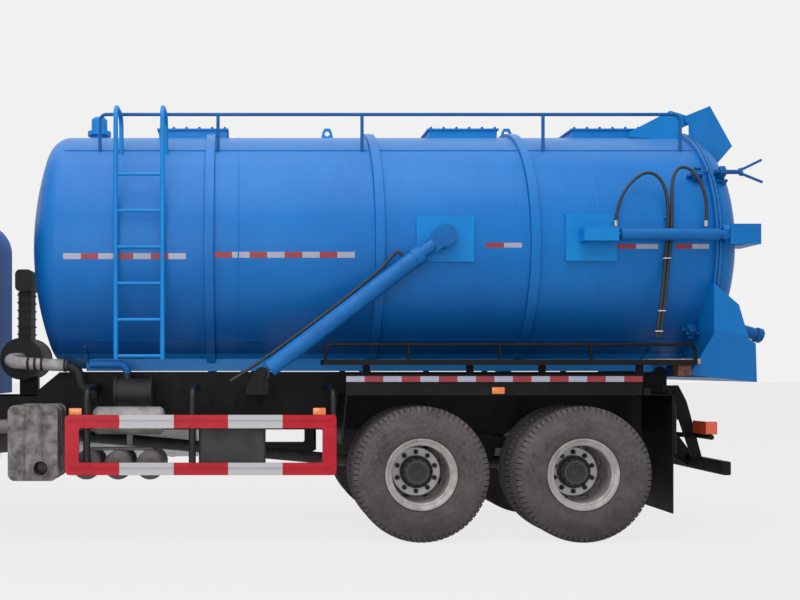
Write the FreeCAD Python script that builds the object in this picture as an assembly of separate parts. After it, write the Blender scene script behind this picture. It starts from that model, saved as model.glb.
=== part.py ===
import FreeCAD, Part
import math
import os

# Suction tanker truck on a six by four cab-over chassis. Lengths are in millimetres.
# X runs rearwards, Y to the truck's right side, Z up. The origin is on the ground under
# the middle of the truck's overall length.

# Driving dimensions of the truck
WHEELBASE = 4600.0
TANDEM_SPACING = 1350.0
FRONT_OVERHANG = 1500.0
REAR_OVERHANG = 1944.0
TYRE_RADIUS = 570.0
TANK_RADIUS = 1080.0
TANK_LENGTH = 5580.0
TANK_AXIS_Z = 2530.0
FRAME_HALF_WIDTH = 425.0
FRAME_BOTTOM_Z = 900.0
FRAME_HEIGHT = 300.0
BODY_HALF_WIDTH = 1240.0

# Clearances and the overrun that every cut shares
OVERRUN = 20.0
PIN_CLEARANCE = 0.4
SEAT_GAP = 0.3
MOVING_GAP = 5.0
STRAIGHT_TEST_SHARE = 0.001

# Places along the truck that follow from the driving dimensions
X_FRONT = -(FRONT_OVERHANG + WHEELBASE + TANDEM_SPACING + REAR_OVERHANG) / 2
X_STEER = X_FRONT + FRONT_OVERHANG
X_DRIVE_1 = X_STEER + WHEELBASE
X_DRIVE_2 = X_DRIVE_1 + TANDEM_SPACING
X_TANDEM = (X_DRIVE_1 + X_DRIVE_2) / 2
X_REAR = X_DRIVE_2 + REAR_OVERHANG
FRAME_TOP_Z = FRAME_BOTTOM_Z + FRAME_HEIGHT

# Tyres
TYRE_SECTION = 315.0
TYRE_TREAD_WIDTH = 244.0
TYRE_SHOULDER_DROP = 22.0
TYRE_BULGE_RADIUS = 425.0
BEAD_SEAT_RADIUS = 254.0
TYRE_CROWN_DROP = 5.0
TYRE_LIP_RADIUS = 310.0

# Rims and hubs, drawn from the wheel's mounting plane
RIM_OFFSET = 175.0
RIM_FLANGE_RADIUS = 301.0
RIM_HALF_WIDTH = 123.0
RIM_FLANGE_THICKNESS = 12.0
RIM_BARREL_THICKNESS = 12.0
DISC_THICKNESS = 12.0
DISC_FLAT_RADIUS = 204.0
DISC_BORE_RADIUS = 140.0
HAND_HOLES = 8
HAND_HOLE_CIRCLE_RADIUS = 225.0
HAND_HOLE_LENGTH = 62.0
HAND_HOLE_HEIGHT = 26.0
HUB_STEP_RADIUS = 112.0
HUB_CAP_RADIUS = 95.0
HUB_BODY_REACH = 42.0
HUB_STEP_REACH = 76.0
HUB_CAP_REACH = 92.0
HUB_BACK_REACH = 130.0
DRUM_RADIUS = 205.0
DRUM_WALL = 14.0
DRUM_LENGTH = 205.0
DRUM_WEB = 20.0
SPINDLE_RADIUS = 50.0
SPINDLE_DEPTH = 20.0
REAR_HUB_Y = 908.0
FRONT_HUB_Y = 1172.0
FRONT_DRUM_LENGTH = 170.0

# Steering: kingpins, knuckles and tie rod
KINGPIN_Y = 870.0
KINGPIN_RADIUS = 22.0
KINGPIN_BOSS_RADIUS = 48.0
KINGPIN_BOSS_HEIGHT = 140.0
KNUCKLE_EAR = 42.0
KNUCKLE_PLATE = 34.0
KNUCKLE_SETOUT = 62.0
STEER_ARM_LENGTH = 160.0
STEER_ARM_WIDTH = 50.0
STEER_ARM_THICKNESS = 24.0
STEER_ARM_Z = 452.0
TIE_ROD_RADIUS = 17.0
TIE_EYE_RADIUS = 30.0
TIE_EYE_HEIGHT = 30.0
TIE_PIN_RADIUS = 11.0
BEAM_DEPTH = 90.0
BEAM_WIDTH = 84.0
BEAM_PAD_Z = 515.0
BEAM_PAD_HALF = 520.0
BACKING_PLATE = 10.0

# Front springs
SPRING_WIDTH = 90.0
FRONT_SPRING_Y = 415.0
FRONT_SPRING_HALF = 750.0
FRONT_SPRING_RISE = 165.0
LEAF_THICKNESS = 15.0
FRONT_LEAVES = 4
HANGER_WIDTH = 70.0
HANGER_LENGTH = 150.0
SPRING_EYE_RADIUS = 30.0

# Rear springs and drive axles
REAR_SPRING_Y = 487.0
REAR_LEAVES = 7
REAR_SPRING_SAG = 82.0
AXLE_TUBE_RADIUS = 72.0
AXLE_SEAT_Z = 662.0
AXLE_SEAT_LENGTH = 170.0
BANJO_RADIUS = 225.0
BANJO_HALF_WIDTH = 110.0
BANJO_NOSE_LENGTH = 180.0
BANJO_NOSE_RADIUS = 120.0
TRUNNION_RADIUS = 60.0
BANJO_EDGE_SHARE = 0.7
SADDLE_LENGTH = 330.0
SADDLE_THICKNESS = 60.0
TORQUE_ROD_RADIUS = 28.0

# Main frame and sub-frame
RAIL_WEB = 8.0
RAIL_FLANGE = 88.0
RAIL_FRONT_SETBACK = 190.0
RAIL_TAIL_X = X_DRIVE_2 + 1007.0
CROSS_DEPTH = 180.0
CROSS_WIDTH = 80.0
CROSS_SHARES = (0.0, 0.33, 0.46, 0.57, 0.685, 0.80, 0.93, 1.0)
SUBFRAME_HEIGHT = 220.0
SUBFRAME_WIDTH = 80.0
SUBFRAME_FRONT_X = X_STEER + 1260.0
SUBFRAME_WALL = 8.0
SUBFRAME_TOP_Z = FRAME_TOP_Z + SUBFRAME_HEIGHT

# Tank tilting pivot
TANK_PIVOT_X = X_DRIVE_2 + 950.0
TANK_PIVOT_Z = SUBFRAME_TOP_Z + 2.0
TANK_PIVOT_RADIUS = 28.0
PIVOT_BOSS_RADIUS = 62.0
PIVOT_EAR = 26.0
PIVOT_BEAM_Y = 300.0

# Tank shell
TANK_WALL = 8.0
TANK_REAR_X = X_DRIVE_2 + 1170.0
TANK_FRONT_X = TANK_REAR_X - TANK_LENGTH
FRONT_DISH_DEPTH = 350.0
KNUCKLE_SHARE = 0.17
HOOP_WIDTH = 76.0
HOOP_RISE = 36.0
HOOP_WALL = 6.0
HOOP_X_SHARES = (0.231, 0.4895, 0.724)
FLANGE_RISE = 44.0
FLANGE_THICKNESS = 28.0
SEAM_WIDTH = 26.0
SEAM_RISE = 8.0
SEAM_LEFT_ANGLES = (52.0, -50.0)

# Rear door
DOOR_DEPTH = 410.0
DOOR_HINGE_X = TANK_REAR_X + 55.0
DOOR_HINGE_Z = TANK_AXIS_Z + 1190.0
HINGE_Y = 350.0
HINGE_PLATE = 22.0
HINGE_PIN_RADIUS = 20.0
HINGE_EYE_RADIUS = 44.0

# Beams under the tank and the discharge chute
BEAM_Y = 450.0
TANK_BEAM_WIDTH = 100.0
TANK_BEAM_BOTTOM_Z = 1430.0
TANK_BEAM_TOP_Z = 1580.0
TANK_BEAM_FRONT_X = X_DRIVE_1 - 2900.0
SADDLE_PLATE = 16.0
SADDLE_HALF_WIDTH = 640.0
SADDLE_X_SHARES = (0.03, 0.231, 0.4895, 0.724, 0.93)
CHUTE_HALF_WIDTH = 1140.0
CHUTE_PLATE = 10.0
CHUTE_FLOOR_X = TANK_REAR_X - 14.0
CHUTE_TOP_X = TANK_REAR_X - 57.0
CHUTE_TOP_Z = 2170.0
CHUTE_SHOULDER_X = TANK_REAR_X + 152.0
CHUTE_SHOULDER_Z = 1990.0
CHUTE_WAIST_X = TANK_REAR_X + 237.0
CHUTE_WAIST_Z = 1700.0
CHUTE_LIP_X = TANK_REAR_X + 293.0
CHUTE_LIP_Z = 1665.0
CHUTE_FOOT_Z = 1340.0
CHUTE_TOE_X = TANK_REAR_X - 267.0
CHUTE_TOE_Z = 1400.0
CHUTE_NECK_Z = 1740.0

# Ladder on the tank's left side
LADDER_X = X_DRIVE_1 - 2357.0
LADDER_HALF_WIDTH = 196.0
LADDER_Y = 1128.0
LADDER_FOOT_Z = 1530.0
LADDER_TOP_Z = 3668.0
LADDER_TUBE = 20.0
RUNG_RADIUS = 13.0
RUNG_FIRST_Z = 1560.0
RUNG_SPACING = 305.0
RUNGS = 6
LADDER_HOOP_REACH = 420.0
LADDER_BEND = 110.0
STANDOFF_RADIUS = 12.0
STANDOFF_SHARES = (0.16, 0.62)

# Rails and fittings on top of the tank
TOP_RAIL_Y = 680.0
TOP_RAIL_Z = 3694.0
TOP_RAIL_RADIUS = 15.0
TOP_RAIL_FRONT_X = X_DRIVE_1 - 2745.0
TOP_RAIL_REAR_X = X_DRIVE_2 + 1021.0
TOP_RAIL_BEND = 60.0
TOP_POST_SHARES = (0.2035, 0.4517, 0.7637)
BREATHER_X = X_DRIVE_1 - 2840.0
BREATHER_BASE_RADIUS = 109.0
BREATHER_DOME_RADIUS = 74.0
BREATHER_BASE_Z = 3690.0
BREATHER_TOP_Z = 3838.0
HATCH_X_SHARES = (0.2, 0.6465, 0.8835)
HATCH_LENGTH = 626.0
HATCH_HALF_WIDTH = 250.0
HATCH_RISE = 55.0
HATCH_LID = 14.0
HATCH_LID_OVERHANG = 16.0
LUG_X_SHARES = (0.4255, 0.7295)
LUG_LENGTH = 128.0
LUG_RISE = 112.0
LUG_THICKNESS = 20.0
LUG_HOLE_RADIUS = 24.0

# Lift cylinders: lower pin on the chassis and upper pin beside the tank
CYLINDER_Y = 1185.0
LIFT_FOOT_X = X_DRIVE_1 - 1326.0
LIFT_FOOT_Z = 1405.0
LIFT_EYE_X = X_DRIVE_1 + 202.0
LIFT_EYE_Z = TANK_AXIS_Z + 36.0
LIFT_BARREL_RADIUS = 73.0
LIFT_BARREL_SHARE = 0.868
LIFT_ROD_RADIUS = 55.0
LIFT_ROD_SHARE = 0.914
LIFT_EYE_RADIUS = 92.0
ROD_NECK_SHARE = 1.35
ROD_TONGUE_SHARE = 0.7
LIFT_EYE_WIDTH = 56.0
LIFT_PIN_RADIUS = 26.0
LIFT_PIN_HEAD = 16.0
GLAND_RADIUS = 80.0
GLAND_LENGTH = 70.0
LIFT_PAD_FRONT = 225.0
LIFT_PAD_REAR = 262.0
LIFT_PAD_BELOW = 212.0
LIFT_PAD_ABOVE = 174.0
PAD_FACE_Y = 1095.0
PAD_DEPTH = 170.0
PAD_WALL = 14.0
BOSS_RADIUS = 104.0
BRACKET_ARM_FRONT_X = X_DRIVE_1 - 1463.0
BRACKET_ARM_REAR_X = X_DRIVE_1 - 1273.0
BRACKET_ARM_BOTTOM_Z = 1236.0
BRACKET_ARM_TOP_Z = 1300.0
CHEEK_THICKNESS = 18.0
CHEEK_TOP_Z = 1470.0
CHEEK_NOSE_RADIUS = 46.0

# Rear door cylinders
DOOR_FOOT_X = X_DRIVE_2 + 248.0
DOOR_CYLINDER_Z = TANK_AXIS_Z + 42.0
DOOR_EYE_X = X_DRIVE_2 + 1255.0
DOOR_BARREL_RADIUS = 51.0
DOOR_BARREL_SHARE = 0.875
DOOR_ROD_RADIUS = 34.0
DOOR_ROD_SHARE = 0.91
DOOR_CYLINDER_EYE_RADIUS = 56.0
DOOR_EYE_WIDTH = 46.0
DOOR_PIN_RADIUS = 20.0
DOOR_PAD_FRONT = 361.0
DOOR_PAD_REAR = 67.0
DOOR_PAD_BELOW = 212.0
DOOR_PAD_ABOVE = 188.0
DOOR_ARM_HALF_HEIGHT = 55.0
DOOR_ARM_LENGTH = 250.0
DOOR_ARM_WALL = 16.0
DOOR_LUG_FRONT = 44.0
DOOR_LUG_REAR = 209.0
DOOR_LUG_HALF_HEIGHT = 84.0
DOOR_LUG_PLATE = 18.0

# Outlet pipe and hose rest on the door
OUTLET_RADIUS = 68.0
OUTLET_WALL = 6.0
OUTLET_Z = 1748.0
OUTLET_Y = -300.0
OUTLET_SLOPE = math.radians(17.0)
OUTLET_LENGTH = 560.0
OUTLET_COLLAR = 12.0
OUTLET_COLLAR_LENGTH = 46.0
FORK_Z = TANK_AXIS_Z + 930.0
FORK_Y = -420.0
FORK_RADIUS = 22.0
FORK_X = TANK_REAR_X + 240.0
FORK_STEM = 190.0
FORK_PRONG_REACH = 165.0
FORK_PRONG_SPREAD = 105.0
FORK_PRONG_RADIUS = 12.0
CLAMP_LENGTH = 130.0
CLAMP_WIDTH = 60.0
CLAMP_RISE = 40.0
CLAMP_ANGLES = (40.0, 128.0, -40.0, -128.0)

# Hose trays over the mudguards
TRAY_FRONT_X = X_DRIVE_1 - 813.0
TRAY_REAR_X = X_DRIVE_2 + 933.0
TRAY_INNER_Y = 860.0
TRAY_FLOOR_Z = 1484.0
TRAY_SHEET = 8.0
TRAY_LIP = 44.0
TRAY_RAIL_Z = 1652.0
TRAY_RAIL_RADIUS = 13.0
TRAY_POST_SHARES = (0.2245, 0.4712, 0.717)
TRAY_BEND = 50.0
TRAY_LEG_WIDTH = 60.0
TRAY_LEG_SHARES = (0.06, 0.39, 0.62, 0.93)

# Mudguards and the marker board on their outer edge
GUARD_FRONT_X = X_DRIVE_1 - 672.0
GUARD_REAR_X = X_DRIVE_2 + 737.0
GUARD_INNER_Y = 560.0
GUARD_SHEET = 6.0
GUARD_TOP_Z = 1232.0
GUARD_SKIRT_FRONT_X = X_DRIVE_1 - 630.0
GUARD_SKIRT_REAR_X = X_DRIVE_2 + 477.0
GUARD_SIDE_TOP_Z = 1342.0
BOARD_TOP_Z = 1402.0
BOARD_THICKNESS = 12.0
GUARD_TOE_X = X_DRIVE_1 - 672.0
GUARD_TOE_Z = 820.0
FLAP_BOTTOM_Z = 250.0
FLAP_THICKNESS = 10.0
FLAP_TOP_Z = 1226.0
FLAP_BRACKET_RADIUS = 24.0
FLAP_BRACKET_BEND = 160.0

# Side guards
SIDE_GUARD_FRONT_X = X_STEER + 1639.0
SIDE_GUARD_REAR_X = X_DRIVE_1 - 710.0
SIDE_GUARD_BOTTOM_Z = 570.0
SIDE_GUARD_TOP_Z = 1069.0
SIDE_GUARD_TOP_BAR = 110.0
SIDE_GUARD_LOW_BAR = 102.0
SIDE_GUARD_END_BAR = 115.0
SIDE_GUARD_THICKNESS = 28.0
SIDE_GUARD_BEAD = 26.0
SIDE_GUARD_BEAD_DEPTH = 7.0
SIDE_GUARD_CORNER = 40.0
HANGER_SHARES = (0.077, 0.468, 0.99)
HANGER_TUBE = 30.0
HANGER_TOP_Z = 1290.0
HANGER_BEND = 120.0

# Silencer, air tanks, battery box and fuel tank
SILENCER_FRONT_X = X_STEER + 1164.0
SILENCER_LENGTH = 399.0
SILENCER_DEPTH = 450.0
SILENCER_OUTER_Y = 1200.0
SILENCER_BOTTOM_Z = 525.0
SILENCER_TOP_Z = 1140.0
SILENCER_CORNER = 60.0
SILENCER_RIB = 16.0
SILENCER_OUTLET_RADIUS = 66.0
SILENCER_OUTLET_WALL = 5.0
SILENCER_OUTLET_REACH = 44.0
SILENCER_OUTLET_X_SHARE = 0.687
SILENCER_OUTLET_Z_SHARE = 0.163
EXHAUST_PIPE_RADIUS = 60.0
EXHAUST_PIPE_LENGTH = 300.0
RESERVOIR_RADIUS = 118.0
RESERVOIR_LENGTH = 620.0
RESERVOIR_X = X_STEER + 1830.0
RESERVOIR_Z = 1010.0
RESERVOIR_Y = 960.0
RESERVOIR_DISH = 40.0
SMALL_TANK_RADIUS = 122.0
SMALL_TANK_LENGTH = 520.0
SMALL_TANKS = 3
SMALL_TANK_PITCH = 268.0
SMALL_TANK_X = X_STEER + 1795.0
SMALL_TANK_Z = 640.0
SMALL_TANK_OUTER_Y = 1130.0
BATTERY_FRONT_X = X_STEER + 2745.0
BATTERY_LENGTH = 560.0
BATTERY_OUTER_Y = 1180.0
BATTERY_DEPTH = 480.0
BATTERY_BOTTOM_Z = 600.0
BATTERY_HEIGHT = 420.0
BATTERY_LID = 50.0
BATTERY_CORNER = 30.0
FUEL_FRONT_X = X_STEER + 1164.0
FUEL_LENGTH = 1500.0
FUEL_WIDTH = 540.0
FUEL_HEIGHT = 600.0
FUEL_BOTTOM_Z = 560.0
FUEL_INNER_Y = 590.0
FUEL_CORNER = 130.0
STRAP_WIDTH = 50.0
STRAP_THICKNESS = 6.0
STRAP_SHARES = (0.16, 0.5, 0.84)
BRACKET_PLATE = 12.0

# Cab shell: side profile, walls, windows and doors
CAB_FRONT_SETBACK = 17.0
CAB_FRONT_X = X_FRONT + CAB_FRONT_SETBACK
CAB_REAR_X = X_STEER + 682.0
CAB_HALF_WIDTH = 1220.0
CAB_WALL = 50.0
CAB_FLOOR_Z = 1200.0
CAB_SKIRT_Z = 1130.0
CAB_ROOF_Z = 2975.0
CAB_SCREEN_FOOT_Z = 1900.0
CAB_SCREEN_TOP_Z = 2780.0
CAB_SCREEN_RAKE = 130.0
CAB_REAR_ROUND = 320.0
CAB_FRONT_ROUND = 170.0
CAB_EDGE_ROUND = 70.0
CAB_ARCH_FRONT_X = X_STEER - 660.0
SCREEN_MARGIN = 95.0
SCREEN_GLASS = 8.0
TUNNEL_HALF_WIDTH = 400.0
TUNNEL_TOP_Z = 1500.0
TUNNEL_FRONT_X = X_STEER - 800.0
DOOR_FRONT_X = CAB_FRONT_X + 128.0
DOOR_LENGTH = 1010.0
DOOR_SILL_Z = 1290.0
DOOR_HEAD_Z = 2760.0
DOOR_GAP = 6.0
DOOR_SILL_ROUND = 60.0
DOOR_WINDOW_Z = 1960.0
DOOR_WINDOW_MARGIN = 85.0
DOOR_WINDOW_ROUND = 70.0
DOOR_HINGE_SETOUT = 12.0
DOOR_HINGE_RADIUS = 12.0
DOOR_HINGE_HEIGHT = 60.0
DOOR_LEAF_LENGTH = 70.0
DOOR_LEAF_THICKNESS = 8.0
DOOR_HINGE_SHARES = (0.12, 0.34)
DOOR_HANDLE_LENGTH = 150.0
DOOR_HANDLE_HEIGHT = 34.0
DOOR_HANDLE_DEPTH = 26.0
DOOR_HANDLE_Z = 1850.0
REAR_WINDOW_HALF_WIDTH = 480.0
REAR_WINDOW_BOTTOM_Z = 2080.0
REAR_WINDOW_TOP_Z = 2520.0
CAB_PIVOT_X = X_FRONT + 97.0
CAB_PIVOT_Z = 1085.0
CAB_PIVOT_Y = 390.0
CAB_PIVOT_RADIUS = 20.0
CAB_PIVOT_EAR = 30.0
CAB_PIVOT_BOSS = 38.0
CAB_REST_HALF_WIDTH = 380.0

# Cab interior, grille and mirrors
SEAT_X = X_STEER - 380.0
SEAT_Y = 610.0
SEAT_WIDTH = 520.0
SEAT_CUSHION_LENGTH = 520.0
SEAT_CUSHION_HEIGHT = 150.0
SEAT_BASE_HEIGHT = 300.0
SEAT_BACK_HEIGHT = 720.0
SEAT_BACK_THICKNESS = 130.0
SEAT_BACK_RAKE = 90.0
SEAT_ROUND = 40.0
DASH_DEPTH = 430.0
DASH_BOTTOM_Z = 1500.0
DASH_TOP_Z = 1880.0
DASH_NOSE = 120.0
WHEEL_RING_RADIUS = 225.0
WHEEL_RING_TUBE = 16.0
WHEEL_SPOKE = 16.0
WHEEL_COLUMN_LENGTH = 230.0
WHEEL_RING_TILT = math.radians(35.0)
GRILLE_HALF_WIDTH = 800.0
GRILLE_BOTTOM_Z = 1180.0
GRILLE_TOP_Z = 1700.0
GRILLE_DEPTH = 14.0
GRILLE_BARS = 5
GRILLE_BAR_HEIGHT = 46.0
GRILLE_FRAME = 50.0
MIRROR_Y = 1440.0
MIRROR_X = CAB_FRONT_X + 30.0
MIRROR_WIDTH = 200.0
MIRROR_HEIGHT = 620.0
MIRROR_DEPTH = 90.0
MIRROR_Z = 2120.0
MIRROR_ARM_RADIUS = 15.0
MIRROR_ARM_Z_SHARES = (0.1, 0.9)
MIRROR_ROUND = 30.0

# Bumper, steps and lamps
BUMPER_HALF_WIDTH = 1230.0
BUMPER_BOTTOM_Z = 430.0
BUMPER_TOP_Z = 1030.0
BUMPER_DEPTH = 170.0
BUMPER_WALL = 12.0
BUMPER_CORNER = 110.0
BUMPER_LOWER_SETBACK = 60.0
BUMPER_SLOT_HALF_WIDTH = 420.0
BUMPER_SLOT_BOTTOM_Z = 560.0
BUMPER_SLOT_TOP_Z = 660.0
STEP_REAR_X = CAB_ARCH_FRONT_X - 15.0
STEP_INNER_Y = 900.0
STEP_Z_SHARES = (0.08, 0.62)
STEP_THICKNESS = 30.0
STEP_SIDE = 14.0
HEADLAMP_INNER_Y = 760.0
HEADLAMP_OUTER_Y = 1130.0
HEADLAMP_BOTTOM_Z = 760.0
HEADLAMP_TOP_Z = 940.0
HEADLAMP_DEPTH = 80.0
HEADLAMP_ROUND = 40.0
TOW_HOLE_RADIUS = 32.0
TOW_HOLE_Z = 700.0
TOW_BLOCK = 120.0

# Engine, gearbox and shafts
ENGINE_FRONT_X = X_STEER - 700.0
ENGINE_LENGTH = 1180.0
ENGINE_HALF_WIDTH = 300.0
ENGINE_BOTTOM_Z = 640.0
ENGINE_TOP_Z = 1440.0
ENGINE_MOUNT_HEIGHT = 70.0
ENGINE_MOUNT_LENGTH = 110.0
ENGINE_MOUNT_SHARES = (0.12, 0.88)
GEARBOX_LENGTH = 760.0
GEARBOX_RADIUS = 235.0
GEARBOX_END_RADIUS = 150.0
GEARBOX_Z = 850.0
SHAFT_RADIUS = 55.0
SUMP_DEPTH = 60.0

# Air intake behind the cab, and the vacuum pump
INTAKE_X = X_STEER + 1024.0
INTAKE_Y = 250.0
INTAKE_CAP_LENGTH = 165.0
INTAKE_CAP_WIDTH = 330.0
INTAKE_CAP_BOTTOM_Z = 2190.0
INTAKE_CAP_TOP_Z = 2400.0
INTAKE_DUCT_LENGTH = 120.0
INTAKE_DUCT_WIDTH = 240.0
INTAKE_RIB = 8.0
INTAKE_RIBS = 6
FILTER_RADIUS = 190.0
FILTER_LENGTH = 560.0
FILTER_Z = 1545.0
FILTER_FOOT = 90.0
PUMP_X = X_STEER + 1985.0
PUMP_Y = -640.0
PUMP_Z = 1240.0
PUMP_RADIUS = 125.0
PUMP_LENGTH = 330.0
PUMP_FLANGE = 20.0
PUMP_PIPE_RADIUS = 36.0

# Rear underrun guard, tail lamps, markers
UNDERRUN_X = X_DRIVE_2 + 1250.0
UNDERRUN_HALF_WIDTH = 1150.0
UNDERRUN_BOTTOM_Z = 560.0
UNDERRUN_HEIGHT = 115.0
UNDERRUN_DEPTH = 70.0
UNDERRUN_HANGER_Y = 395.0
UNDERRUN_HANGER_WIDTH = 60.0
UNDERRUN_HANGER_PLATE = 14.0
UNDERRUN_HANGER_TOP_Z = 985.0
UNDERRUN_HANGER_LENGTH = 190.0
TAIL_ARM_Z = 870.0
TAIL_ARM_RADIUS = 22.0
TAIL_LAMP_X = X_DRIVE_2 + 1190.0
TAIL_LAMP_Y = 900.0
TAIL_LAMP_LENGTH = 96.0
TAIL_LAMP_WIDTH = 260.0
TAIL_LAMP_HEIGHT = 110.0
TAIL_LAMP_ROUND = 14.0
MARKER_LENGTH = 100.0
MARKER_HEIGHT = 48.0
MARKER_DEPTH = 18.0

# Hydraulic hoses
LIFT_FOOT_RADIUS = 58.0
DOOR_FOOT_RADIUS = 44.0
LIFT_HOSE_RADIUS = 13.0
LIFT_HOSE_RISE = 60.0
LIFT_HOSE_BEND = 40.0
LIFT_HOSE_PORT_SHARE = 0.8
LIFT_HOSE_LIE_SHARE = 0.66
LIFT_HOSE_END_X = X_DRIVE_1 - 1593.0
LIFT_HOSE_END_Z = 1348.0
HOSE_RADIUS = 13.0
HOSE_ARC_SHARE = 0.45
HOSE_A_ROUTE = (
    (300.0, 1112.0, 130.0), (305.0, 1112.0, 240.0), (370.0, 1102.0, 420.0), (500.0, 1080.0, 555.0),
    (620.0, 1060.0, 590.0), (705.0, 1082.0, 510.0), (742.0, 1105.0, 350.0), (743.0, 1105.0, 105.0),
    (718.0, 1105.0, -156.0), (684.0, 1105.0, -535.0), (644.0, 1105.0, -810.0),
)
HOSE_B_ROUTE = (
    (1060.0, 1105.0, 130.0), (1075.0, 1105.0, 260.0), (1045.0, 1100.0, 450.0), (965.0, 1060.0, 610.0),
    (860.0, 1045.0, 640.0), (790.0, 1075.0, 530.0), (773.0, 1105.0, 370.0), (773.0, 1105.0, 105.0),
    (748.0, 1105.0, -156.0), (714.0, 1105.0, -535.0), (674.0, 1105.0, -810.0),
)
HOSE_CLIP_HEIGHT = 24.0
HOSE_CLIP_PLACES = ((700.0, 768.0, -168.0), (722.0, 794.0, 190.0))
HOSE_SPACE_Y = 1105.0


def vec(x, y, z):
    return FreeCAD.Vector(x, y, z)


ORIGIN = vec(0, 0, 0)
ALONG_X = vec(1, 0, 0)
ALONG_Y = vec(0, 1, 0)
ALONG_Z = vec(0, 0, 1)


def block(x_range, y_range, z_range):
    """A rectangular block between two limits on each axis."""
    low = vec(min(x_range), min(y_range), min(z_range))
    high = vec(max(x_range), max(y_range), max(z_range))
    size = high - low
    return Part.makeBox(size.x, size.y, size.z, low)


def bar(start, end, radius):
    """A round bar from one point to another."""
    axis = end - start
    return Part.makeCylinder(radius, axis.Length, start, axis)


def pipe_piece(start, end, radius, wall):
    """An open pipe from one point to another."""
    return bar(start, end, radius).cut(bar(start, end, radius - wall))


def face_from(points):
    return Part.Face(Part.makePolygon(points + [points[0]]))


def side_prism(points, y_range):
    """An outline in X and Z, extruded across the truck."""
    low, high = min(y_range), max(y_range)
    return face_from([vec(x, low, z) for x, z in points]).extrude(vec(0, high - low, 0))


def cross_prism(points, x_range):
    """An outline in Y and Z, extruded along the truck."""
    low, high = min(x_range), max(x_range)
    return face_from([vec(low, y, z) for y, z in points]).extrude(vec(high - low, 0, 0))


def plan_prism(points, z_range):
    """An outline in X and Y, extruded upwards."""
    low, high = min(z_range), max(z_range)
    return face_from([vec(x, y, low) for x, y in points]).extrude(vec(0, 0, high - low))


def spun(points, centre, axis, side):
    """A closed outline of (distance along the axis, radius), spun about that axis."""
    placed = [centre + axis * along + side * radius for along, radius in points]
    return face_from(placed).revolve(centre, axis, 360)


def fused(shapes):
    """One shape from pieces that touch or overlap."""
    if len(shapes) == 1:
        return shapes[0]
    return shapes[0].multiFuse(shapes[1:]).removeSplitter()


def group(shapes):
    """Separate solids that share a node."""
    solids = []
    for shape in shapes:
        solids.extend(shape.Solids)
    return Part.makeCompound(solids)


def mirrored(shape):
    return shape.mirror(ORIGIN, ALONG_Y)


def both_sides(shape):
    return [shape, mirrored(shape)]


def rounded(shape, radius, test):
    """Round the straight edges that a test picks."""
    edges = [edge for edge in shape.Edges if test(edge)]
    return shape.makeFillet(radius, edges)


def runs_along(edge, axis):
    """Whether an edge is a straight run along an axis."""
    if edge.Curve.TypeId != "Part::GeomLine":
        return False
    start, end = edge.Vertexes[0].Point, edge.Vertexes[-1].Point
    return (end - start).normalize().cross(axis).Length < STRAIGHT_TEST_SHARE


def rounded_block(x_range, y_range, z_range, radius, axis):
    """A block with its four edges along one axis rounded."""
    return rounded(block(x_range, y_range, z_range), radius, lambda edge: runs_along(edge, axis))


def bent_tube(points, radius, bend):
    """A round tube along straight runs that are joined by tangent arcs."""
    edges = []
    start = points[0]
    for corner, following in zip(points[1:-1], points[2:]):
        into = (corner - start).normalize()
        out = (following - corner).normalize()
        turn = into.getAngle(out)
        back = bend * math.tan(turn / 2)
        arc_start = corner - into * back
        arc_end = corner + out * back
        centre = arc_start + (out - into * into.dot(out)).normalize() * bend
        middle = centre + (corner - centre).normalize() * bend
        if (arc_start - start).Length > bend * STRAIGHT_TEST_SHARE:
            edges.append(Part.LineSegment(start, arc_start).toShape())
        edges.append(Part.Arc(arc_start, middle, arc_end).toShape())
        start = arc_end
    edges.append(Part.LineSegment(start, points[-1]).toShape())
    section = Part.Wire(Part.makeCircle(radius, points[0], edges[0].tangentAt(0)))
    return Part.Wire(edges).makePipeShell([section], True, True)


def round_end_link(start, end, radius, y_range):
    """A flat link with round ends, in an X and Z plane."""
    low, high = min(y_range), max(y_range)
    first, last = vec(start.x, low, start.z), vec(end.x, low, end.z)
    along = (last - first).normalize()
    aside = vec(-along.z, 0, along.x) * radius
    edges = [
        Part.LineSegment(first + aside, last + aside).toShape(),
        Part.Arc(last + aside, last + along * radius, last - aside).toShape(),
        Part.LineSegment(last - aside, first - aside).toShape(),
        Part.Arc(first - aside, first - along * radius, first + aside).toShape(),
    ]
    return Part.Face(Part.Wire(edges)).extrude(vec(0, high - low, 0))


def drum_along_y(x, z, radius, y_range):
    """A disc or pin whose axis runs across the truck."""
    low, high = min(y_range), max(y_range)
    return Part.makeCylinder(radius, high - low, vec(x, low, z), ALONG_Y)


def dished_end(x_flat, direction, depth, radius):
    """A solid dished end: a wide crown arc and a tight knuckle arc, spun about the axis."""
    knuckle = KNUCKLE_SHARE * radius
    crown = ((radius - knuckle)**2 + depth**2 - knuckle**2) / (2 * (depth - knuckle))

    def place(along, out):
        return vec(x_flat + direction * along, 0, TANK_AXIS_Z + out)

    knuckle_centre = place(0, radius - knuckle)
    crown_centre = place(depth - crown, 0)
    outward = (knuckle_centre - crown_centre).normalize()
    rim, apex = place(0, radius), place(depth, 0)
    tangent = knuckle_centre + outward * knuckle
    knuckle_middle = knuckle_centre + (outward + ALONG_Z).normalize() * knuckle
    crown_middle = crown_centre + (outward + ALONG_X * direction).normalize() * crown
    edges = [
        Part.LineSegment(place(0, 0), rim).toShape(),
        Part.Arc(rim, knuckle_middle, tangent).toShape(),
        Part.Arc(tangent, crown_middle, apex).toShape(),
        Part.LineSegment(apex, place(0, 0)).toShape(),
    ]
    return Part.Face(Part.Wire(edges)).revolve(place(0, 0), ALONG_X, 360)


def tank_cylinder(radius, x_range):
    low, high = min(x_range), max(x_range)
    return Part.makeCylinder(radius, high - low, vec(low, 0, TANK_AXIS_Z), ALONG_X)


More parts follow.
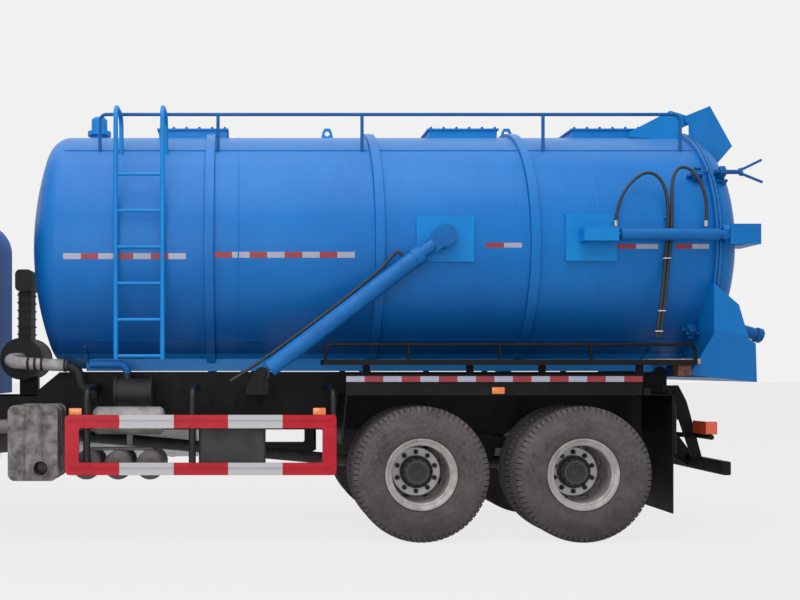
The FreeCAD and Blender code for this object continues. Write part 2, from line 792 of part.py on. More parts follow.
def tank_envelope(grow):
    """The tank's outer form with its dished front, grown by a clearance."""
    radius = TANK_RADIUS + grow
    barrel_front = TANK_FRONT_X
    barrel = tank_cylinder(radius, (barrel_front, TANK_REAR_X))
    return fused([barrel, dished_end(barrel_front, -1, FRONT_DISH_DEPTH + grow, radius)])


def tank_share_x(share):
    return TANK_FRONT_X + TANK_LENGTH * share


def seam_strip(angle, grow):
    """Long weld strip on the left of the tank, at an angle above its axis, grown by a clearance."""
    radians = math.radians(angle)
    outward = vec(0, -math.cos(radians), math.sin(radians))
    around = vec(0, math.sin(radians), math.cos(radians))
    centre = vec(TANK_FRONT_X, 0, TANK_AXIS_Z) + outward * (TANK_RADIUS - TANK_WALL / 2)
    half = around * (SEAM_WIDTH / 2 + grow)
    lift = outward * (SEAM_RISE + TANK_WALL / 2 + grow)
    face = face_from([centre - half, centre + half, centre + half + lift, centre - half + lift])
    return face.extrude(vec(TANK_LENGTH, 0, 0))


def tank_reliefs():
    """The tank's bands and weld strips grown by the seat gap, for what lies over them."""
    tools = []
    for share in HOOP_X_SHARES:
        x = tank_share_x(share)
        half = HOOP_WIDTH / 2 + SEAT_GAP
        tools.append(tank_cylinder(TANK_RADIUS + HOOP_RISE + SEAT_GAP, (x - half, x + half)))
    for angle in SEAM_LEFT_ANGLES:
        tools += both_sides(seam_strip(angle, SEAT_GAP))
    return tools


def seated_on_tank(shape):
    """Cut a fitting back so that it sits on the tank's skin."""
    shape = shape.cut(tank_cylinder(TANK_RADIUS + SEAT_GAP, (TANK_FRONT_X, TANK_REAR_X)))
    for tool in tank_reliefs():
        if shape.BoundBox.intersect(tool.BoundBox):
            shape = shape.cut(tool)
    return shape


# Wheels

def tyre(centre_y, x):
    """One tyre: beads, bulging walls and a flat tread, spun about its axle."""
    half_bead = RIM_HALF_WIDTH - RIM_FLANGE_THICKNESS - SEAT_GAP
    half_section = TYRE_SECTION / 2
    half_tread = TYRE_TREAD_WIDTH / 2
    lip = TYRE_LIP_RADIUS
    shoulder = TYRE_RADIUS - TYRE_SHOULDER_DROP
    edge = TYRE_RADIUS - TYRE_CROWN_DROP
    seat = BEAD_SEAT_RADIUS + SEAT_GAP
    flank = (TYRE_BULGE_RADIUS + shoulder) / 2
    crown = (half_section + half_tread) / 2
    half = [
        (half_bead, seat),
        (half_bead, lip),
        (half_section, TYRE_BULGE_RADIUS),
        (crown + (half_section - crown) / 2, flank),
        (crown, shoulder),
        (half_tread, edge),
    ]
    outline = half + [(0, TYRE_RADIUS)] + [(-along, radius) for along, radius in reversed(half)]
    return spun(outline, vec(x, centre_y, TYRE_RADIUS), ALONG_Y, ALONG_Z)


def rim_profile():
    """Half section of one rim: mounting disc, barrel and both flanges."""
    inner_edge = RIM_OFFSET - RIM_HALF_WIDTH
    outer_edge = RIM_OFFSET + RIM_HALF_WIDTH
    barrel = BEAD_SEAT_RADIUS - RIM_BARREL_THICKNESS
    flange = RIM_FLANGE_THICKNESS
    disc = DISC_THICKNESS
    return [
        (0, DISC_BORE_RADIUS - disc),
        (0, DISC_FLAT_RADIUS + disc / 2),
        (inner_edge - 2 * disc, BEAD_SEAT_RADIUS - 2 * disc),
        (inner_edge, BEAD_SEAT_RADIUS - disc / 2),
        (inner_edge, RIM_FLANGE_RADIUS),
        (inner_edge + flange, RIM_FLANGE_RADIUS),
        (inner_edge + flange, BEAD_SEAT_RADIUS),
        (outer_edge - flange, BEAD_SEAT_RADIUS),
        (outer_edge - flange, RIM_FLANGE_RADIUS),
        (outer_edge, RIM_FLANGE_RADIUS),
        (outer_edge, RIM_FLANGE_RADIUS - flange),
        (outer_edge - 2 * flange, barrel),
        (inner_edge + 2 * disc, barrel),
        (disc, DISC_FLAT_RADIUS),
        (disc, DISC_BORE_RADIUS - disc),
    ]


def hand_hole_cutters(x, plane_y, reach):
    """Oval openings round the disc, as straight cutters along the axle."""
    cutters = []
    half_straight = (HAND_HOLE_LENGTH - HAND_HOLE_HEIGHT) / 2
    for number in range(HAND_HOLES):
        angle = 2 * math.pi * (number + 0.5) / HAND_HOLES
        outward = vec(math.cos(angle), 0, math.sin(angle))
        around = vec(-math.sin(angle), 0, math.cos(angle))
        middle = vec(x, plane_y - reach, TYRE_RADIUS) + outward * HAND_HOLE_CIRCLE_RADIUS
        first, last = middle - around * half_straight, middle + around * half_straight
        rise = outward * (HAND_HOLE_HEIGHT / 2)
        tip = around * (HAND_HOLE_HEIGHT / 2)
        edges = [
            Part.LineSegment(first + rise, last + rise).toShape(),
            Part.Arc(last + rise, last + tip, last - rise).toShape(),
            Part.LineSegment(last - rise, first - rise).toShape(),
            Part.Arc(first - rise, first - tip, first + rise).toShape(),
        ]
        cutters.append(Part.Face(Part.Wire(edges)).extrude(vec(0, 2 * reach, 0)))
    return cutters


def hub_profile(drum_length):
    """Half section of the hub with its cap, brake drum and blind spindle bore."""
    bore = SPINDLE_RADIUS + PIN_CLEARANCE
    return [
        (-HUB_BACK_REACH, bore),
        (SPINDLE_DEPTH + MOVING_GAP, bore),
        (SPINDLE_DEPTH + MOVING_GAP, 0),
        (HUB_CAP_REACH, 0),
        (HUB_CAP_REACH, HUB_CAP_RADIUS),
        (HUB_STEP_REACH, HUB_CAP_RADIUS),
        (HUB_STEP_REACH, HUB_STEP_RADIUS),
        (HUB_BODY_REACH, HUB_STEP_RADIUS),
        (HUB_BODY_REACH, DISC_BORE_RADIUS),
        (-DISC_THICKNESS, DISC_BORE_RADIUS),
        (-DISC_THICKNESS, DRUM_RADIUS),
        (-DISC_THICKNESS - drum_length, DRUM_RADIUS),
        (-DISC_THICKNESS - drum_length, DRUM_RADIUS - DRUM_WALL),
        (-DISC_THICKNESS - DRUM_WEB, DRUM_RADIUS - DRUM_WALL),
        (-DISC_THICKNESS - DRUM_WEB, HUB_STEP_RADIUS),
        (-HUB_BACK_REACH, HUB_STEP_RADIUS),
    ]


def rear_rims(x):
    """Twin rims bolted disc to disc, with the hub and brake drum, on the left side."""
    centre = vec(x, -REAR_HUB_Y, TYRE_RADIUS)
    outward = vec(0, -1, 0)
    outer = spun(rim_profile(), centre, outward, ALONG_Z)
    inner = spun(rim_profile(), centre, ALONG_Y, ALONG_Z)
    hub = spun(hub_profile(DRUM_LENGTH), centre, outward, ALONG_Z)
    body = fused([outer, inner, hub])
    return body.cut(Part.makeCompound(hand_hole_cutters(x, -REAR_HUB_Y, RIM_OFFSET / 2)))


def front_rim(x):
    """The single front rim, dished outwards, with hub and brake drum, on the left side."""
    centre = vec(x, -FRONT_HUB_Y, TYRE_RADIUS)
    rim = spun(rim_profile(), centre, ALONG_Y, ALONG_Z)
    hub = spun(hub_profile(FRONT_DRUM_LENGTH), centre, vec(0, -1, 0), ALONG_Z)
    body = fused([rim, hub])
    return body.cut(Part.makeCompound(hand_hole_cutters(x, -FRONT_HUB_Y, RIM_OFFSET / 2)))


def rear_tyres(x):
    outer = tyre(-REAR_HUB_Y - RIM_OFFSET, x)
    inner = tyre(-REAR_HUB_Y + RIM_OFFSET, x)
    return group([outer, inner])


def front_tyre(x):
    return tyre(-FRONT_HUB_Y + RIM_OFFSET, x)


# Steering

def kingpin_boss():
    """Axle end that the kingpin runs through, on the left side."""
    foot = vec(X_STEER, -KINGPIN_Y, TYRE_RADIUS - KINGPIN_BOSS_HEIGHT / 2)
    outer = Part.makeCylinder(KINGPIN_BOSS_RADIUS, KINGPIN_BOSS_HEIGHT, foot)
    return outer


def front_axle():
    """Dropped beam between the kingpins, with an I section and spring pads."""
    half_depth = BEAM_DEPTH / 2
    pad_low = BEAM_PAD_Z - BEAM_DEPTH
    boss_inner = KINGPIN_Y - KINGPIN_BOSS_RADIUS / 2
    top_right = [(BEAM_PAD_HALF, BEAM_PAD_Z), (boss_inner, TYRE_RADIUS + half_depth)]
    low_right = [(boss_inner, TYRE_RADIUS - half_depth), (BEAM_PAD_HALF + BEAM_DEPTH, pad_low)]
    outline = [(-y, z) for y, z in reversed(top_right)] + top_right
    outline += low_right + [(-y, z) for y, z in reversed(low_right)]
    x_range = (X_STEER - BEAM_WIDTH / 2, X_STEER + BEAM_WIDTH / 2)
    beam = cross_prism(outline, x_range)
    groove_depth = BEAM_WIDTH / 3
    lip = BEAM_DEPTH / 5
    channel = [
        (-BEAM_PAD_HALF, BEAM_PAD_Z - lip),
        (BEAM_PAD_HALF, BEAM_PAD_Z - lip),
        (BEAM_PAD_HALF, pad_low + lip),
        (-BEAM_PAD_HALF, pad_low + lip),
    ]
    front_groove = cross_prism(channel, (x_range[0] - OVERRUN, x_range[0] + groove_depth))
    rear_groove = cross_prism(channel, (x_range[1] - groove_depth, x_range[1] + OVERRUN))
    beam = fused([beam] + both_sides(kingpin_boss()))
    bore_foot = vec(X_STEER, -KINGPIN_Y, 0)
    bore = Part.makeCylinder(KINGPIN_RADIUS + PIN_CLEARANCE, 2 * TYRE_RADIUS, bore_foot)
    return beam.cut(Part.makeCompound([front_groove, rear_groove, bore, mirrored(bore)]))


def knuckle():
    """Left knuckle: forked ears on the kingpin, stub axle, backing plate, steering arm."""
    half_boss = KINGPIN_BOSS_HEIGHT / 2 + MOVING_GAP
    ear_half = KINGPIN_BOSS_RADIUS
    plate_face = KINGPIN_Y + KNUCKLE_SETOUT
    pieces = []
    for low in (TYRE_RADIUS + half_boss, TYRE_RADIUS - half_boss - KNUCKLE_EAR):
        foot = vec(X_STEER, -KINGPIN_Y, low)
        pieces.append(Part.makeCylinder(ear_half, KNUCKLE_EAR, foot))
        y_range = (-plate_face, -KINGPIN_Y)
        pieces.append(block((X_STEER - ear_half, X_STEER + ear_half), y_range, (low, low + KNUCKLE_EAR)))
    reach = half_boss + KNUCKLE_EAR
    z_range = (TYRE_RADIUS - reach, TYRE_RADIUS + reach)
    y_range = (-plate_face - KNUCKLE_PLATE, -plate_face)
    pieces.append(block((X_STEER - ear_half, X_STEER + ear_half), y_range, z_range))
    plate_end = -plate_face - KNUCKLE_PLATE
    drum_mouth = FRONT_HUB_Y - DISC_THICKNESS - FRONT_DRUM_LENGTH
    plate_radius = DRUM_RADIUS - DRUM_WALL - MOVING_GAP
    pieces.append(drum_along_y(X_STEER, TYRE_RADIUS, plate_radius, (plate_end, plate_end - 3 * BACKING_PLATE)))
    spindle_end = -FRONT_HUB_Y - SPINDLE_DEPTH
    pieces.append(drum_along_y(X_STEER, TYRE_RADIUS, SPINDLE_RADIUS, (spindle_end, plate_end)))
    pin_foot = vec(X_STEER, -KINGPIN_Y, TYRE_RADIUS - reach)
    pieces.append(Part.makeCylinder(KINGPIN_RADIUS, 2 * reach, pin_foot))
    arm_z = (STEER_ARM_Z, STEER_ARM_Z + STEER_ARM_THICKNESS)
    arm_x = (X_STEER, X_STEER + STEER_ARM_LENGTH)
    arm_half = STEER_ARM_WIDTH / 2
    pieces.append(block(arm_x, (-KINGPIN_Y - arm_half, -KINGPIN_Y + arm_half), arm_z))
    arm_end = vec(X_STEER + STEER_ARM_LENGTH, -KINGPIN_Y, STEER_ARM_Z)
    pieces.append(Part.makeCylinder(arm_half, STEER_ARM_THICKNESS, arm_end))
    return fused(pieces), arm_end


def tie_pin(arm_end):
    """Upright pin on the steering arm that the tie rod's eye turns on."""
    height = STEER_ARM_THICKNESS + MOVING_GAP + TIE_EYE_HEIGHT
    return Part.makeCylinder(TIE_PIN_RADIUS, height, arm_end)


def left_knuckle():
    body, arm_end = knuckle()
    return fused([body, tie_pin(arm_end)])


def right_knuckle():
    """The right knuckle's arm has no pin, because the tie rod's far end is left open."""
    body, arm_end = knuckle()
    return mirrored(body)


def tie_rod():
    """Rod between the steering arms, with an eye at each end."""
    x = X_STEER + STEER_ARM_LENGTH
    eye_low = STEER_ARM_Z + STEER_ARM_THICKNESS + MOVING_GAP
    rod_z = eye_low + TIE_EYE_HEIGHT / 2
    reach = KINGPIN_Y - TIE_EYE_RADIUS + OVERRUN / 2
    rod = bar(vec(x, -reach, rod_z), vec(x, reach, rod_z), TIE_ROD_RADIUS * 0.8)
    left_eye = Part.makeCylinder(TIE_EYE_RADIUS, TIE_EYE_HEIGHT, vec(x, -KINGPIN_Y, eye_low))
    right_low = STEER_ARM_Z + STEER_ARM_THICKNESS + SEAT_GAP
    right_height = TIE_EYE_HEIGHT + MOVING_GAP - SEAT_GAP
    right_eye = Part.makeCylinder(TIE_EYE_RADIUS, right_height, vec(x, KINGPIN_Y, right_low))
    bore_foot = vec(x, -KINGPIN_Y, eye_low - OVERRUN)
    bore_height = TIE_EYE_HEIGHT + 2 * OVERRUN
    bore = Part.makeCylinder(TIE_PIN_RADIUS + PIN_CLEARANCE, bore_height, bore_foot)
    return fused([rod, left_eye, right_eye]).cut(bore)


# Springs and drive axles

def leaf(x, y, low_z, half_length, sag, thickness):
    """One spring leaf: a shallow arc, its ends raised above its middle by sag."""

    def arc(z):
        ends = z + sag
        start, end = vec(x - half_length, y, ends), vec(x + half_length, y, ends)
        return start, end, Part.Arc(start, vec(x, y, z), end).toShape()

    low_start, low_end, low_arc = arc(low_z)
    top_start, top_end, top_arc = arc(low_z + thickness)
    edges = [
        low_arc,
        Part.LineSegment(low_end, top_end).toShape(),
        top_arc,
        Part.LineSegment(top_start, low_start).toShape(),
    ]
    face = Part.Face(Part.Wire(Part.__sortEdges__(edges)))
    return face.extrude(vec(0, SPRING_WIDTH, 0))


def front_spring(y):
    """Front leaf pack on the axle's pad, its ends in hangers under the rail."""
    pieces = []
    pack = FRONT_LEAVES * LEAF_THICKNESS
    for number in range(FRONT_LEAVES):
        share = 1 - number / (FRONT_LEAVES + 1)
        low = BEAM_PAD_Z + pack - (number + 1) * LEAF_THICKNESS
        sag = FRONT_SPRING_RISE * share * share
        pieces.append(leaf(X_STEER, y, low, FRONT_SPRING_HALF * share, sag, LEAF_THICKNESS))
    end_z = BEAM_PAD_Z + pack + FRONT_SPRING_RISE
    middle_y = y + SPRING_WIDTH / 2
    for side in (-1, 1):
        end_x = X_STEER + side * FRONT_SPRING_HALF
        hanger = side_prism(
            [
                (end_x - HANGER_LENGTH / 2, FRAME_BOTTOM_Z),
                (end_x + HANGER_LENGTH / 2, FRAME_BOTTOM_Z),
                (end_x + SPRING_EYE_RADIUS, end_z),
                (end_x - SPRING_EYE_RADIUS, end_z),
            ],
            (middle_y - HANGER_WIDTH / 2, middle_y + HANGER_WIDTH / 2),
        )
        y_range = (middle_y - HANGER_WIDTH / 2, middle_y + HANGER_WIDTH / 2)
        pieces.append(hanger)
        pieces.append(drum_along_y(end_x, end_z - LEAF_THICKNESS / 2, SPRING_EYE_RADIUS, y_range))
    return fused(pieces)


def rear_spring(y):
    """Rear leaf pack on the trunnion saddle, its ends on the two axles' seats."""
    pieces = []
    half = TANDEM_SPACING / 2 + AXLE_SEAT_LENGTH / 2
    for number in range(REAR_LEAVES):
        share = 1 - number / (REAR_LEAVES + 2)
        top = AXLE_SEAT_Z + REAR_SPRING_SAG + (number + 1) * LEAF_THICKNESS
        sag = -REAR_SPRING_SAG * share * share
        pieces.append(leaf(X_TANDEM, y, top - LEAF_THICKNESS, half * share, sag, LEAF_THICKNESS))
    pack_low = AXLE_SEAT_Z + REAR_SPRING_SAG
    pack_top = pack_low + REAR_LEAVES * LEAF_THICKNESS
    x_range = (X_TANDEM - SADDLE_THICKNESS, X_TANDEM + SADDLE_THICKNESS)
    y_range = (y, y + SPRING_WIDTH)
    top_clamp = block(x_range, y_range, (pack_top - LEAF_THICKNESS / 2, pack_top + LEAF_THICKNESS))
    return fused(pieces + [top_clamp])


def rear_spring_low(along):
    """Height of the lowest rear leaf's underside at a distance from the pack's middle."""
    half = TANDEM_SPACING / 2 + AXLE_SEAT_LENGTH / 2
    return AXLE_SEAT_Z + REAR_SPRING_SAG * (1 - (along / half)**2)


def trunnion():
    """Stub shafts and saddles under the rear springs, hung from the rails."""
    pack_low = rear_spring_low(SADDLE_LENGTH / 4)
    shaft_z = pack_low - SADDLE_THICKNESS - TRUNNION_RADIUS / 2
    reach = REAR_SPRING_Y + SPRING_WIDTH / 2
    hanger_inner = FRAME_HALF_WIDTH - RAIL_FLANGE
    shaft = bar(vec(X_TANDEM, -reach, shaft_z), vec(X_TANDEM, -hanger_inner, shaft_z), TRUNNION_RADIUS)
    half = SADDLE_LENGTH / 2
    saddle_y = (-REAR_SPRING_Y - SPRING_WIDTH / 2, -REAR_SPRING_Y + SPRING_WIDTH / 2)
    saddle = side_prism(
        [
            (X_TANDEM - half / 2, pack_low),
            (X_TANDEM + half / 2, pack_low),
            (X_TANDEM + half / 2, shaft_z),
            (X_TANDEM - half / 2, shaft_z),
        ],
        saddle_y,
    )
    hanger = side_prism(
        [
            (X_TANDEM - half, FRAME_BOTTOM_Z),
            (X_TANDEM + half, FRAME_BOTTOM_Z),
            (X_TANDEM + TRUNNION_RADIUS, shaft_z - TRUNNION_RADIUS),
            (X_TANDEM - TRUNNION_RADIUS, shaft_z - TRUNNION_RADIUS),
        ],
        (-FRAME_HALF_WIDTH, -hanger_inner),
    )
    return group(both_sides(fused([shaft, saddle, hanger])))


def drive_axle(x):
    """Driven axle: banjo, tapered nose, tubes, spring seats, brake plates and stubs."""
    z = TYRE_RADIUS
    drum_mouth = REAR_HUB_Y - DISC_THICKNESS - DRUM_LENGTH
    tube_end = REAR_HUB_Y - HUB_BACK_REACH - MOVING_GAP
    pieces = [bar(vec(x, -tube_end, z), vec(x, tube_end, z), AXLE_TUBE_RADIUS)]
    stub_end = REAR_HUB_Y + SPINDLE_DEPTH
    pieces.append(bar(vec(x, -stub_end, z), vec(x, stub_end, z), SPINDLE_RADIUS))
    half = BANJO_HALF_WIDTH
    banjo = spun(
        [(-half, 0), (-half, BANJO_RADIUS * BANJO_EDGE_SHARE), (-half / 2, BANJO_RADIUS), (half / 2, BANJO_RADIUS),
         (half, BANJO_RADIUS * BANJO_EDGE_SHARE), (half, 0)],
        vec(x, 0, z), ALONG_X, ALONG_Z)
    nose_start = vec(x - half, 0, z)
    nose = Part.makeCone(BANJO_NOSE_RADIUS, SHAFT_RADIUS, BANJO_NOSE_LENGTH, nose_start, vec(-1, 0, 0))
    pieces += [banjo, nose]
    seat_half = AXLE_SEAT_LENGTH / 2
    inner = REAR_SPRING_Y - SPRING_WIDTH / 2
    outer = REAR_SPRING_Y + SPRING_WIDTH / 2
    towards = 1 if x < X_TANDEM else -1
    inner_z = rear_spring_low(TANDEM_SPACING / 2 - seat_half) - SEAT_GAP
    seat = side_prism(
        [
            (x - towards * seat_half, z), (x + towards * seat_half, z), (x + towards * seat_half, inner_z),
            (x - towards * seat_half, AXLE_SEAT_Z - SEAT_GAP),
        ],
        (-outer, -inner))
    plate_radius = DRUM_RADIUS - DRUM_WALL - MOVING_GAP
    plate = drum_along_y(x, z, plate_radius, (-drum_mouth - 2 * BACKING_PLATE, -drum_mouth - BACKING_PLATE))
    return fused(pieces + both_sides(seat) + both_sides(plate))


def drive_axles():
    """Both driven axles, as separate solids."""
    return group([drive_axle(X_DRIVE_1), drive_axle(X_DRIVE_2)])


# Main frame

def channel_rail():
    """Left rail: a channel with its web outboard and its flanges turned in."""
    outer, inner = -FRAME_HALF_WIDTH, -FRAME_HALF_WIDTH + RAIL_FLANGE
    web = RAIL_WEB
    low, high = FRAME_BOTTOM_Z, FRAME_TOP_Z
    outline = [
        (outer, low), (inner, low), (inner, low + web), (outer + web, low + web),
        (outer + web, high - web), (inner, high - web), (inner, high), (outer, high),
    ]
    return cross_prism(outline, (X_FRONT + RAIL_FRONT_SETBACK, RAIL_TAIL_X))


def cross_member(x):
    """A pressed channel between the two rail webs."""
    web = RAIL_WEB
    low = FRAME_BOTTOM_Z + (FRAME_HEIGHT - CROSS_DEPTH) / 2
    high = low + CROSS_DEPTH
    x0, x1 = x, x + CROSS_WIDTH
    outline = [
        (x0, low), (x1, low), (x1, low + web), (x0 + web, low + web),
        (x0 + web, high - web), (x1, high - web), (x1, high), (x0, high),
    ]
    half = FRAME_HALF_WIDTH - web
    return side_prism(outline, (-half, half))


def subframe_beam():
    """Left box beam of the tank's sub-frame, open at its ends."""
    y_range = (-FRAME_HALF_WIDTH, -FRAME_HALF_WIDTH + SUBFRAME_WIDTH)
    x_range = (SUBFRAME_FRONT_X, RAIL_TAIL_X)
    outer = block(x_range, y_range, (FRAME_TOP_Z, SUBFRAME_TOP_Z))
    wall = SUBFRAME_WALL
    inner = block(
        (x_range[0] - OVERRUN, x_range[1] + OVERRUN),
        (y_range[0] + wall, y_range[1] - wall),
        (FRAME_TOP_Z + wall, SUBFRAME_TOP_Z - wall),
    )
    slope = side_prism(
        [
            (SUBFRAME_FRONT_X - OVERRUN, SUBFRAME_TOP_Z + OVERRUN),
            (SUBFRAME_FRONT_X + SUBFRAME_HEIGHT, SUBFRAME_TOP_Z + OVERRUN),
            (SUBFRAME_FRONT_X - OVERRUN, FRAME_TOP_Z + SUBFRAME_WIDTH / 2),
        ],
        (y_range[0] - OVERRUN, y_range[1] + OVERRUN),
    )
    return outer.cut(inner).cut(slope)


def lift_bracket():
    """Left outrigger for the lift cylinder: arm, two cheeks and the lower pin."""
    outer = CYLINDER_Y + LIFT_EYE_WIDTH / 2 + MOVING_GAP + CHEEK_THICKNESS
    inner = CYLINDER_Y - LIFT_EYE_WIDTH / 2 - MOVING_GAP - CHEEK_THICKNESS
    arm_x = (BRACKET_ARM_FRONT_X, BRACKET_ARM_REAR_X)
    arm_z = (BRACKET_ARM_BOTTOM_Z, BRACKET_ARM_TOP_Z)
    arm = block(arm_x, (-outer, -FRAME_HALF_WIDTH), arm_z)
    pieces = [arm]
    cheek = [
        (arm_x[0], arm_z[0]), (arm_x[1], arm_z[0]), (arm_x[1], arm_z[1]),
        (LIFT_FOOT_X + CHEEK_NOSE_RADIUS, LIFT_FOOT_Z + CHEEK_NOSE_RADIUS),
        (LIFT_FOOT_X, CHEEK_TOP_Z),
        (LIFT_FOOT_X - CHEEK_NOSE_RADIUS, LIFT_FOOT_Z + CHEEK_NOSE_RADIUS),
        (arm_x[0], arm_z[1]),
    ]
    for y in (outer, inner + CHEEK_THICKNESS):
        pieces.append(side_prism(cheek, (-y, -y + CHEEK_THICKNESS)))
    pieces.append(drum_along_y(LIFT_FOOT_X, LIFT_FOOT_Z, LIFT_PIN_RADIUS, (-outer - LIFT_PIN_HEAD, -inner + LIFT_PIN_HEAD)))
    return fused(pieces)


def tank_pivot_ears():
    """Ears on the sub-frame's tail that hold the tank's tilting pin, on the left."""
    ears = []
    for y in (-FRAME_HALF_WIDTH, -FRAME_HALF_WIDTH + SUBFRAME_WIDTH - PIVOT_EAR):
        foot = vec(TANK_PIVOT_X, 0, SUBFRAME_TOP_Z - PIVOT_BOSS_RADIUS)
        top = vec(TANK_PIVOT_X, 0, TANK_PIVOT_Z)
        ears.append(round_end_link(foot, top, PIVOT_BOSS_RADIUS * 0.8, (y, y + PIVOT_EAR)))
    return ears


def pivot_notch():
    """Room in the sub-frame beam for the tank's pivot boss."""
    low = -FRAME_HALF_WIDTH + PIVOT_EAR
    high = -FRAME_HALF_WIDTH + SUBFRAME_WIDTH - PIVOT_EAR
    return drum_along_y(TANK_PIVOT_X, TANK_PIVOT_Z, PIVOT_BOSS_RADIUS + MOVING_GAP, (low, high))


def cab_pivot_brackets():
    """Brackets on the rails' front ends for the cab's tilting pins, on the left."""
    inner = CAB_PIVOT_Y - CAB_PIVOT_EAR / 2
    outer = CAB_PIVOT_Y + CAB_PIVOT_EAR / 2
    rail_front = X_FRONT + RAIL_FRONT_SETBACK
    plate = side_prism(
        [
            (rail_front + CROSS_WIDTH, FRAME_BOTTOM_Z),
            (rail_front + CROSS_WIDTH, FRAME_TOP_Z - CROSS_WIDTH),
            (CAB_PIVOT_X, CAB_PIVOT_Z + CAB_PIVOT_BOSS),
            (CAB_PIVOT_X - CAB_PIVOT_BOSS, CAB_PIVOT_Z),
            (CAB_PIVOT_X - CAB_PIVOT_BOSS / 2, CAB_PIVOT_Z - CAB_PIVOT_BOSS),
            (rail_front, FRAME_BOTTOM_Z),
        ],
        (-outer, -inner),
    )
    bore = drum_along_y(CAB_PIVOT_X, CAB_PIVOT_Z, CAB_PIVOT_RADIUS + PIN_CLEARANCE, (-outer - OVERRUN, -inner + OVERRUN))
    return plate.cut(bore)


def cab_rest():
    """Upright at the cab's rear that the cab floor rests on, left side."""
    x_range = (CAB_REAR_X - CROSS_WIDTH - CAB_WALL, CAB_REAR_X - CAB_WALL)
    y_range = (-FRAME_HALF_WIDTH, -FRAME_HALF_WIDTH + RAIL_FLANGE)
    return x_range, y_range


def frame():
    """Rails, cross members, sub-frame, lift outriggers and pivot ears in one weldment."""
    rail_front = X_FRONT + RAIL_FRONT_SETBACK
    span = RAIL_TAIL_X - CROSS_WIDTH - rail_front
    pieces = both_sides(channel_rail())
    for share in CROSS_SHARES:
        pieces.append(cross_member(rail_front + span * share))
    beam = subframe_beam().cut(pivot_notch())
    bore = drum_along_y(TANK_PIVOT_X, TANK_PIVOT_Z, TANK_PIVOT_RADIUS, (-FRAME_HALF_WIDTH, -FRAME_HALF_WIDTH + SUBFRAME_WIDTH))
    left = fused([beam] + tank_pivot_ears() + [bore])
    pieces += both_sides(left)
    pieces += both_sides(lift_bracket())
    pieces += both_sides(cab_pivot_brackets())
    return fused(pieces)


# Front bumper and lamps

def bumper():
    """Wrap-round steel bumper with rounded corners, a middle slot and towing eye block."""
    x_range = (X_FRONT, X_FRONT + BUMPER_DEPTH + BUMPER_CORNER)
    z_range = (BUMPER_BOTTOM_Z, BUMPER_TOP_Z)
    half = BUMPER_HALF_WIDTH
    outline = [
        (x_range[1], -half), (X_FRONT + BUMPER_CORNER, -half), (X_FRONT, -half + BUMPER_CORNER),
        (X_FRONT, half - BUMPER_CORNER), (X_FRONT + BUMPER_CORNER, half), (x_range[1], half),
        (x_range[1], half - BUMPER_WALL), (X_FRONT + BUMPER_CORNER + BUMPER_WALL / 2, half - BUMPER_WALL),
        (X_FRONT + BUMPER_WALL, half - BUMPER_CORNER - BUMPER_WALL / 2),
        (X_FRONT + BUMPER_WALL, -half + BUMPER_CORNER + BUMPER_WALL / 2),
        (X_FRONT + BUMPER_CORNER + BUMPER_WALL / 2, -half + BUMPER_WALL), (x_range[1], -half + BUMPER_WALL),
    ]
    shell = plan_prism(outline, z_range)
    slot = block(
        (X_FRONT - OVERRUN, X_FRONT + BUMPER_WALL + OVERRUN),
        (-BUMPER_SLOT_HALF_WIDTH, BUMPER_SLOT_HALF_WIDTH),
        (BUMPER_SLOT_BOTTOM_Z, BUMPER_SLOT_TOP_Z),
    )
    lamp_hole = block(
        (X_FRONT - OVERRUN, X_FRONT + BUMPER_WALL + OVERRUN),
        (-HEADLAMP_OUTER_Y + BUMPER_CORNER / 2, -HEADLAMP_INNER_Y),
        (HEADLAMP_BOTTOM_Z, HEADLAMP_TOP_Z),
    )
    shell = shell.cut(Part.makeCompound([slot] + both_sides(lamp_hole)))
    mount_x = (X_FRONT + BUMPER_WALL, X_FRONT + RAIL_FRONT_SETBACK)
    mount_y = (-FRAME_HALF_WIDTH, -FRAME_HALF_WIDTH + RAIL_FLANGE)
    beside_bracket = (mount_y[0], -CAB_PIVOT_Y - CAB_PIVOT_EAR / 2 - SEAT_GAP)
    mount = block(mount_x, beside_bracket, (FRAME_BOTTOM_Z, BUMPER_TOP_Z - BUMPER_WALL))
    tow_z = (TOW_HOLE_Z - TOW_BLOCK / 2, TOW_HOLE_Z + TOW_BLOCK / 2)
    tow = block((X_FRONT + BUMPER_WALL, X_FRONT + BUMPER_WALL + TOW_BLOCK), mount_y, tow_z)
    tow_bar = block((X_FRONT + BUMPER_WALL, X_FRONT + BUMPER_WALL + TOW_BLOCK / 3), mount_y, (tow_z[1], FRAME_BOTTOM_Z))
    body = fused([shell] + both_sides(mount) + both_sides(tow) + both_sides(tow_bar))
    hole_y = -FRAME_HALF_WIDTH + RAIL_FLANGE / 2
    hole = bar(
        vec(X_FRONT - OVERRUN, hole_y, TOW_HOLE_Z),
        vec(X_FRONT + BUMPER_WALL + TOW_BLOCK + OVERRUN, hole_y, TOW_HOLE_Z),
        TOW_HOLE_RADIUS,
    )
    return body.cut(Part.makeCompound(both_sides(hole)))


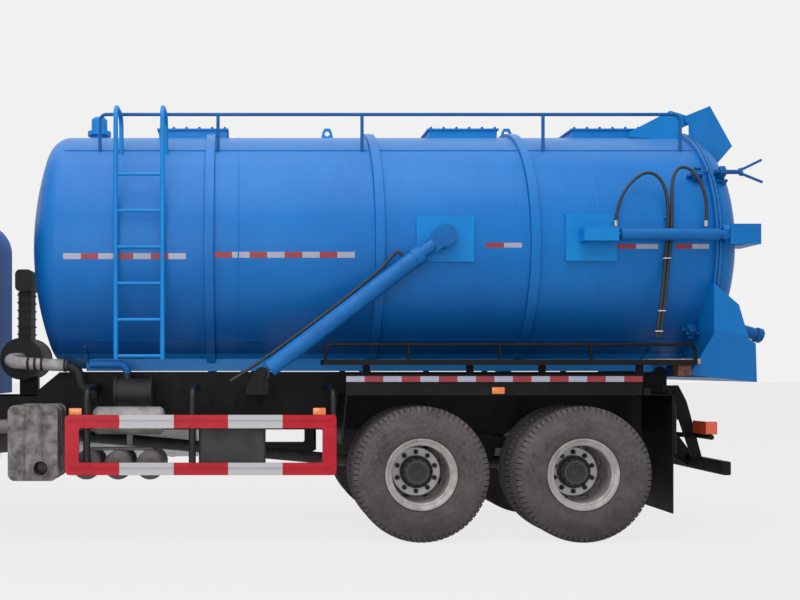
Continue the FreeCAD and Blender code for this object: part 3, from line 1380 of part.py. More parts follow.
def cab_step():
    """Left boarding steps: two treads between side plates behind the bumper."""
    x_range = (X_FRONT + BUMPER_DEPTH + BUMPER_CORNER, STEP_REAR_X)
    y_range = (-BUMPER_HALF_WIDTH, -STEP_INNER_Y)
    height = BUMPER_TOP_Z - BUMPER_BOTTOM_Z
    pieces = []
    for share in STEP_Z_SHARES:
        low = BUMPER_BOTTOM_Z + height * share
        pieces.append(block(x_range, y_range, (low, low + STEP_THICKNESS)))
    for x in (x_range[0], x_range[1] - STEP_SIDE):
        pieces.append(block((x, x + STEP_SIDE), y_range, (BUMPER_BOTTOM_Z, BUMPER_TOP_Z)))
    stay_z = BUMPER_TOP_Z - STEP_THICKNESS
    pieces.append(block((x_range[1] - STEP_SIDE, x_range[1]), (-STEP_INNER_Y, -FRAME_HALF_WIDTH), (stay_z - STEP_THICKNESS, stay_z)))
    return fused(pieces)


def steps():
    """Boarding steps on both sides."""
    return group(both_sides(cab_step()))


def headlamp():
    """Left headlamp behind its opening in the bumper."""
    gap = SEAT_GAP
    x_range = (X_FRONT + gap, X_FRONT + HEADLAMP_DEPTH)
    y_range = (-HEADLAMP_OUTER_Y + BUMPER_CORNER / 2 + gap, -HEADLAMP_INNER_Y - gap)
    return rounded_block(x_range, y_range, (HEADLAMP_BOTTOM_Z + gap, HEADLAMP_TOP_Z - gap), HEADLAMP_ROUND, ALONG_X)


def tail_lamp():
    """Left tail lamp box on its arm from the underrun hanger."""
    x_range = (TAIL_LAMP_X - TAIL_LAMP_LENGTH, TAIL_LAMP_X)
    half_width = TAIL_LAMP_WIDTH / 2
    y_range = (-TAIL_LAMP_Y - half_width, -TAIL_LAMP_Y + half_width)
    low = TAIL_ARM_Z + TAIL_ARM_RADIUS
    return rounded_block(x_range, y_range, (low, low + TAIL_LAMP_HEIGHT), TAIL_LAMP_ROUND, ALONG_X)


def lamps():
    """Headlamps and tail lamps."""
    return group(both_sides(headlamp()) + both_sides(tail_lamp()))


# Engine, gearbox and shafts

def driveline():
    """Engine block, gearbox and propeller shafts, one line of solids between the rails."""
    engine_x = (ENGINE_FRONT_X, ENGINE_FRONT_X + ENGINE_LENGTH)
    half = ENGINE_HALF_WIDTH
    engine = cross_prism(
        [
            (-half, ENGINE_BOTTOM_Z + SUMP_DEPTH), (-half / 2, ENGINE_BOTTOM_Z), (half / 2, ENGINE_BOTTOM_Z),
            (half, ENGINE_BOTTOM_Z + SUMP_DEPTH), (half, ENGINE_TOP_Z - SUMP_DEPTH),
            (half / 2, ENGINE_TOP_Z), (-half / 2, ENGINE_TOP_Z), (-half, ENGINE_TOP_Z - SUMP_DEPTH),
        ],
        engine_x,
    )
    pieces = [engine]
    mount_z = (FRAME_BOTTOM_Z + FRAME_HEIGHT / 3, FRAME_BOTTOM_Z + FRAME_HEIGHT / 3 + ENGINE_MOUNT_HEIGHT)
    web_inner = FRAME_HALF_WIDTH - RAIL_WEB
    for share in ENGINE_MOUNT_SHARES:
        x = engine_x[0] + (ENGINE_LENGTH - ENGINE_MOUNT_LENGTH) * share
        pieces.append(block((x, x + ENGINE_MOUNT_LENGTH), (-web_inner, web_inner), mount_z))
    box_start = vec(engine_x[1], 0, GEARBOX_Z)
    pieces.append(Part.makeCone(GEARBOX_RADIUS, GEARBOX_END_RADIUS, GEARBOX_LENGTH, box_start, ALONG_X))
    box_end = vec(engine_x[1] + GEARBOX_LENGTH, 0, GEARBOX_Z)
    nose_x = X_DRIVE_1 - BANJO_HALF_WIDTH - BANJO_NOSE_LENGTH - SEAT_GAP
    joint = vec(nose_x - SHAFT_RADIUS, 0, TYRE_RADIUS)
    pieces.append(bar(box_end - ALONG_X * OVERRUN, joint, SHAFT_RADIUS))
    pieces.append(bar(joint, vec(nose_x, 0, TYRE_RADIUS), SHAFT_RADIUS))
    pieces.append(Part.makeSphere(SHAFT_RADIUS, joint))
    between = bar(
        vec(X_DRIVE_1 + BANJO_HALF_WIDTH + SEAT_GAP, 0, TYRE_RADIUS),
        vec(X_DRIVE_2 - BANJO_HALF_WIDTH - BANJO_NOSE_LENGTH - SEAT_GAP, 0, TYRE_RADIUS),
        SHAFT_RADIUS,
    )
    return group([fused(pieces), between])


# Silencer, air tanks, battery box and fuel tank

def silencer():
    """Silencer box on the left with ribs, an open outlet and its exhaust pipe."""
    x_range = (SILENCER_FRONT_X, SILENCER_FRONT_X + SILENCER_LENGTH)
    y_range = (-SILENCER_OUTER_Y, -SILENCER_OUTER_Y + SILENCER_DEPTH)
    z_range = (SILENCER_BOTTOM_Z, SILENCER_TOP_Z)
    rib = SILENCER_RIB
    body = rounded_block(x_range, (y_range[0] + rib / 2, y_range[1] - rib / 2), z_range, SILENCER_CORNER, ALONG_Y)
    pieces = [body]
    for y in (y_range[0], (y_range[0] + y_range[1] - rib) / 2, y_range[1] - rib):
        band = rounded_block(
            (x_range[0] - rib / 2, x_range[1] + rib / 2), (y, y + rib), (z_range[0] - rib / 2, z_range[1] + rib / 2),
            SILENCER_CORNER, ALONG_Y)
        pieces.append(band)
    height = SILENCER_TOP_Z - SILENCER_BOTTOM_Z
    outlet_x = SILENCER_FRONT_X + SILENCER_LENGTH * SILENCER_OUTLET_X_SHARE
    outlet_z = SILENCER_BOTTOM_Z + height * SILENCER_OUTLET_Z_SHARE
    mouth = -SILENCER_OUTER_Y - SILENCER_OUTLET_REACH
    pieces.append(drum_along_y(outlet_x, outlet_z, SILENCER_OUTLET_RADIUS, (mouth, -SILENCER_OUTER_Y + SILENCER_CORNER)))
    pipe_z = SILENCER_TOP_Z - SILENCER_CORNER - EXHAUST_PIPE_RADIUS * 2
    pipe_y = -SILENCER_OUTER_Y + SILENCER_DEPTH / 2
    pieces.append(bar(
        vec(x_range[0] - EXHAUST_PIPE_LENGTH, pipe_y, pipe_z), vec(x_range[0] + OVERRUN, pipe_y, pipe_z),
        EXHAUST_PIPE_RADIUS))
    shelf_z = (FRAME_BOTTOM_Z + BRACKET_PLATE, FRAME_BOTTOM_Z + 6 * BRACKET_PLATE)
    middle = (x_range[0] + x_range[1]) / 2
    pieces.append(block((middle - rib, middle + rib), (y_range[1] - rib, -FRAME_HALF_WIDTH), shelf_z))
    bore = drum_along_y(
        outlet_x, outlet_z, SILENCER_OUTLET_RADIUS - SILENCER_OUTLET_WALL,
        (mouth - OVERRUN, -SILENCER_OUTER_Y + SILENCER_DEPTH / 3))
    return fused(pieces).cut(bore)


def domed_tank(start, axis, side, length, radius):
    """A small pressure tank with shallow domed ends."""
    dish = RESERVOIR_DISH
    outline = [
        (0, 0), (0, radius * 0.5), (dish * 0.4, radius * 0.85), (dish, radius),
        (length - dish, radius), (length - dish * 0.4, radius * 0.85), (length, radius * 0.5), (length, 0),
    ]
    return spun(outline, start, axis, side)


def air_reservoirs():
    """Air tanks behind the side guard: one lying along the truck and three across it."""
    long_tank = domed_tank(vec(RESERVOIR_X, -RESERVOIR_Y, RESERVOIR_Z), ALONG_X, ALONG_Z, RESERVOIR_LENGTH, RESERVOIR_RADIUS)
    plate = BRACKET_PLATE
    middle = RESERVOIR_X + RESERVOIR_LENGTH / 2
    long_stay = block(
        (middle - plate, middle + plate), (-RESERVOIR_Y, -FRAME_HALF_WIDTH),
        (RESERVOIR_Z - RESERVOIR_RADIUS / 2, RESERVOIR_Z + RESERVOIR_RADIUS / 2))
    pieces = [long_tank, long_stay]
    for number in range(SMALL_TANKS):
        x = SMALL_TANK_X + SMALL_TANK_PITCH * number
        start = vec(x, -SMALL_TANK_OUTER_Y, SMALL_TANK_Z)
        pieces.append(domed_tank(start, ALONG_Y, ALONG_Z, SMALL_TANK_LENGTH, SMALL_TANK_RADIUS))
    rack_x = (SMALL_TANK_X - plate, SMALL_TANK_X + SMALL_TANK_PITCH * (SMALL_TANKS - 1) + plate)
    rack_y = -SMALL_TANK_OUTER_Y + SMALL_TANK_LENGTH / 2
    rack_z = (SMALL_TANK_Z + SMALL_TANK_RADIUS - plate, SMALL_TANK_Z + SMALL_TANK_RADIUS + plate)
    pieces.append(block(rack_x, (rack_y - 4 * plate, rack_y + 4 * plate), rack_z))
    drop_z = (rack_z[1] - plate, RESERVOIR_Z)
    pieces.append(block((middle - 2 * plate, middle + 2 * plate), (rack_y - 3 * plate, rack_y), drop_z))
    return fused(pieces)


def battery_box():
    """Battery box on the left, its lid overhanging, on two brackets from the rail."""
    x_range = (BATTERY_FRONT_X, BATTERY_FRONT_X + BATTERY_LENGTH)
    y_range = (-BATTERY_OUTER_Y, -BATTERY_OUTER_Y + BATTERY_DEPTH)
    top = BATTERY_BOTTOM_Z + BATTERY_HEIGHT
    body = rounded_block(x_range, y_range, (BATTERY_BOTTOM_Z, top - BATTERY_LID), BATTERY_CORNER, ALONG_Z)
    rim = BRACKET_PLATE
    lid = rounded_block(
        (x_range[0] - rim, x_range[1] + rim), (y_range[0] - rim, y_range[1] + rim), (top - BATTERY_LID, top),
        BATTERY_CORNER, ALONG_Z)
    pieces = [body, lid]
    for x in (x_range[0] + BATTERY_CORNER, x_range[1] - BATTERY_CORNER - 2 * rim):
        pieces.append(block((x, x + 2 * rim), (y_range[1], -FRAME_HALF_WIDTH), (FRAME_BOTTOM_Z + rim, top - BATTERY_LID)))
    return fused(pieces)


def fuel_tank():
    """Fuel tank on the right with rounded edges, straps and brackets."""
    x_range = (FUEL_FRONT_X, FUEL_FRONT_X + FUEL_LENGTH)
    y_range = (FUEL_INNER_Y, FUEL_INNER_Y + FUEL_WIDTH)
    z_range = (FUEL_BOTTOM_Z, FUEL_BOTTOM_Z + FUEL_HEIGHT)
    pieces = [rounded_block(x_range, y_range, z_range, FUEL_CORNER, ALONG_X)]
    thick = STRAP_THICKNESS
    for share in STRAP_SHARES:
        x = x_range[0] + (FUEL_LENGTH - STRAP_WIDTH) * share
        pieces.append(rounded_block(
            (x, x + STRAP_WIDTH), (y_range[0] - thick, y_range[1] + thick), (z_range[0] - thick, z_range[1] + thick),
            FUEL_CORNER, ALONG_X))
        bracket_z = (FRAME_BOTTOM_Z + BRACKET_PLATE, FRAME_TOP_Z - FUEL_CORNER)
        pieces.append(block((x, x + STRAP_WIDTH), (FRAME_HALF_WIDTH, y_range[0]), bracket_z))
    neck_x = x_range[0] + FUEL_CORNER
    neck_y = y_range[1] - FUEL_CORNER * 1.5
    neck = bar(vec(neck_x, neck_y, z_range[1] - OVERRUN), vec(neck_x, neck_y, z_range[1] + FUEL_CORNER / 3), FUEL_CORNER / 3)
    pieces.append(neck)
    return fused(pieces)


# Air intake and vacuum pump behind the cab

def air_intake():
    """Air intake: capped snorkel with a ribbed duct, on the round filter housing."""
    half_length = INTAKE_CAP_LENGTH / 2
    half_width = INTAKE_CAP_WIDTH / 2
    cap = rounded_block(
        (INTAKE_X - half_length, INTAKE_X + half_length), (INTAKE_Y - half_width, INTAKE_Y + half_width),
        (INTAKE_CAP_BOTTOM_Z, INTAKE_CAP_TOP_Z), MARKER_HEIGHT, ALONG_Y)
    pieces = [cap]
    duct_x = (INTAKE_X - INTAKE_DUCT_LENGTH / 2, INTAKE_X + INTAKE_DUCT_LENGTH / 2)
    duct_y = (INTAKE_Y - INTAKE_DUCT_WIDTH / 2, INTAKE_Y + INTAKE_DUCT_WIDTH / 2)
    duct_z = (FILTER_Z, INTAKE_CAP_BOTTOM_Z)
    pieces.append(block(duct_x, duct_y, duct_z))
    rib = INTAKE_RIB
    clear = FILTER_Z + FILTER_RADIUS
    for number in range(INTAKE_RIBS):
        low = clear + (INTAKE_CAP_BOTTOM_Z - clear) * (number + 0.5) / INTAKE_RIBS
        pieces.append(block(
            (duct_x[0] - rib, duct_x[1] + rib), (duct_y[0] - rib, duct_y[1] + rib), (low, low + 2 * rib)))
    filter_y = (INTAKE_Y - FILTER_LENGTH / 2, INTAKE_Y + FILTER_LENGTH / 2)
    pieces.append(drum_along_y(INTAKE_X, FILTER_Z, FILTER_RADIUS, filter_y))
    for y in (filter_y[0], filter_y[1] - 2 * rib):
        pieces.append(drum_along_y(INTAKE_X, FILTER_Z, FILTER_RADIUS + rib, (y, y + 2 * rib)))
    foot_x = (INTAKE_X - FILTER_FOOT, INTAKE_X + FILTER_FOOT)
    foot_y = (FRAME_HALF_WIDTH - RAIL_FLANGE, FRAME_HALF_WIDTH)
    pieces.append(block(foot_x, foot_y, (FRAME_TOP_Z, FILTER_Z)))
    return fused(pieces)


def vacuum_pump():
    """Vacuum pump beside the sub-frame, left, with end flanges, ports and its foot."""
    x_range = (PUMP_X, PUMP_X + PUMP_LENGTH)
    flange = PUMP_FLANGE
    outline = [
        (0, 0), (0, PUMP_RADIUS + flange), (flange, PUMP_RADIUS + flange), (flange, PUMP_RADIUS),
        (PUMP_LENGTH - flange, PUMP_RADIUS), (PUMP_LENGTH - flange, PUMP_RADIUS + flange),
        (PUMP_LENGTH, PUMP_RADIUS + flange), (PUMP_LENGTH, 0),
    ]
    body = spun(outline, vec(PUMP_X, PUMP_Y, PUMP_Z), ALONG_X, ALONG_Z)
    middle = (x_range[0] + x_range[1]) / 2
    foot = block(
        (middle - 2 * flange, middle + 2 * flange), (PUMP_Y, -FRAME_HALF_WIDTH),
        (PUMP_Z - PUMP_RADIUS / 2, PUMP_Z + PUMP_RADIUS / 2))
    low = vec(middle - 3 * flange, PUMP_Y, PUMP_Z)
    elbow = vec(middle - 3 * flange, PUMP_Y, PUMP_Z + 2 * PUMP_RADIUS)
    out = vec(middle - 3 * flange - PUMP_LENGTH, PUMP_Y, PUMP_Z + 2 * PUMP_RADIUS)
    pipe = bent_tube([low, elbow, out], PUMP_PIPE_RADIUS, 2 * PUMP_PIPE_RADIUS)
    return fused([body, foot, pipe])


# Side guards and mudguards

def side_guard():
    """Left side guard: beaded top and bottom bars, end bars and three hanger tubes."""
    x_range = (SIDE_GUARD_FRONT_X, SIDE_GUARD_REAR_X)
    face = -BODY_HALF_WIDTH
    y_range = (face, face + SIDE_GUARD_THICKNESS)
    outer = rounded_block(x_range, y_range, (SIDE_GUARD_BOTTOM_Z, SIDE_GUARD_TOP_Z), SIDE_GUARD_CORNER, ALONG_Y)
    hole = rounded_block(
        (x_range[0] + SIDE_GUARD_END_BAR, x_range[1] - SIDE_GUARD_END_BAR),
        (y_range[0] - OVERRUN, y_range[1] + OVERRUN),
        (SIDE_GUARD_BOTTOM_Z + SIDE_GUARD_LOW_BAR, SIDE_GUARD_TOP_Z - SIDE_GUARD_TOP_BAR),
        SIDE_GUARD_CORNER / 2, ALONG_Y)
    panel = outer.cut(hole)
    bead = SIDE_GUARD_BEAD
    for low, high in (
        (SIDE_GUARD_BOTTOM_Z, SIDE_GUARD_BOTTOM_Z + SIDE_GUARD_LOW_BAR),
        (SIDE_GUARD_TOP_Z - SIDE_GUARD_TOP_BAR, SIDE_GUARD_TOP_Z),
    ):
        middle = (low + high) / 2
        groove = block(
            (x_range[0] + SIDE_GUARD_CORNER, x_range[1] - SIDE_GUARD_CORNER),
            (face - OVERRUN, face + SIDE_GUARD_BEAD_DEPTH), (middle - bead / 2, middle + bead / 2))
        panel = panel.cut(groove)
    pieces = [panel]
    length = x_range[1] - x_range[0]
    for share in HANGER_SHARES:
        x = x_range[0] + length * share
        tube_y = face + SIDE_GUARD_THICKNESS + HANGER_TUBE - SIDE_GUARD_BEAD_DEPTH
        points = [
            vec(x, tube_y, SIDE_GUARD_BOTTOM_Z + OVERRUN),
            vec(x, tube_y, HANGER_TOP_Z),
            vec(x, -FRAME_HALF_WIDTH, HANGER_TOP_Z),
        ]
        pieces.append(bent_tube(points, HANGER_TUBE, HANGER_BEND))
    return fused(pieces)


def side_guards():
    """Side guards on both sides, each hung from the sub-frame."""
    return group(both_sides(side_guard()))


def mudguard():
    """Left mudguard over the tandem: top sheet, side skirt, sloped front, flap bracket."""
    sheet = GUARD_SHEET
    outer = -BODY_HALF_WIDTH + BOARD_THICKNESS
    top_x = (GUARD_SKIRT_FRONT_X, GUARD_REAR_X)
    top = block(top_x, (outer, -GUARD_INNER_Y), (GUARD_TOP_Z, GUARD_TOP_Z + sheet))
    skirt = block((GUARD_SKIRT_FRONT_X, GUARD_SKIRT_REAR_X), (outer, outer + sheet), (GUARD_TOP_Z, GUARD_SIDE_TOP_Z))
    board = block(
        (GUARD_SKIRT_FRONT_X, GUARD_SKIRT_REAR_X), (outer - BOARD_THICKNESS, outer + sheet),
        (GUARD_SIDE_TOP_Z, BOARD_TOP_Z))
    slope_rise = GUARD_TOP_Z + sheet
    front = side_prism(
        [
            (GUARD_SKIRT_FRONT_X, slope_rise), (GUARD_SKIRT_FRONT_X + 2 * sheet, slope_rise),
            (GUARD_TOE_X + 2 * sheet, GUARD_TOE_Z), (GUARD_TOE_X, GUARD_TOE_Z),
        ],
        (outer, -GUARD_INNER_Y))
    pieces = [top, skirt, board, front]
    for share in TRAY_LEG_SHARES:
        x = GUARD_SKIRT_FRONT_X + (GUARD_REAR_X - GUARD_SKIRT_FRONT_X - TRAY_LEG_WIDTH) * share
        stay_z = (GUARD_TOP_Z + sheet, GUARD_TOP_Z + TRAY_LEG_WIDTH)
        pieces.append(block((x, x + TRAY_LEG_WIDTH), (outer, -FRAME_HALF_WIDTH), stay_z))
    return fused(pieces)


def mud_flap():
    """Left mud flap hung behind the last wheel, with its bent tube bracket."""
    outer = -BODY_HALF_WIDTH + BOARD_THICKNESS
    flap_x = (GUARD_REAR_X - FLAP_THICKNESS, GUARD_REAR_X)
    flap = block(flap_x, (outer, -GUARD_INNER_Y), (FLAP_BOTTOM_Z, GUARD_TOP_Z))
    tube_x = GUARD_REAR_X + FLAP_BRACKET_RADIUS - FLAP_THICKNESS / 2
    tube_y = outer + 2 * FLAP_BRACKET_RADIUS
    points = [
        vec(tube_x, tube_y, (FLAP_BOTTOM_Z + GUARD_TOP_Z) / 2),
        vec(tube_x, tube_y, FLAP_TOP_Z),
        vec(tube_x, -FRAME_HALF_WIDTH, FLAP_TOP_Z),
    ]
    tube = bent_tube(points, FLAP_BRACKET_RADIUS, FLAP_BRACKET_BEND)
    return fused([flap, tube])


def mudguards():
    """Mudguards on both sides."""
    return group(both_sides(mudguard()))


def mud_flaps():
    """Mud flaps on both sides."""
    return group(both_sides(mud_flap()))


def rear_underrun():
    """Rear underrun beam, its hangers from the frame's tail and the tail lamp arms."""
    x_range = (UNDERRUN_X - UNDERRUN_DEPTH, UNDERRUN_X)
    z_range = (UNDERRUN_BOTTOM_Z, UNDERRUN_BOTTOM_Z + UNDERRUN_HEIGHT)
    beam = rounded_block(x_range, (-UNDERRUN_HALF_WIDTH, UNDERRUN_HALF_WIDTH), z_range, TAIL_LAMP_ROUND, ALONG_Y)
    half = UNDERRUN_HANGER_WIDTH / 2
    hanger = side_prism(
        [
            (RAIL_TAIL_X - UNDERRUN_HANGER_LENGTH, UNDERRUN_HANGER_TOP_Z),
            (RAIL_TAIL_X, UNDERRUN_HANGER_TOP_Z),
            (x_range[1] - UNDERRUN_HANGER_PLATE, z_range[1]),
            (x_range[1] - UNDERRUN_HANGER_PLATE, z_range[0] + UNDERRUN_HANGER_PLATE),
            (x_range[0] + UNDERRUN_HANGER_PLATE, z_range[0] + UNDERRUN_HANGER_PLATE),
            (RAIL_TAIL_X - UNDERRUN_HANGER_LENGTH, FRAME_BOTTOM_Z - UNDERRUN_HEIGHT),
        ],
        (-FRAME_HALF_WIDTH - UNDERRUN_HANGER_PLATE, -FRAME_HALF_WIDTH))
    arm_x = TAIL_LAMP_X - TAIL_LAMP_LENGTH / 2
    knee_x = RAIL_TAIL_X - UNDERRUN_HANGER_LENGTH / 2
    points = [
        vec(knee_x, -FRAME_HALF_WIDTH, TAIL_ARM_Z),
        vec(knee_x, -FRAME_HALF_WIDTH - 2 * UNDERRUN_HANGER_WIDTH, TAIL_ARM_Z),
        vec(arm_x, -TAIL_LAMP_Y + TAIL_LAMP_WIDTH / 2, TAIL_ARM_Z),
        vec(arm_x, -TAIL_LAMP_Y - TAIL_LAMP_WIDTH / 2, TAIL_ARM_Z),
    ]
    arm = bent_tube(points, TAIL_ARM_RADIUS, 2 * TAIL_ARM_RADIUS)
    return fused([beam] + both_sides(hanger) + both_sides(arm))


# Cab

def screen_x(z):
    """The raked front face's place at a height."""
    rise = (z - CAB_SCREEN_FOOT_Z) / (CAB_ROOF_Z - CAB_SCREEN_FOOT_Z)
    return CAB_FRONT_X + CAB_SCREEN_RAKE * max(0, rise)


def cab_outer():
    """The cab's outer form: side profile with rounded roof ends and side edges."""
    half = CAB_HALF_WIDTH
    profile = [
        (CAB_FRONT_X, CAB_SKIRT_Z), (CAB_FRONT_X, CAB_SCREEN_FOOT_Z),
        (CAB_FRONT_X + CAB_SCREEN_RAKE, CAB_ROOF_Z), (CAB_REAR_X, CAB_ROOF_Z),
        (CAB_REAR_X, CAB_FLOOR_Z), (CAB_ARCH_FRONT_X, CAB_FLOOR_Z), (CAB_ARCH_FRONT_X, CAB_SKIRT_Z),
    ]
    body = side_prism(profile, (-half, half))
    top = CAB_ROOF_Z - CAB_WALL
    middle_x = (CAB_FRONT_X + CAB_REAR_X) / 2

    def rear_roof(edge):
        point = edge.CenterOfMass
        return runs_along(edge, ALONG_Y) and point.z > top and point.x > middle_x

    def front_roof(edge):
        point = edge.CenterOfMass
        return runs_along(edge, ALONG_Y) and point.z > top and point.x < middle_x

    def side_edges(edge):
        point = edge.CenterOfMass
        above = point.z > CAB_FLOOR_Z + CAB_WALL
        return abs(abs(point.y) - half) < OVERRUN and above

    body = rounded(body, CAB_REAR_ROUND, rear_roof)
    body = rounded(body, CAB_FRONT_ROUND, front_roof)
    return rounded(body, CAB_EDGE_ROUND, side_edges)


def cab_inner():
    """The cab's inner space, one wall thickness in from the outside."""
    wall = CAB_WALL
    half = CAB_HALF_WIDTH - wall
    floor = CAB_FLOOR_Z + wall
    profile = [
        (CAB_FRONT_X + wall, floor), (CAB_FRONT_X + wall, CAB_SCREEN_FOOT_Z),
        (CAB_FRONT_X + wall + CAB_SCREEN_RAKE, CAB_ROOF_Z - wall),
        (CAB_REAR_X - wall, CAB_ROOF_Z - wall), (CAB_REAR_X - wall, floor),
    ]
    space = side_prism(profile, (-half, half))
    top = CAB_ROOF_Z - 2 * wall
    middle_x = (CAB_FRONT_X + CAB_REAR_X) / 2

    def rear_roof(edge):
        point = edge.CenterOfMass
        return runs_along(edge, ALONG_Y) and point.z > top and point.x > middle_x

    return rounded(space, CAB_REAR_ROUND - wall, rear_roof)


def door_outline(inset):
    """The left door's outline in X and Z, set in from its opening."""
    front, rear = DOOR_FRONT_X, DOOR_FRONT_X + DOOR_LENGTH
    rake = screen_x(DOOR_HEAD_Z) - CAB_FRONT_X
    return [
        (front + inset, DOOR_SILL_Z + inset), (front + inset, CAB_SCREEN_FOOT_Z),
        (front + rake + inset, DOOR_HEAD_Z - inset), (rear - inset, DOOR_HEAD_Z - inset),
        (rear - inset, DOOR_SILL_Z + inset),
    ]


def door_window_outline(inset):
    """The left door's window, a margin in from the door's edge."""
    margin = DOOR_WINDOW_MARGIN + inset
    front, rear = DOOR_FRONT_X, DOOR_FRONT_X + DOOR_LENGTH
    low_rake = screen_x(DOOR_WINDOW_Z) - CAB_FRONT_X
    head = DOOR_HEAD_Z - margin
    head_rake = screen_x(head) - CAB_FRONT_X
    return [
        (front + low_rake + margin, DOOR_WINDOW_Z + inset), (front + head_rake + margin, head),
        (rear - margin, head), (rear - margin, DOOR_WINDOW_Z + inset),
    ]


def wall_y(overrun):
    """The left side wall's range across the truck."""
    return (-CAB_HALF_WIDTH - overrun, -CAB_HALF_WIDTH + CAB_WALL + overrun)


def window_prism(outline, y_range, radius):
    prism = side_prism(outline, y_range)
    return rounded(prism, radius, lambda edge: runs_along(edge, ALONG_Y))


def screen_prism(inset, thickness_range):
    """A slab in the windscreen's place, between two depths behind the front face."""
    low = CAB_SCREEN_FOOT_Z + SCREEN_MARGIN / 2 + inset
    high = CAB_ROOF_Z - CAB_FRONT_ROUND - SCREEN_MARGIN / 4 - inset
    near, far = thickness_range
    half = CAB_HALF_WIDTH - SCREEN_MARGIN - inset
    outline = [
        (screen_x(low) + near, low), (screen_x(low) + far, low),
        (screen_x(high) + far, high), (screen_x(high) + near, high),
    ]
    return side_prism(outline, (-half, half))


def rear_window_block(inset, x_range):
    half = REAR_WINDOW_HALF_WIDTH - inset
    z_range = (REAR_WINDOW_BOTTOM_Z + inset, REAR_WINDOW_TOP_Z - inset)
    return rounded_block(x_range, (-half, half), z_range, DOOR_WINDOW_ROUND, ALONG_X)


def hinge_axis():
    return DOOR_FRONT_X, -CAB_HALF_WIDTH - DOOR_HINGE_SETOUT


def door_hinge_feet():
    """Heights of the left door's two hinge barrels."""
    height = DOOR_HEAD_Z - DOOR_SILL_Z
    return [DOOR_SILL_Z + height * share for share in DOOR_HINGE_SHARES]


def pillar_hinges():
    """Fixed hinge halves on the left pillar, above and below each door barrel."""
    x, y = hinge_axis()
    pieces = []
    for foot in door_hinge_feet():
        for low in (foot - DOOR_HINGE_HEIGHT - SEAT_GAP, foot + DOOR_HINGE_HEIGHT + SEAT_GAP):
            pieces.append(Part.makeCylinder(DOOR_HINGE_RADIUS, DOOR_HINGE_HEIGHT, vec(x, y, low)))
            leaf_y = (-CAB_HALF_WIDTH - DOOR_LEAF_THICKNESS, -CAB_HALF_WIDTH)
            pieces.append(block((x - DOOR_LEAF_LENGTH, x), leaf_y, (low, low + DOOR_HINGE_HEIGHT)))
    return pieces


def cab_pivot_lugs():
    """Lug and tilting pin under the cab's front, left side."""
    inner = CAB_PIVOT_Y + CAB_PIVOT_EAR / 2 + MOVING_GAP
    outer = inner + CAB_PIVOT_EAR
    y_range = (-outer, -inner)
    top = vec(CAB_PIVOT_X, 0, CAB_FLOOR_Z)
    ear = round_end_link(vec(CAB_PIVOT_X, 0, CAB_PIVOT_Z), top, CAB_PIVOT_BOSS, y_range)
    pin = drum_along_y(CAB_PIVOT_X, CAB_PIVOT_Z, CAB_PIVOT_RADIUS, (-outer, -CAB_PIVOT_Y + CAB_PIVOT_EAR))
    return [ear, pin]


def cab_shell():
    """Hollow cab with its engine tunnel, door openings, windows, hinges and pivots."""
    wall = CAB_WALL
    tunnel = block((TUNNEL_FRONT_X, CAB_REAR_X), (-TUNNEL_HALF_WIDTH, TUNNEL_HALF_WIDTH), (CAB_FLOOR_Z, TUNNEL_TOP_Z))
    shell = cab_outer().cut(cab_inner().cut(tunnel))
    half_wall = wall / 2
    tunnel_space = block(
        (TUNNEL_FRONT_X + half_wall, CAB_REAR_X + OVERRUN),
        (-TUNNEL_HALF_WIDTH + half_wall, TUNNEL_HALF_WIDTH - half_wall),
        (CAB_FLOOR_Z - OVERRUN, TUNNEL_TOP_Z - half_wall))
    under = block(
        (CAB_FRONT_X + wall, CAB_ARCH_FRONT_X + OVERRUN),
        (-FRAME_HALF_WIDTH - wall, FRAME_HALF_WIDTH + wall), (CAB_SKIRT_Z - OVERRUN, CAB_FLOOR_Z))
    door = side_prism(door_outline(0), wall_y(OVERRUN))
    cuts = [tunnel_space, under] + both_sides(door)
    cuts.append(screen_prism(0, (-CAB_SCREEN_RAKE, 2 * CAB_SCREEN_RAKE)))
    cuts.append(rear_window_block(0, (CAB_REAR_X - wall - OVERRUN, CAB_REAR_X + OVERRUN)))
    shell = shell.cut(Part.makeCompound(cuts))
    added = []
    for piece in pillar_hinges() + cab_pivot_lugs():
        added += both_sides(piece)
    return fused([shell] + added)


def cab_glass():
    """Windscreen and rear window panes."""
    middle = CAB_WALL / 2
    screen = screen_prism(SEAT_GAP, (middle - SCREEN_GLASS / 2, middle + SCREEN_GLASS / 2))
    rear_x = CAB_REAR_X - middle
    rear = rear_window_block(SEAT_GAP, (rear_x - SCREEN_GLASS / 2, rear_x + SCREEN_GLASS / 2))
    return group([screen, rear])


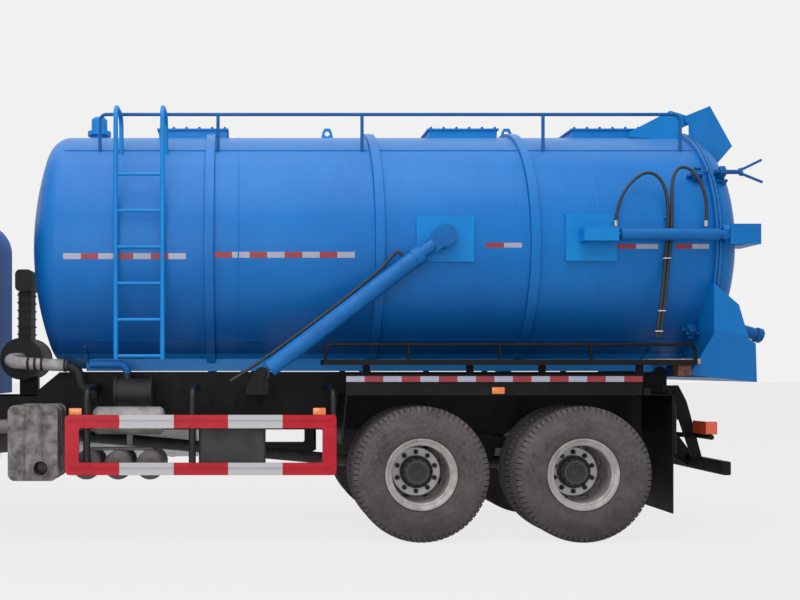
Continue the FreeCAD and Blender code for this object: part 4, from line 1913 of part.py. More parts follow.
def cab_door():
    """Left door panel as thick as the wall, with its window opening, hinges and handle."""
    panel = side_prism(door_outline(DOOR_GAP), wall_y(0))
    panel = panel.cut(window_prism(door_window_outline(0), wall_y(OVERRUN), DOOR_WINDOW_ROUND))
    pieces = [panel]
    x, y = hinge_axis()
    for foot in door_hinge_feet():
        pieces.append(Part.makeCylinder(DOOR_HINGE_RADIUS, DOOR_HINGE_HEIGHT, vec(x, y, foot)))
        leaf_y = (-CAB_HALF_WIDTH - DOOR_LEAF_THICKNESS, -CAB_HALF_WIDTH)
        pieces.append(block((x, x + DOOR_LEAF_LENGTH), leaf_y, (foot, foot + DOOR_HINGE_HEIGHT)))
    rear = DOOR_FRONT_X + DOOR_LENGTH - DOOR_WINDOW_MARGIN
    handle_x = (rear - DOOR_HANDLE_LENGTH, rear)
    handle_y = (-CAB_HALF_WIDTH - DOOR_HANDLE_DEPTH, -CAB_HALF_WIDTH)
    handle_z = (DOOR_HANDLE_Z, DOOR_HANDLE_Z + DOOR_HANDLE_HEIGHT)
    handle = block(handle_x, handle_y, handle_z)
    grip = block(
        (handle_x[0] + DOOR_HANDLE_HEIGHT, handle_x[1] - DOOR_HANDLE_HEIGHT),
        (handle_y[0] + DOOR_HANDLE_DEPTH / 2, handle_y[1] + OVERRUN),
        (handle_z[0] - OVERRUN, handle_z[1] + OVERRUN))
    pieces.append(handle.cut(grip.common(handle)))
    return fused(pieces)


def door_glass():
    """Left door's window pane."""
    middle = -CAB_HALF_WIDTH + CAB_WALL / 2
    y_range = (middle - SCREEN_GLASS / 2, middle + SCREEN_GLASS / 2)
    return window_prism(door_window_outline(SEAT_GAP), y_range, DOOR_WINDOW_ROUND)


def seat(y):
    """One seat: pedestal, cushion and raked backrest."""
    floor = CAB_FLOOR_Z + CAB_WALL
    half = SEAT_WIDTH / 2
    half_length = SEAT_CUSHION_LENGTH / 2
    base_top = floor + SEAT_BASE_HEIGHT
    base = block(
        (SEAT_X - half_length * 0.7, SEAT_X + half_length * 0.7), (y - half * 0.55, y + half * 0.7),
        (floor, base_top))
    cushion = rounded_block(
        (SEAT_X - half_length, SEAT_X + half_length), (y - half, y + half),
        (base_top, base_top + SEAT_CUSHION_HEIGHT), SEAT_ROUND, ALONG_Y)
    back_foot = SEAT_X + half_length - SEAT_BACK_THICKNESS
    top_z = base_top + SEAT_CUSHION_HEIGHT + SEAT_BACK_HEIGHT
    back = side_prism(
        [
            (back_foot, base_top), (back_foot + SEAT_BACK_THICKNESS, base_top),
            (back_foot + SEAT_BACK_THICKNESS + SEAT_BACK_RAKE, top_z), (back_foot + SEAT_BACK_RAKE * 1.4, top_z),
        ],
        (y - half, y + half))
    return fused([base, cushion, back])


def steering_wheel():
    """Steering wheel on the left: ring, spokes and column down to the dash."""
    dash_rear = CAB_FRONT_X + CAB_WALL + DASH_DEPTH
    axis = vec(math.sin(WHEEL_RING_TILT), 0, math.cos(WHEEL_RING_TILT))
    foot = vec(dash_rear - DASH_NOSE / 2, -SEAT_Y, DASH_TOP_Z - DASH_NOSE)
    centre = foot + axis * WHEEL_COLUMN_LENGTH
    ring = Part.makeTorus(WHEEL_RING_RADIUS, WHEEL_RING_TUBE, centre, axis)
    pieces = [ring, bar(foot, centre + axis * WHEEL_SPOKE, 2 * WHEEL_SPOKE)]
    across = vec(math.cos(WHEEL_RING_TILT), 0, -math.sin(WHEEL_RING_TILT))
    pieces.append(bar(centre - ALONG_Y * WHEEL_RING_RADIUS, centre + ALONG_Y * WHEEL_RING_RADIUS, WHEEL_SPOKE * 0.8))
    pieces.append(bar(centre, centre + across * WHEEL_RING_RADIUS, WHEEL_SPOKE * 0.8))
    return fused(pieces)


def dash():
    """Dashboard across the cab under the windscreen."""
    front = CAB_FRONT_X + CAB_WALL
    half = CAB_HALF_WIDTH - CAB_WALL - OVERRUN
    return side_prism(
        [
            (front, DASH_BOTTOM_Z), (front + DASH_DEPTH - DASH_NOSE, DASH_BOTTOM_Z),
            (front + DASH_DEPTH, DASH_TOP_Z - DASH_NOSE), (front + DASH_DEPTH - DASH_NOSE / 2, DASH_TOP_Z),
            (front, DASH_TOP_Z),
        ],
        (-half, half))


def cab_interior():
    """Seats, dashboard and steering wheel."""
    return group([fused([dash(), steering_wheel()]), seat(-SEAT_Y), mirrored(seat(-SEAT_Y))])


def grille():
    """Front grille: a frame with cross bars on the cab's face."""
    x_range = (CAB_FRONT_X - GRILLE_DEPTH, CAB_FRONT_X)
    half = GRILLE_HALF_WIDTH
    outer = block(x_range, (-half, half), (GRILLE_BOTTOM_Z, GRILLE_TOP_Z))
    rim = GRILLE_FRAME
    hole = block(
        (x_range[0] - OVERRUN, x_range[1] + OVERRUN), (-half + rim, half - rim),
        (GRILLE_BOTTOM_Z + rim, GRILLE_TOP_Z - rim))
    pieces = [outer.cut(hole)]
    span = GRILLE_TOP_Z - GRILLE_BOTTOM_Z - 2 * rim
    pitch = span / (GRILLE_BARS + 1)
    for number in range(GRILLE_BARS):
        middle = GRILLE_BOTTOM_Z + rim + pitch * (number + 1)
        z_range = (middle - GRILLE_BAR_HEIGHT / 2, middle + GRILLE_BAR_HEIGHT / 2)
        pieces.append(block(x_range, (-half, half), z_range))
    return fused(pieces)


def mirror():
    """Left mirror: housing on two arms from the windscreen pillar."""
    half = MIRROR_WIDTH / 2
    housing = rounded_block(
        (MIRROR_X - MIRROR_DEPTH / 2, MIRROR_X + MIRROR_DEPTH / 2), (-MIRROR_Y - half, -MIRROR_Y + half),
        (MIRROR_Z, MIRROR_Z + MIRROR_HEIGHT), MIRROR_ROUND, ALONG_X)
    pieces = [housing]
    for share in MIRROR_ARM_Z_SHARES:
        z = MIRROR_Z + MIRROR_HEIGHT * share
        foot = vec(screen_x(z) + CAB_EDGE_ROUND * 1.4, -CAB_HALF_WIDTH - SEAT_GAP, z)
        knee = vec(foot.x, -CAB_HALF_WIDTH - MIRROR_DEPTH, z)
        end = vec(MIRROR_X, -MIRROR_Y + half - OVERRUN, z)
        pieces.append(bent_tube([foot, knee, end], MIRROR_ARM_RADIUS, 2 * MIRROR_ARM_RADIUS))
    return fused(pieces)


def mirrors():
    """Mirrors on both sides."""
    return group(both_sides(mirror()))


# Tank

def hoop(x):
    """Hollow stiffening hoop round the tank."""
    outer = tank_cylinder(TANK_RADIUS + HOOP_RISE, (x - HOOP_WIDTH / 2, x + HOOP_WIDTH / 2))
    return outer.cut(tank_cylinder(TANK_RADIUS - TANK_WALL / 2, (x - HOOP_WIDTH, x + HOOP_WIDTH)))


def tank_shell():
    """Hollow tank: cylinder, dished front, hoops, seam strips and the rear flange."""
    outer = tank_envelope(0)
    inner = tank_envelope(-TANK_WALL)
    mouth = tank_cylinder(TANK_RADIUS - TANK_WALL, (TANK_REAR_X - OVERRUN, TANK_REAR_X + OVERRUN))
    pieces = [outer] + [hoop(tank_share_x(share)) for share in HOOP_X_SHARES]
    for angle in SEAM_LEFT_ANGLES:
        pieces += both_sides(seam_strip(angle, 0))
    flange = tank_cylinder(TANK_RADIUS + FLANGE_RISE, (TANK_REAR_X - FLANGE_THICKNESS, TANK_REAR_X))
    pieces.append(flange)
    return fused(pieces).cut(inner).cut(mouth)


def tank_beam():
    """Left beam under the tank, its tail lifted clear of the pivot, with the pivot boss."""
    half = TANK_BEAM_WIDTH / 2
    middle = FRAME_HALF_WIDTH - SUBFRAME_WIDTH / 2
    y_range = (-middle - half, -middle + half)
    low, high = TANK_BEAM_BOTTOM_Z, TANK_BEAM_TOP_Z
    step_z = TANK_PIVOT_Z + PIVOT_BOSS_RADIUS + MOVING_GAP
    stop_x = TANK_PIVOT_X - PIVOT_BOSS_RADIUS - 2 * MOVING_GAP
    beam = side_prism(
        [
            (TANK_BEAM_FRONT_X, low), (stop_x, low), (stop_x, step_z), (CHUTE_TOP_X - SEAT_GAP, step_z),
            (CHUTE_TOP_X - SEAT_GAP, high), (TANK_BEAM_FRONT_X, high),
        ],
        y_range)
    ear_gap = SUBFRAME_WIDTH - 2 * PIVOT_EAR
    boss_half = ear_gap / 2 - MOVING_GAP
    boss_y = (-middle - boss_half, -middle + boss_half)
    boss = drum_along_y(TANK_PIVOT_X, TANK_PIVOT_Z, PIVOT_BOSS_RADIUS, boss_y)
    web = block((stop_x - OVERRUN, TANK_PIVOT_X + PIVOT_BOSS_RADIUS), boss_y, (low, step_z + OVERRUN))
    bore = drum_along_y(TANK_PIVOT_X, TANK_PIVOT_Z, TANK_PIVOT_RADIUS + PIN_CLEARANCE, y_range)
    return fused([beam, boss, web]).cut(bore)


def tank_saddle(x):
    """Cradle plate between the beams and the tank's underside."""
    half = SADDLE_HALF_WIDTH
    inner = FRAME_HALF_WIDTH - SUBFRAME_WIDTH
    rise = TANK_AXIS_Z - math.sqrt(TANK_RADIUS**2 - half**2)
    outline = [
        (-inner, TANK_BEAM_BOTTOM_Z), (inner, TANK_BEAM_BOTTOM_Z),
        (half, rise - OVERRUN), (half, rise + OVERRUN), (-half, rise + OVERRUN), (-half, rise - OVERRUN),
    ]
    return seated_on_tank(cross_prism(outline, (x, x + SADDLE_PLATE)))


def tank_frame():
    """Beams and cradles that carry the tank, with the tilting pivot bosses."""
    beams = [seated_on_tank(piece) for piece in both_sides(tank_beam())]
    saddles = [tank_saddle(tank_share_x(share)) for share in SADDLE_X_SHARES]
    return fused(beams + saddles)


def discharge_chute():
    """Open trough round the rear door: two side plates, a floor and a collar."""
    side = [
        (CHUTE_TOP_X, CHUTE_TOP_Z), (CHUTE_SHOULDER_X, CHUTE_SHOULDER_Z), (CHUTE_WAIST_X, CHUTE_WAIST_Z),
        (CHUTE_LIP_X, CHUTE_LIP_Z), (CHUTE_LIP_X + CHUTE_PLATE, CHUTE_FOOT_Z), (CHUTE_TOE_X, CHUTE_TOE_Z),
        (CHUTE_TOP_X, CHUTE_NECK_Z),
    ]
    half = CHUTE_HALF_WIDTH
    plate = CHUTE_PLATE
    pieces = both_sides(side_prism(side, (-half, -half + plate)))
    slope = (CHUTE_TOE_Z - CHUTE_FOOT_Z) / (CHUTE_LIP_X + plate - CHUTE_TOE_X)
    front_z = CHUTE_FOOT_Z + slope * (CHUTE_LIP_X + plate - CHUTE_TOP_X)
    floor = side_prism(
        [
            (CHUTE_TOP_X, front_z), (CHUTE_LIP_X + plate, CHUTE_FOOT_Z),
            (CHUTE_LIP_X + plate, CHUTE_FOOT_Z + plate), (CHUTE_TOP_X, front_z + plate),
        ],
        (-half, half))
    collar = block((CHUTE_TOP_X, CHUTE_TOP_X + plate), (-half, half), (front_z, CHUTE_TOP_Z))
    return fused(pieces + [floor, seated_on_tank(collar)])


def tank_height_at(y):
    """The tank's skin height above a place off its axis."""
    return TANK_AXIS_Z + math.sqrt(TANK_RADIUS**2 - y**2)


def ladder():
    """Ladder on the left: two hooped stiles, rungs and stand-offs."""
    pieces = []
    inboard = -LADDER_Y + LADDER_HOOP_REACH
    for side in (-1, 1):
        x = LADDER_X + side * LADDER_HALF_WIDTH
        points = [
            vec(x, -LADDER_Y, LADDER_FOOT_Z), vec(x, -LADDER_Y, LADDER_TOP_Z),
            vec(x, inboard, LADDER_TOP_Z), vec(x, inboard, tank_height_at(inboard) - OVERRUN),
        ]
        pieces.append(bent_tube(points, LADDER_TUBE, LADDER_BEND))
        for share in STANDOFF_SHARES:
            z = LADDER_FOOT_Z + (LADDER_TOP_Z - LADDER_FOOT_Z) * share
            pieces.append(bar(vec(x, -LADDER_Y, z), vec(x, 0, z), STANDOFF_RADIUS))
    for number in range(RUNGS):
        z = RUNG_FIRST_Z + RUNG_SPACING * number
        start = vec(LADDER_X - LADDER_HALF_WIDTH, -LADDER_Y, z)
        pieces.append(bar(start, start + ALONG_X * (2 * LADDER_HALF_WIDTH), RUNG_RADIUS))
    return fused([seated_on_tank(piece).Solids[0] for piece in pieces])


def top_rail():
    """Left handrail on top of the tank, bent down to the skin at both ends."""
    y = -TOP_RAIL_Y
    foot_z = tank_height_at(y) - OVERRUN
    points = [
        vec(TOP_RAIL_FRONT_X, y, foot_z), vec(TOP_RAIL_FRONT_X, y, TOP_RAIL_Z),
        vec(TOP_RAIL_REAR_X, y, TOP_RAIL_Z), vec(TOP_RAIL_REAR_X, y, foot_z),
    ]
    pieces = [bent_tube(points, TOP_RAIL_RADIUS, TOP_RAIL_BEND)]
    for share in TOP_POST_SHARES:
        x = TOP_RAIL_FRONT_X + (TOP_RAIL_REAR_X - TOP_RAIL_FRONT_X) * share
        pieces.append(bar(vec(x, y, foot_z), vec(x, y, TOP_RAIL_Z), TOP_RAIL_RADIUS))
    return seated_on_tank(fused(pieces))


def top_rails():
    """Handrails on both sides."""
    return group(both_sides(top_rail()))


def hatch(x):
    """Manhole box on top of the tank with an overhanging lid."""
    x_range = (x - HATCH_LENGTH / 2, x + HATCH_LENGTH / 2)
    half = HATCH_HALF_WIDTH
    top = TANK_AXIS_Z + TANK_RADIUS + HATCH_RISE
    low = tank_height_at(half) - OVERRUN
    box = block(x_range, (-half, half), (low, top - HATCH_LID))
    over = HATCH_LID_OVERHANG
    lid = block((x_range[0] - over, x_range[1] + over), (-half - over, half + over), (top - HATCH_LID, top))
    return seated_on_tank(fused([box, lid]))


def lifting_lug(x):
    """Lifting lug on the tank's top line, with its hole."""
    low = TANK_AXIS_Z + TANK_RADIUS - OVERRUN
    top = TANK_AXIS_Z + TANK_RADIUS + LUG_RISE
    half = LUG_LENGTH / 2
    corner = LUG_RISE / 3
    plate = side_prism(
        [
            (x - half, low), (x + half, low), (x + half - corner / 2, top - corner), (x + half - corner, top),
            (x - half + corner, top), (x - half + corner / 2, top - corner),
        ],
        (-LUG_THICKNESS / 2, LUG_THICKNESS / 2))
    hole = drum_along_y(x, top - corner - LUG_HOLE_RADIUS / 2, LUG_HOLE_RADIUS, (-LUG_THICKNESS, LUG_THICKNESS))
    return seated_on_tank(plate.cut(hole))


def breather():
    """Breather valve with its domed cap at the tank's front end."""
    centre = vec(BREATHER_X, 0, 0)
    low = TANK_AXIS_Z + TANK_RADIUS - OVERRUN
    top = BREATHER_TOP_Z
    outline = [
        (low, 0), (low, BREATHER_DOME_RADIUS), (BREATHER_BASE_Z - 2 * OVERRUN, BREATHER_DOME_RADIUS),
        (BREATHER_BASE_Z - 2 * OVERRUN, BREATHER_BASE_RADIUS), (BREATHER_BASE_Z, BREATHER_BASE_RADIUS),
        (BREATHER_BASE_Z, BREATHER_DOME_RADIUS), (top - BREATHER_DOME_RADIUS / 2, BREATHER_DOME_RADIUS),
        (top - BREATHER_DOME_RADIUS / 6, BREATHER_DOME_RADIUS * 0.7), (top, 0),
    ]
    return seated_on_tank(spun(outline, centre, ALONG_Z, ALONG_X))


def side_pad(x_range, z_range):
    """Flat pad on the tank's left flank, cut to the skin behind."""
    return seated_on_tank(block(x_range, (-PAD_FACE_Y, -PAD_FACE_Y + PAD_DEPTH), z_range))


def lift_pad():
    """Pad and boss that the lift cylinder's rod eye works on, left side."""
    x_range = (LIFT_EYE_X - LIFT_PAD_FRONT, LIFT_EYE_X + LIFT_PAD_REAR)
    z_range = (LIFT_EYE_Z - LIFT_PAD_BELOW, LIFT_EYE_Z + LIFT_PAD_ABOVE)
    boss_face = CYLINDER_Y - LIFT_EYE_WIDTH / 2 - MOVING_GAP
    boss = drum_along_y(LIFT_EYE_X, LIFT_EYE_Z, BOSS_RADIUS, (-boss_face, -PAD_FACE_Y))
    return fused([side_pad(x_range, z_range), boss])


def door_pad():
    """Pad and boxed arm that hold the door cylinder's barrel, left side."""
    x_range = (DOOR_FOOT_X - DOOR_PAD_FRONT, DOOR_FOOT_X + DOOR_PAD_REAR)
    z_range = (DOOR_CYLINDER_Z - DOOR_PAD_BELOW, DOOR_CYLINDER_Z + DOOR_PAD_ABOVE)
    half_gap = DOOR_EYE_WIDTH / 2 + MOVING_GAP
    wall = DOOR_ARM_WALL
    arm_z = (DOOR_CYLINDER_Z - DOOR_ARM_HALF_HEIGHT, DOOR_CYLINDER_Z + DOOR_ARM_HALF_HEIGHT)
    arm_x = (DOOR_FOOT_X - DOOR_ARM_LENGTH, DOOR_FOOT_X + DOOR_CYLINDER_EYE_RADIUS * 0.7)
    outer = CYLINDER_Y + half_gap + wall
    arm = block(arm_x, (-outer, -PAD_FACE_Y), arm_z)
    slot_x = (DOOR_FOOT_X - DOOR_CYLINDER_EYE_RADIUS - 2 * MOVING_GAP, arm_x[1] + OVERRUN)
    slot = block(slot_x, (-CYLINDER_Y - half_gap, -CYLINDER_Y + half_gap), (arm_z[0] - OVERRUN, arm_z[1] + OVERRUN))
    pin = drum_along_y(DOOR_FOOT_X, DOOR_CYLINDER_Z, DOOR_PIN_RADIUS, (-outer, -CYLINDER_Y + half_gap + wall))
    return fused([side_pad(x_range, z_range), arm.cut(slot), pin])


def hinge_gusset():
    """Left gusset on the tank's top that carries the rear door's hinge pin."""
    centre_low = TANK_AXIS_Z + TANK_RADIUS - 2 * OVERRUN
    eye = HINGE_EYE_RADIUS
    plate = side_prism(
        [
            (DOOR_HINGE_X - 12 * eye, centre_low), (TANK_REAR_X - FLANGE_THICKNESS, tank_height_at(HINGE_Y) - OVERRUN),
            (TANK_REAR_X - FLANGE_THICKNESS, DOOR_HINGE_Z - 2 * eye), (DOOR_HINGE_X + eye * 0.7, DOOR_HINGE_Z - eye * 0.7),
            (DOOR_HINGE_X + eye, DOOR_HINGE_Z), (DOOR_HINGE_X + eye * 0.7, DOOR_HINGE_Z + eye * 0.7),
            (DOOR_HINGE_X - 3.5 * eye, DOOR_HINGE_Z + 2 * eye), (DOOR_HINGE_X - 12 * eye, centre_low + eye),
        ],
        (-HINGE_Y, -HINGE_Y + HINGE_PLATE))
    bore = drum_along_y(DOOR_HINGE_X, DOOR_HINGE_Z, HINGE_PIN_RADIUS + PIN_CLEARANCE, (-HINGE_Y - OVERRUN, -HINGE_Y + 2 * HINGE_PLATE))
    flange_room = tank_cylinder(TANK_RADIUS + FLANGE_RISE + SEAT_GAP, (TANK_REAR_X - FLANGE_THICKNESS - SEAT_GAP, DOOR_HINGE_X))
    return seated_on_tank(plate.cut(bore).cut(flange_room))


def hose_clip(place):
    """Left clip plate between the tank's skin and the door cylinder hoses."""
    front, rear, above = place
    face = HOSE_SPACE_Y - HOSE_RADIUS - SEAT_GAP
    x_range = (X_DRIVE_2 + front, X_DRIVE_2 + rear)
    z_range = (TANK_AXIS_Z + above, TANK_AXIS_Z + above + HOSE_CLIP_HEIGHT)
    return seated_on_tank(block(x_range, (-face, -face + 3 * OVERRUN), z_range))


def tank_fittings():
    """Hatches, lifting lugs, breather, cylinder pads, hose clips and door hinge gussets."""
    pieces = [hatch(tank_share_x(share)) for share in HATCH_X_SHARES]
    pieces += [lifting_lug(tank_share_x(share)) for share in LUG_X_SHARES]
    pieces.append(breather())
    pieces += both_sides(lift_pad())
    pieces += both_sides(door_pad())
    pieces += both_sides(hinge_gusset())
    for place in HOSE_CLIP_PLACES:
        pieces += both_sides(hose_clip(place))
    return group(pieces)


# Rear door

def door_cavity():
    """The space inside the rear door's dish, open towards the tank."""
    radius = TANK_RADIUS - TANK_WALL
    face = TANK_REAR_X + SEAT_GAP
    dish = dished_end(face + FLANGE_THICKNESS, 1, DOOR_DEPTH - TANK_WALL, radius)
    return fused([dish, tank_cylinder(radius, (face - OVERRUN, face + FLANGE_THICKNESS))])


def door_outer():
    face = TANK_REAR_X + SEAT_GAP
    dish = dished_end(face + FLANGE_THICKNESS, 1, DOOR_DEPTH, TANK_RADIUS)
    return fused([dish, tank_cylinder(TANK_RADIUS + FLANGE_RISE, (face, face + FLANGE_THICKNESS))])


def door_arm():
    """Left hinge arm over the door's top, with its pin through the gusset."""
    eye = HINGE_EYE_RADIUS
    outer = HINGE_Y + HINGE_PLATE + MOVING_GAP
    y_range = (-outer, -outer + HINGE_PLATE)
    plate = side_prism(
        [
            (DOOR_HINGE_X - eye, DOOR_HINGE_Z), (DOOR_HINGE_X - eye * 0.7, DOOR_HINGE_Z + eye * 0.7),
            (DOOR_HINGE_X + 4.2 * eye, DOOR_HINGE_Z + 2.7 * eye), (DOOR_HINGE_X + 8.8 * eye, DOOR_HINGE_Z - 5.6 * eye),
            (DOOR_HINGE_X + 5 * eye, DOOR_HINGE_Z - 10 * eye), (DOOR_HINGE_X, DOOR_HINGE_Z - 5 * eye),
            (DOOR_HINGE_X, DOOR_HINGE_Z - 1.2 * eye), (DOOR_HINGE_X - eye * 0.8, DOOR_HINGE_Z - eye * 0.6),
        ],
        (-outer - HINGE_PLATE, -outer))
    pin = drum_along_y(DOOR_HINGE_X, DOOR_HINGE_Z, HINGE_PIN_RADIUS, (-outer - HINGE_PLATE, -HINGE_Y + HINGE_PLATE + MOVING_GAP))
    return fused([plate, pin])


def door_lug():
    """Left box lug on the door's flank, flanking the door cylinder's rod eye."""
    half_gap = DOOR_EYE_WIDTH / 2 + MOVING_GAP
    plate = DOOR_LUG_PLATE
    x_range = (DOOR_EYE_X - DOOR_LUG_FRONT, DOOR_EYE_X + DOOR_LUG_REAR)
    z_range = (DOOR_CYLINDER_Z - DOOR_LUG_HALF_HEIGHT, DOOR_CYLINDER_Z + DOOR_LUG_HALF_HEIGHT)
    inner_face = CYLINDER_Y - half_gap
    outer_face = CYLINDER_Y + half_gap
    root = TANK_RADIUS * 0.8
    base_x = (TANK_REAR_X + FLANGE_THICKNESS + MOVING_GAP, x_range[1])
    base = block(base_x, (-inner_face, -root), z_range)
    outer = block(x_range, (-outer_face - plate, -outer_face), z_range)
    back_x = (DOOR_EYE_X + DOOR_CYLINDER_EYE_RADIUS + 8 * MOVING_GAP, x_range[1])
    back = block(back_x, (-outer_face - plate, -inner_face), z_range)
    return fused([base, outer, back])


def seam_clamp(angle):
    """Screw clamp on the door's flange, at an angle round the seam."""
    radians = math.radians(angle)
    low = TANK_RADIUS + FLANGE_RISE - SEAM_RISE
    x_range = (TANK_REAR_X + SEAT_GAP, TANK_REAR_X + CLAMP_LENGTH)
    half = CLAMP_WIDTH / 2
    body = block(x_range, (-half, half), (TANK_AXIS_Z + low, TANK_AXIS_Z + low + CLAMP_RISE))
    handle_x = x_range[1] - CLAMP_RISE / 2
    handle = bar(vec(handle_x, -CLAMP_WIDTH, TANK_AXIS_Z + low + CLAMP_RISE / 2), vec(handle_x, CLAMP_WIDTH, TANK_AXIS_Z + low + CLAMP_RISE / 2), CLAMP_RISE / 5)
    piece = fused([body, handle])
    piece.rotate(vec(0, 0, TANK_AXIS_Z), ALONG_X, 90 - math.degrees(radians))
    return piece


def hose_rest():
    """Forked hose rest that stands out from the door's upper left."""
    root = vec(FORK_X, FORK_Y, FORK_Z)
    knee = root + ALONG_X * FORK_STEM
    pieces = [bar(vec(TANK_REAR_X + FLANGE_THICKNESS, FORK_Y, FORK_Z), knee, FORK_RADIUS)]
    for side in (-1, 1):
        end = knee + vec(FORK_PRONG_REACH, 0, side * FORK_PRONG_SPREAD)
        pieces.append(bar(knee - ALONG_X * FORK_PRONG_RADIUS, end, FORK_PRONG_RADIUS))
    return pieces


def rear_door():
    """Dished rear door with its flange, hinge arms, lugs, clamps and hose rest."""
    pieces = [door_outer()]
    pieces += both_sides(door_arm())
    pieces += both_sides(door_lug())
    pieces += hose_rest()
    return fused(pieces).cut(door_cavity())


def outlet_frame():
    """Where the outlet pipe leaves the door and the way it points."""
    along = vec(math.cos(OUTLET_SLOPE), 0, -math.sin(OUTLET_SLOPE))
    end = vec(X_REAR - (OUTLET_RADIUS - OUTLET_COLLAR) * math.sin(OUTLET_SLOPE), OUTLET_Y, OUTLET_Z)
    return end, along


def outlet_pipe():
    """Sloping outlet pipe with its end collar, open through, cut to the door's dish."""
    end, along = outlet_frame()
    start = end - along * OUTLET_LENGTH
    collar_start = end - along * (OUTLET_COLLAR_LENGTH + OUTLET_COLLAR)
    collar_end = end - along * OUTLET_COLLAR
    body = fused([
        bar(start, end, OUTLET_RADIUS - OUTLET_COLLAR),
        bar(collar_start, collar_end, OUTLET_RADIUS),
    ])
    bore = bar(start - along * OVERRUN, end + along * OVERRUN, OUTLET_RADIUS - OUTLET_COLLAR - OUTLET_WALL)
    face = TANK_REAR_X + SEAT_GAP + FLANGE_THICKNESS
    room = dished_end(face, 1, DOOR_DEPTH + SEAT_GAP, TANK_RADIUS + SEAT_GAP)
    return body.cut(bore).cut(room)


# Cylinders

def cylinder_line(foot_x, foot_z, eye_x, eye_z):
    """Start, end, direction and length of a cylinder at rest, left side."""
    foot = vec(foot_x, -CYLINDER_Y, foot_z)
    eye = vec(eye_x, -CYLINDER_Y, eye_z)
    along = eye - foot
    length = along.Length
    return foot, eye, along.normalize(), length


def barrel(line, barrel_radius, rod_radius, barrel_share, eye_radius, eye_width, pin_radius, gland):
    """Cylinder barrel with its foot eye and gland, bored for the rod."""
    foot, eye, along, length = line
    y_range = (-CYLINDER_Y - eye_width / 2, -CYLINDER_Y + eye_width / 2)
    start = foot + along * (eye_radius + 4 * MOVING_GAP)
    end = foot + along * (length * barrel_share)
    gland_radius, gland_length = gland
    pieces = [
        drum_along_y(foot.x, foot.z, eye_radius, y_range),
        bar(foot, start + along * OVERRUN, eye_width / 2 - MOVING_GAP),
        bar(start, end, barrel_radius),
        bar(end - along * gland_length, end, gland_radius),
    ]
    pin_bore = drum_along_y(foot.x, foot.z, pin_radius + PIN_CLEARANCE, (y_range[0] - OVERRUN, y_range[1] + OVERRUN))
    bore = bar(start + along * OVERRUN, end + along * OVERRUN, rod_radius + PIN_CLEARANCE)
    return fused(pieces).cut(pin_bore).cut(bore)


def rod(line, rod_radius, rod_share, eye_radius, eye_width):
    """Cylinder rod with its flat tongue and eye."""
    foot, eye, along, length = line
    y_range = (-CYLINDER_Y - eye_width / 2, -CYLINDER_Y + eye_width / 2)
    inner = eye - along * (length * rod_share)
    neck = eye - along * (eye_radius * ROD_NECK_SHARE)
    tongue = round_end_link(neck, eye, eye_radius * ROD_TONGUE_SHARE, y_range)
    return fused([bar(inner, neck, rod_radius), tongue, drum_along_y(eye.x, eye.z, eye_radius, y_range)])


def lift_line():
    return cylinder_line(LIFT_FOOT_X, LIFT_FOOT_Z, LIFT_EYE_X, LIFT_EYE_Z)


def door_line():
    return cylinder_line(DOOR_FOOT_X, DOOR_CYLINDER_Z, DOOR_EYE_X, DOOR_CYLINDER_Z)


def lift_barrel():
    gland = (GLAND_RADIUS, GLAND_LENGTH)
    return barrel(
        lift_line(), LIFT_BARREL_RADIUS, LIFT_ROD_RADIUS, LIFT_BARREL_SHARE, LIFT_FOOT_RADIUS,
        LIFT_EYE_WIDTH, LIFT_PIN_RADIUS, gland)


def lift_rod():
    return rod(lift_line(), LIFT_ROD_RADIUS, LIFT_ROD_SHARE, LIFT_EYE_RADIUS, LIFT_EYE_WIDTH)


def door_barrel():
    gland = (DOOR_BARREL_RADIUS, GLAND_LENGTH)
    return barrel(
        door_line(), DOOR_BARREL_RADIUS, DOOR_ROD_RADIUS, DOOR_BARREL_SHARE, DOOR_FOOT_RADIUS,
        DOOR_EYE_WIDTH, DOOR_PIN_RADIUS, gland)


def door_rod():
    return rod(door_line(), DOOR_ROD_RADIUS, DOOR_ROD_SHARE, DOOR_CYLINDER_EYE_RADIUS, DOOR_EYE_WIDTH)


# Hoses

def lift_hose():
    """Hydraulic line along the top of the left lift barrel, down to the chassis."""
    foot, eye, along, length = lift_line()
    above = vec(-along.z, 0, along.x)
    lie = above * (LIFT_BARREL_RADIUS + LIFT_HOSE_RADIUS)
    proud = above * (LIFT_BARREL_RADIUS + LIFT_HOSE_RISE)
    port = foot + along * (length * LIFT_HOSE_PORT_SHARE)
    points = [
        port + above * LIFT_BARREL_RADIUS,
        port + proud,
        port + proud - along * LIFT_HOSE_RISE,
        foot + along * (length * LIFT_HOSE_LIE_SHARE) + lie,
        foot + along * LIFT_HOSE_RISE + lie,
        vec(LIFT_HOSE_END_X, -CYLINDER_Y, LIFT_HOSE_END_Z),
    ]
    return bent_tube(points, LIFT_HOSE_RADIUS, LIFT_HOSE_BEND)


def hose_run(points):
    """A hydraulic hose beside the tank, its bends as large as its runs allow."""
    edges = []
    start = points[0]
    for before, corner, following in zip(points, points[1:-1], points[2:]):
        into, out = corner - before, following - corner
        turn = into.getAngle(out)
        shorter = min(into.Length, out.Length)
        bend = HOSE_ARC_SHARE * shorter / math.tan(turn / 2)
        into, out = into.normalize(), out.normalize()
        back = bend * math.tan(turn / 2)
        arc_start, arc_end = corner - into * back, corner + out * back
        centre = arc_start + (out - into * into.dot(out)).normalize() * bend
        middle = centre + (corner - centre).normalize() * bend
        edges.append(Part.LineSegment(start, arc_start).toShape())
        edges.append(Part.Arc(arc_start, middle, arc_end).toShape())
        start = arc_end
    edges.append(Part.LineSegment(start, points[-1]).toShape())
    section = Part.Wire(Part.makeCircle(HOSE_RADIUS, points[0], edges[0].tangentAt(0)))
    return Part.Wire(edges).makePipeShell([section], True, True)


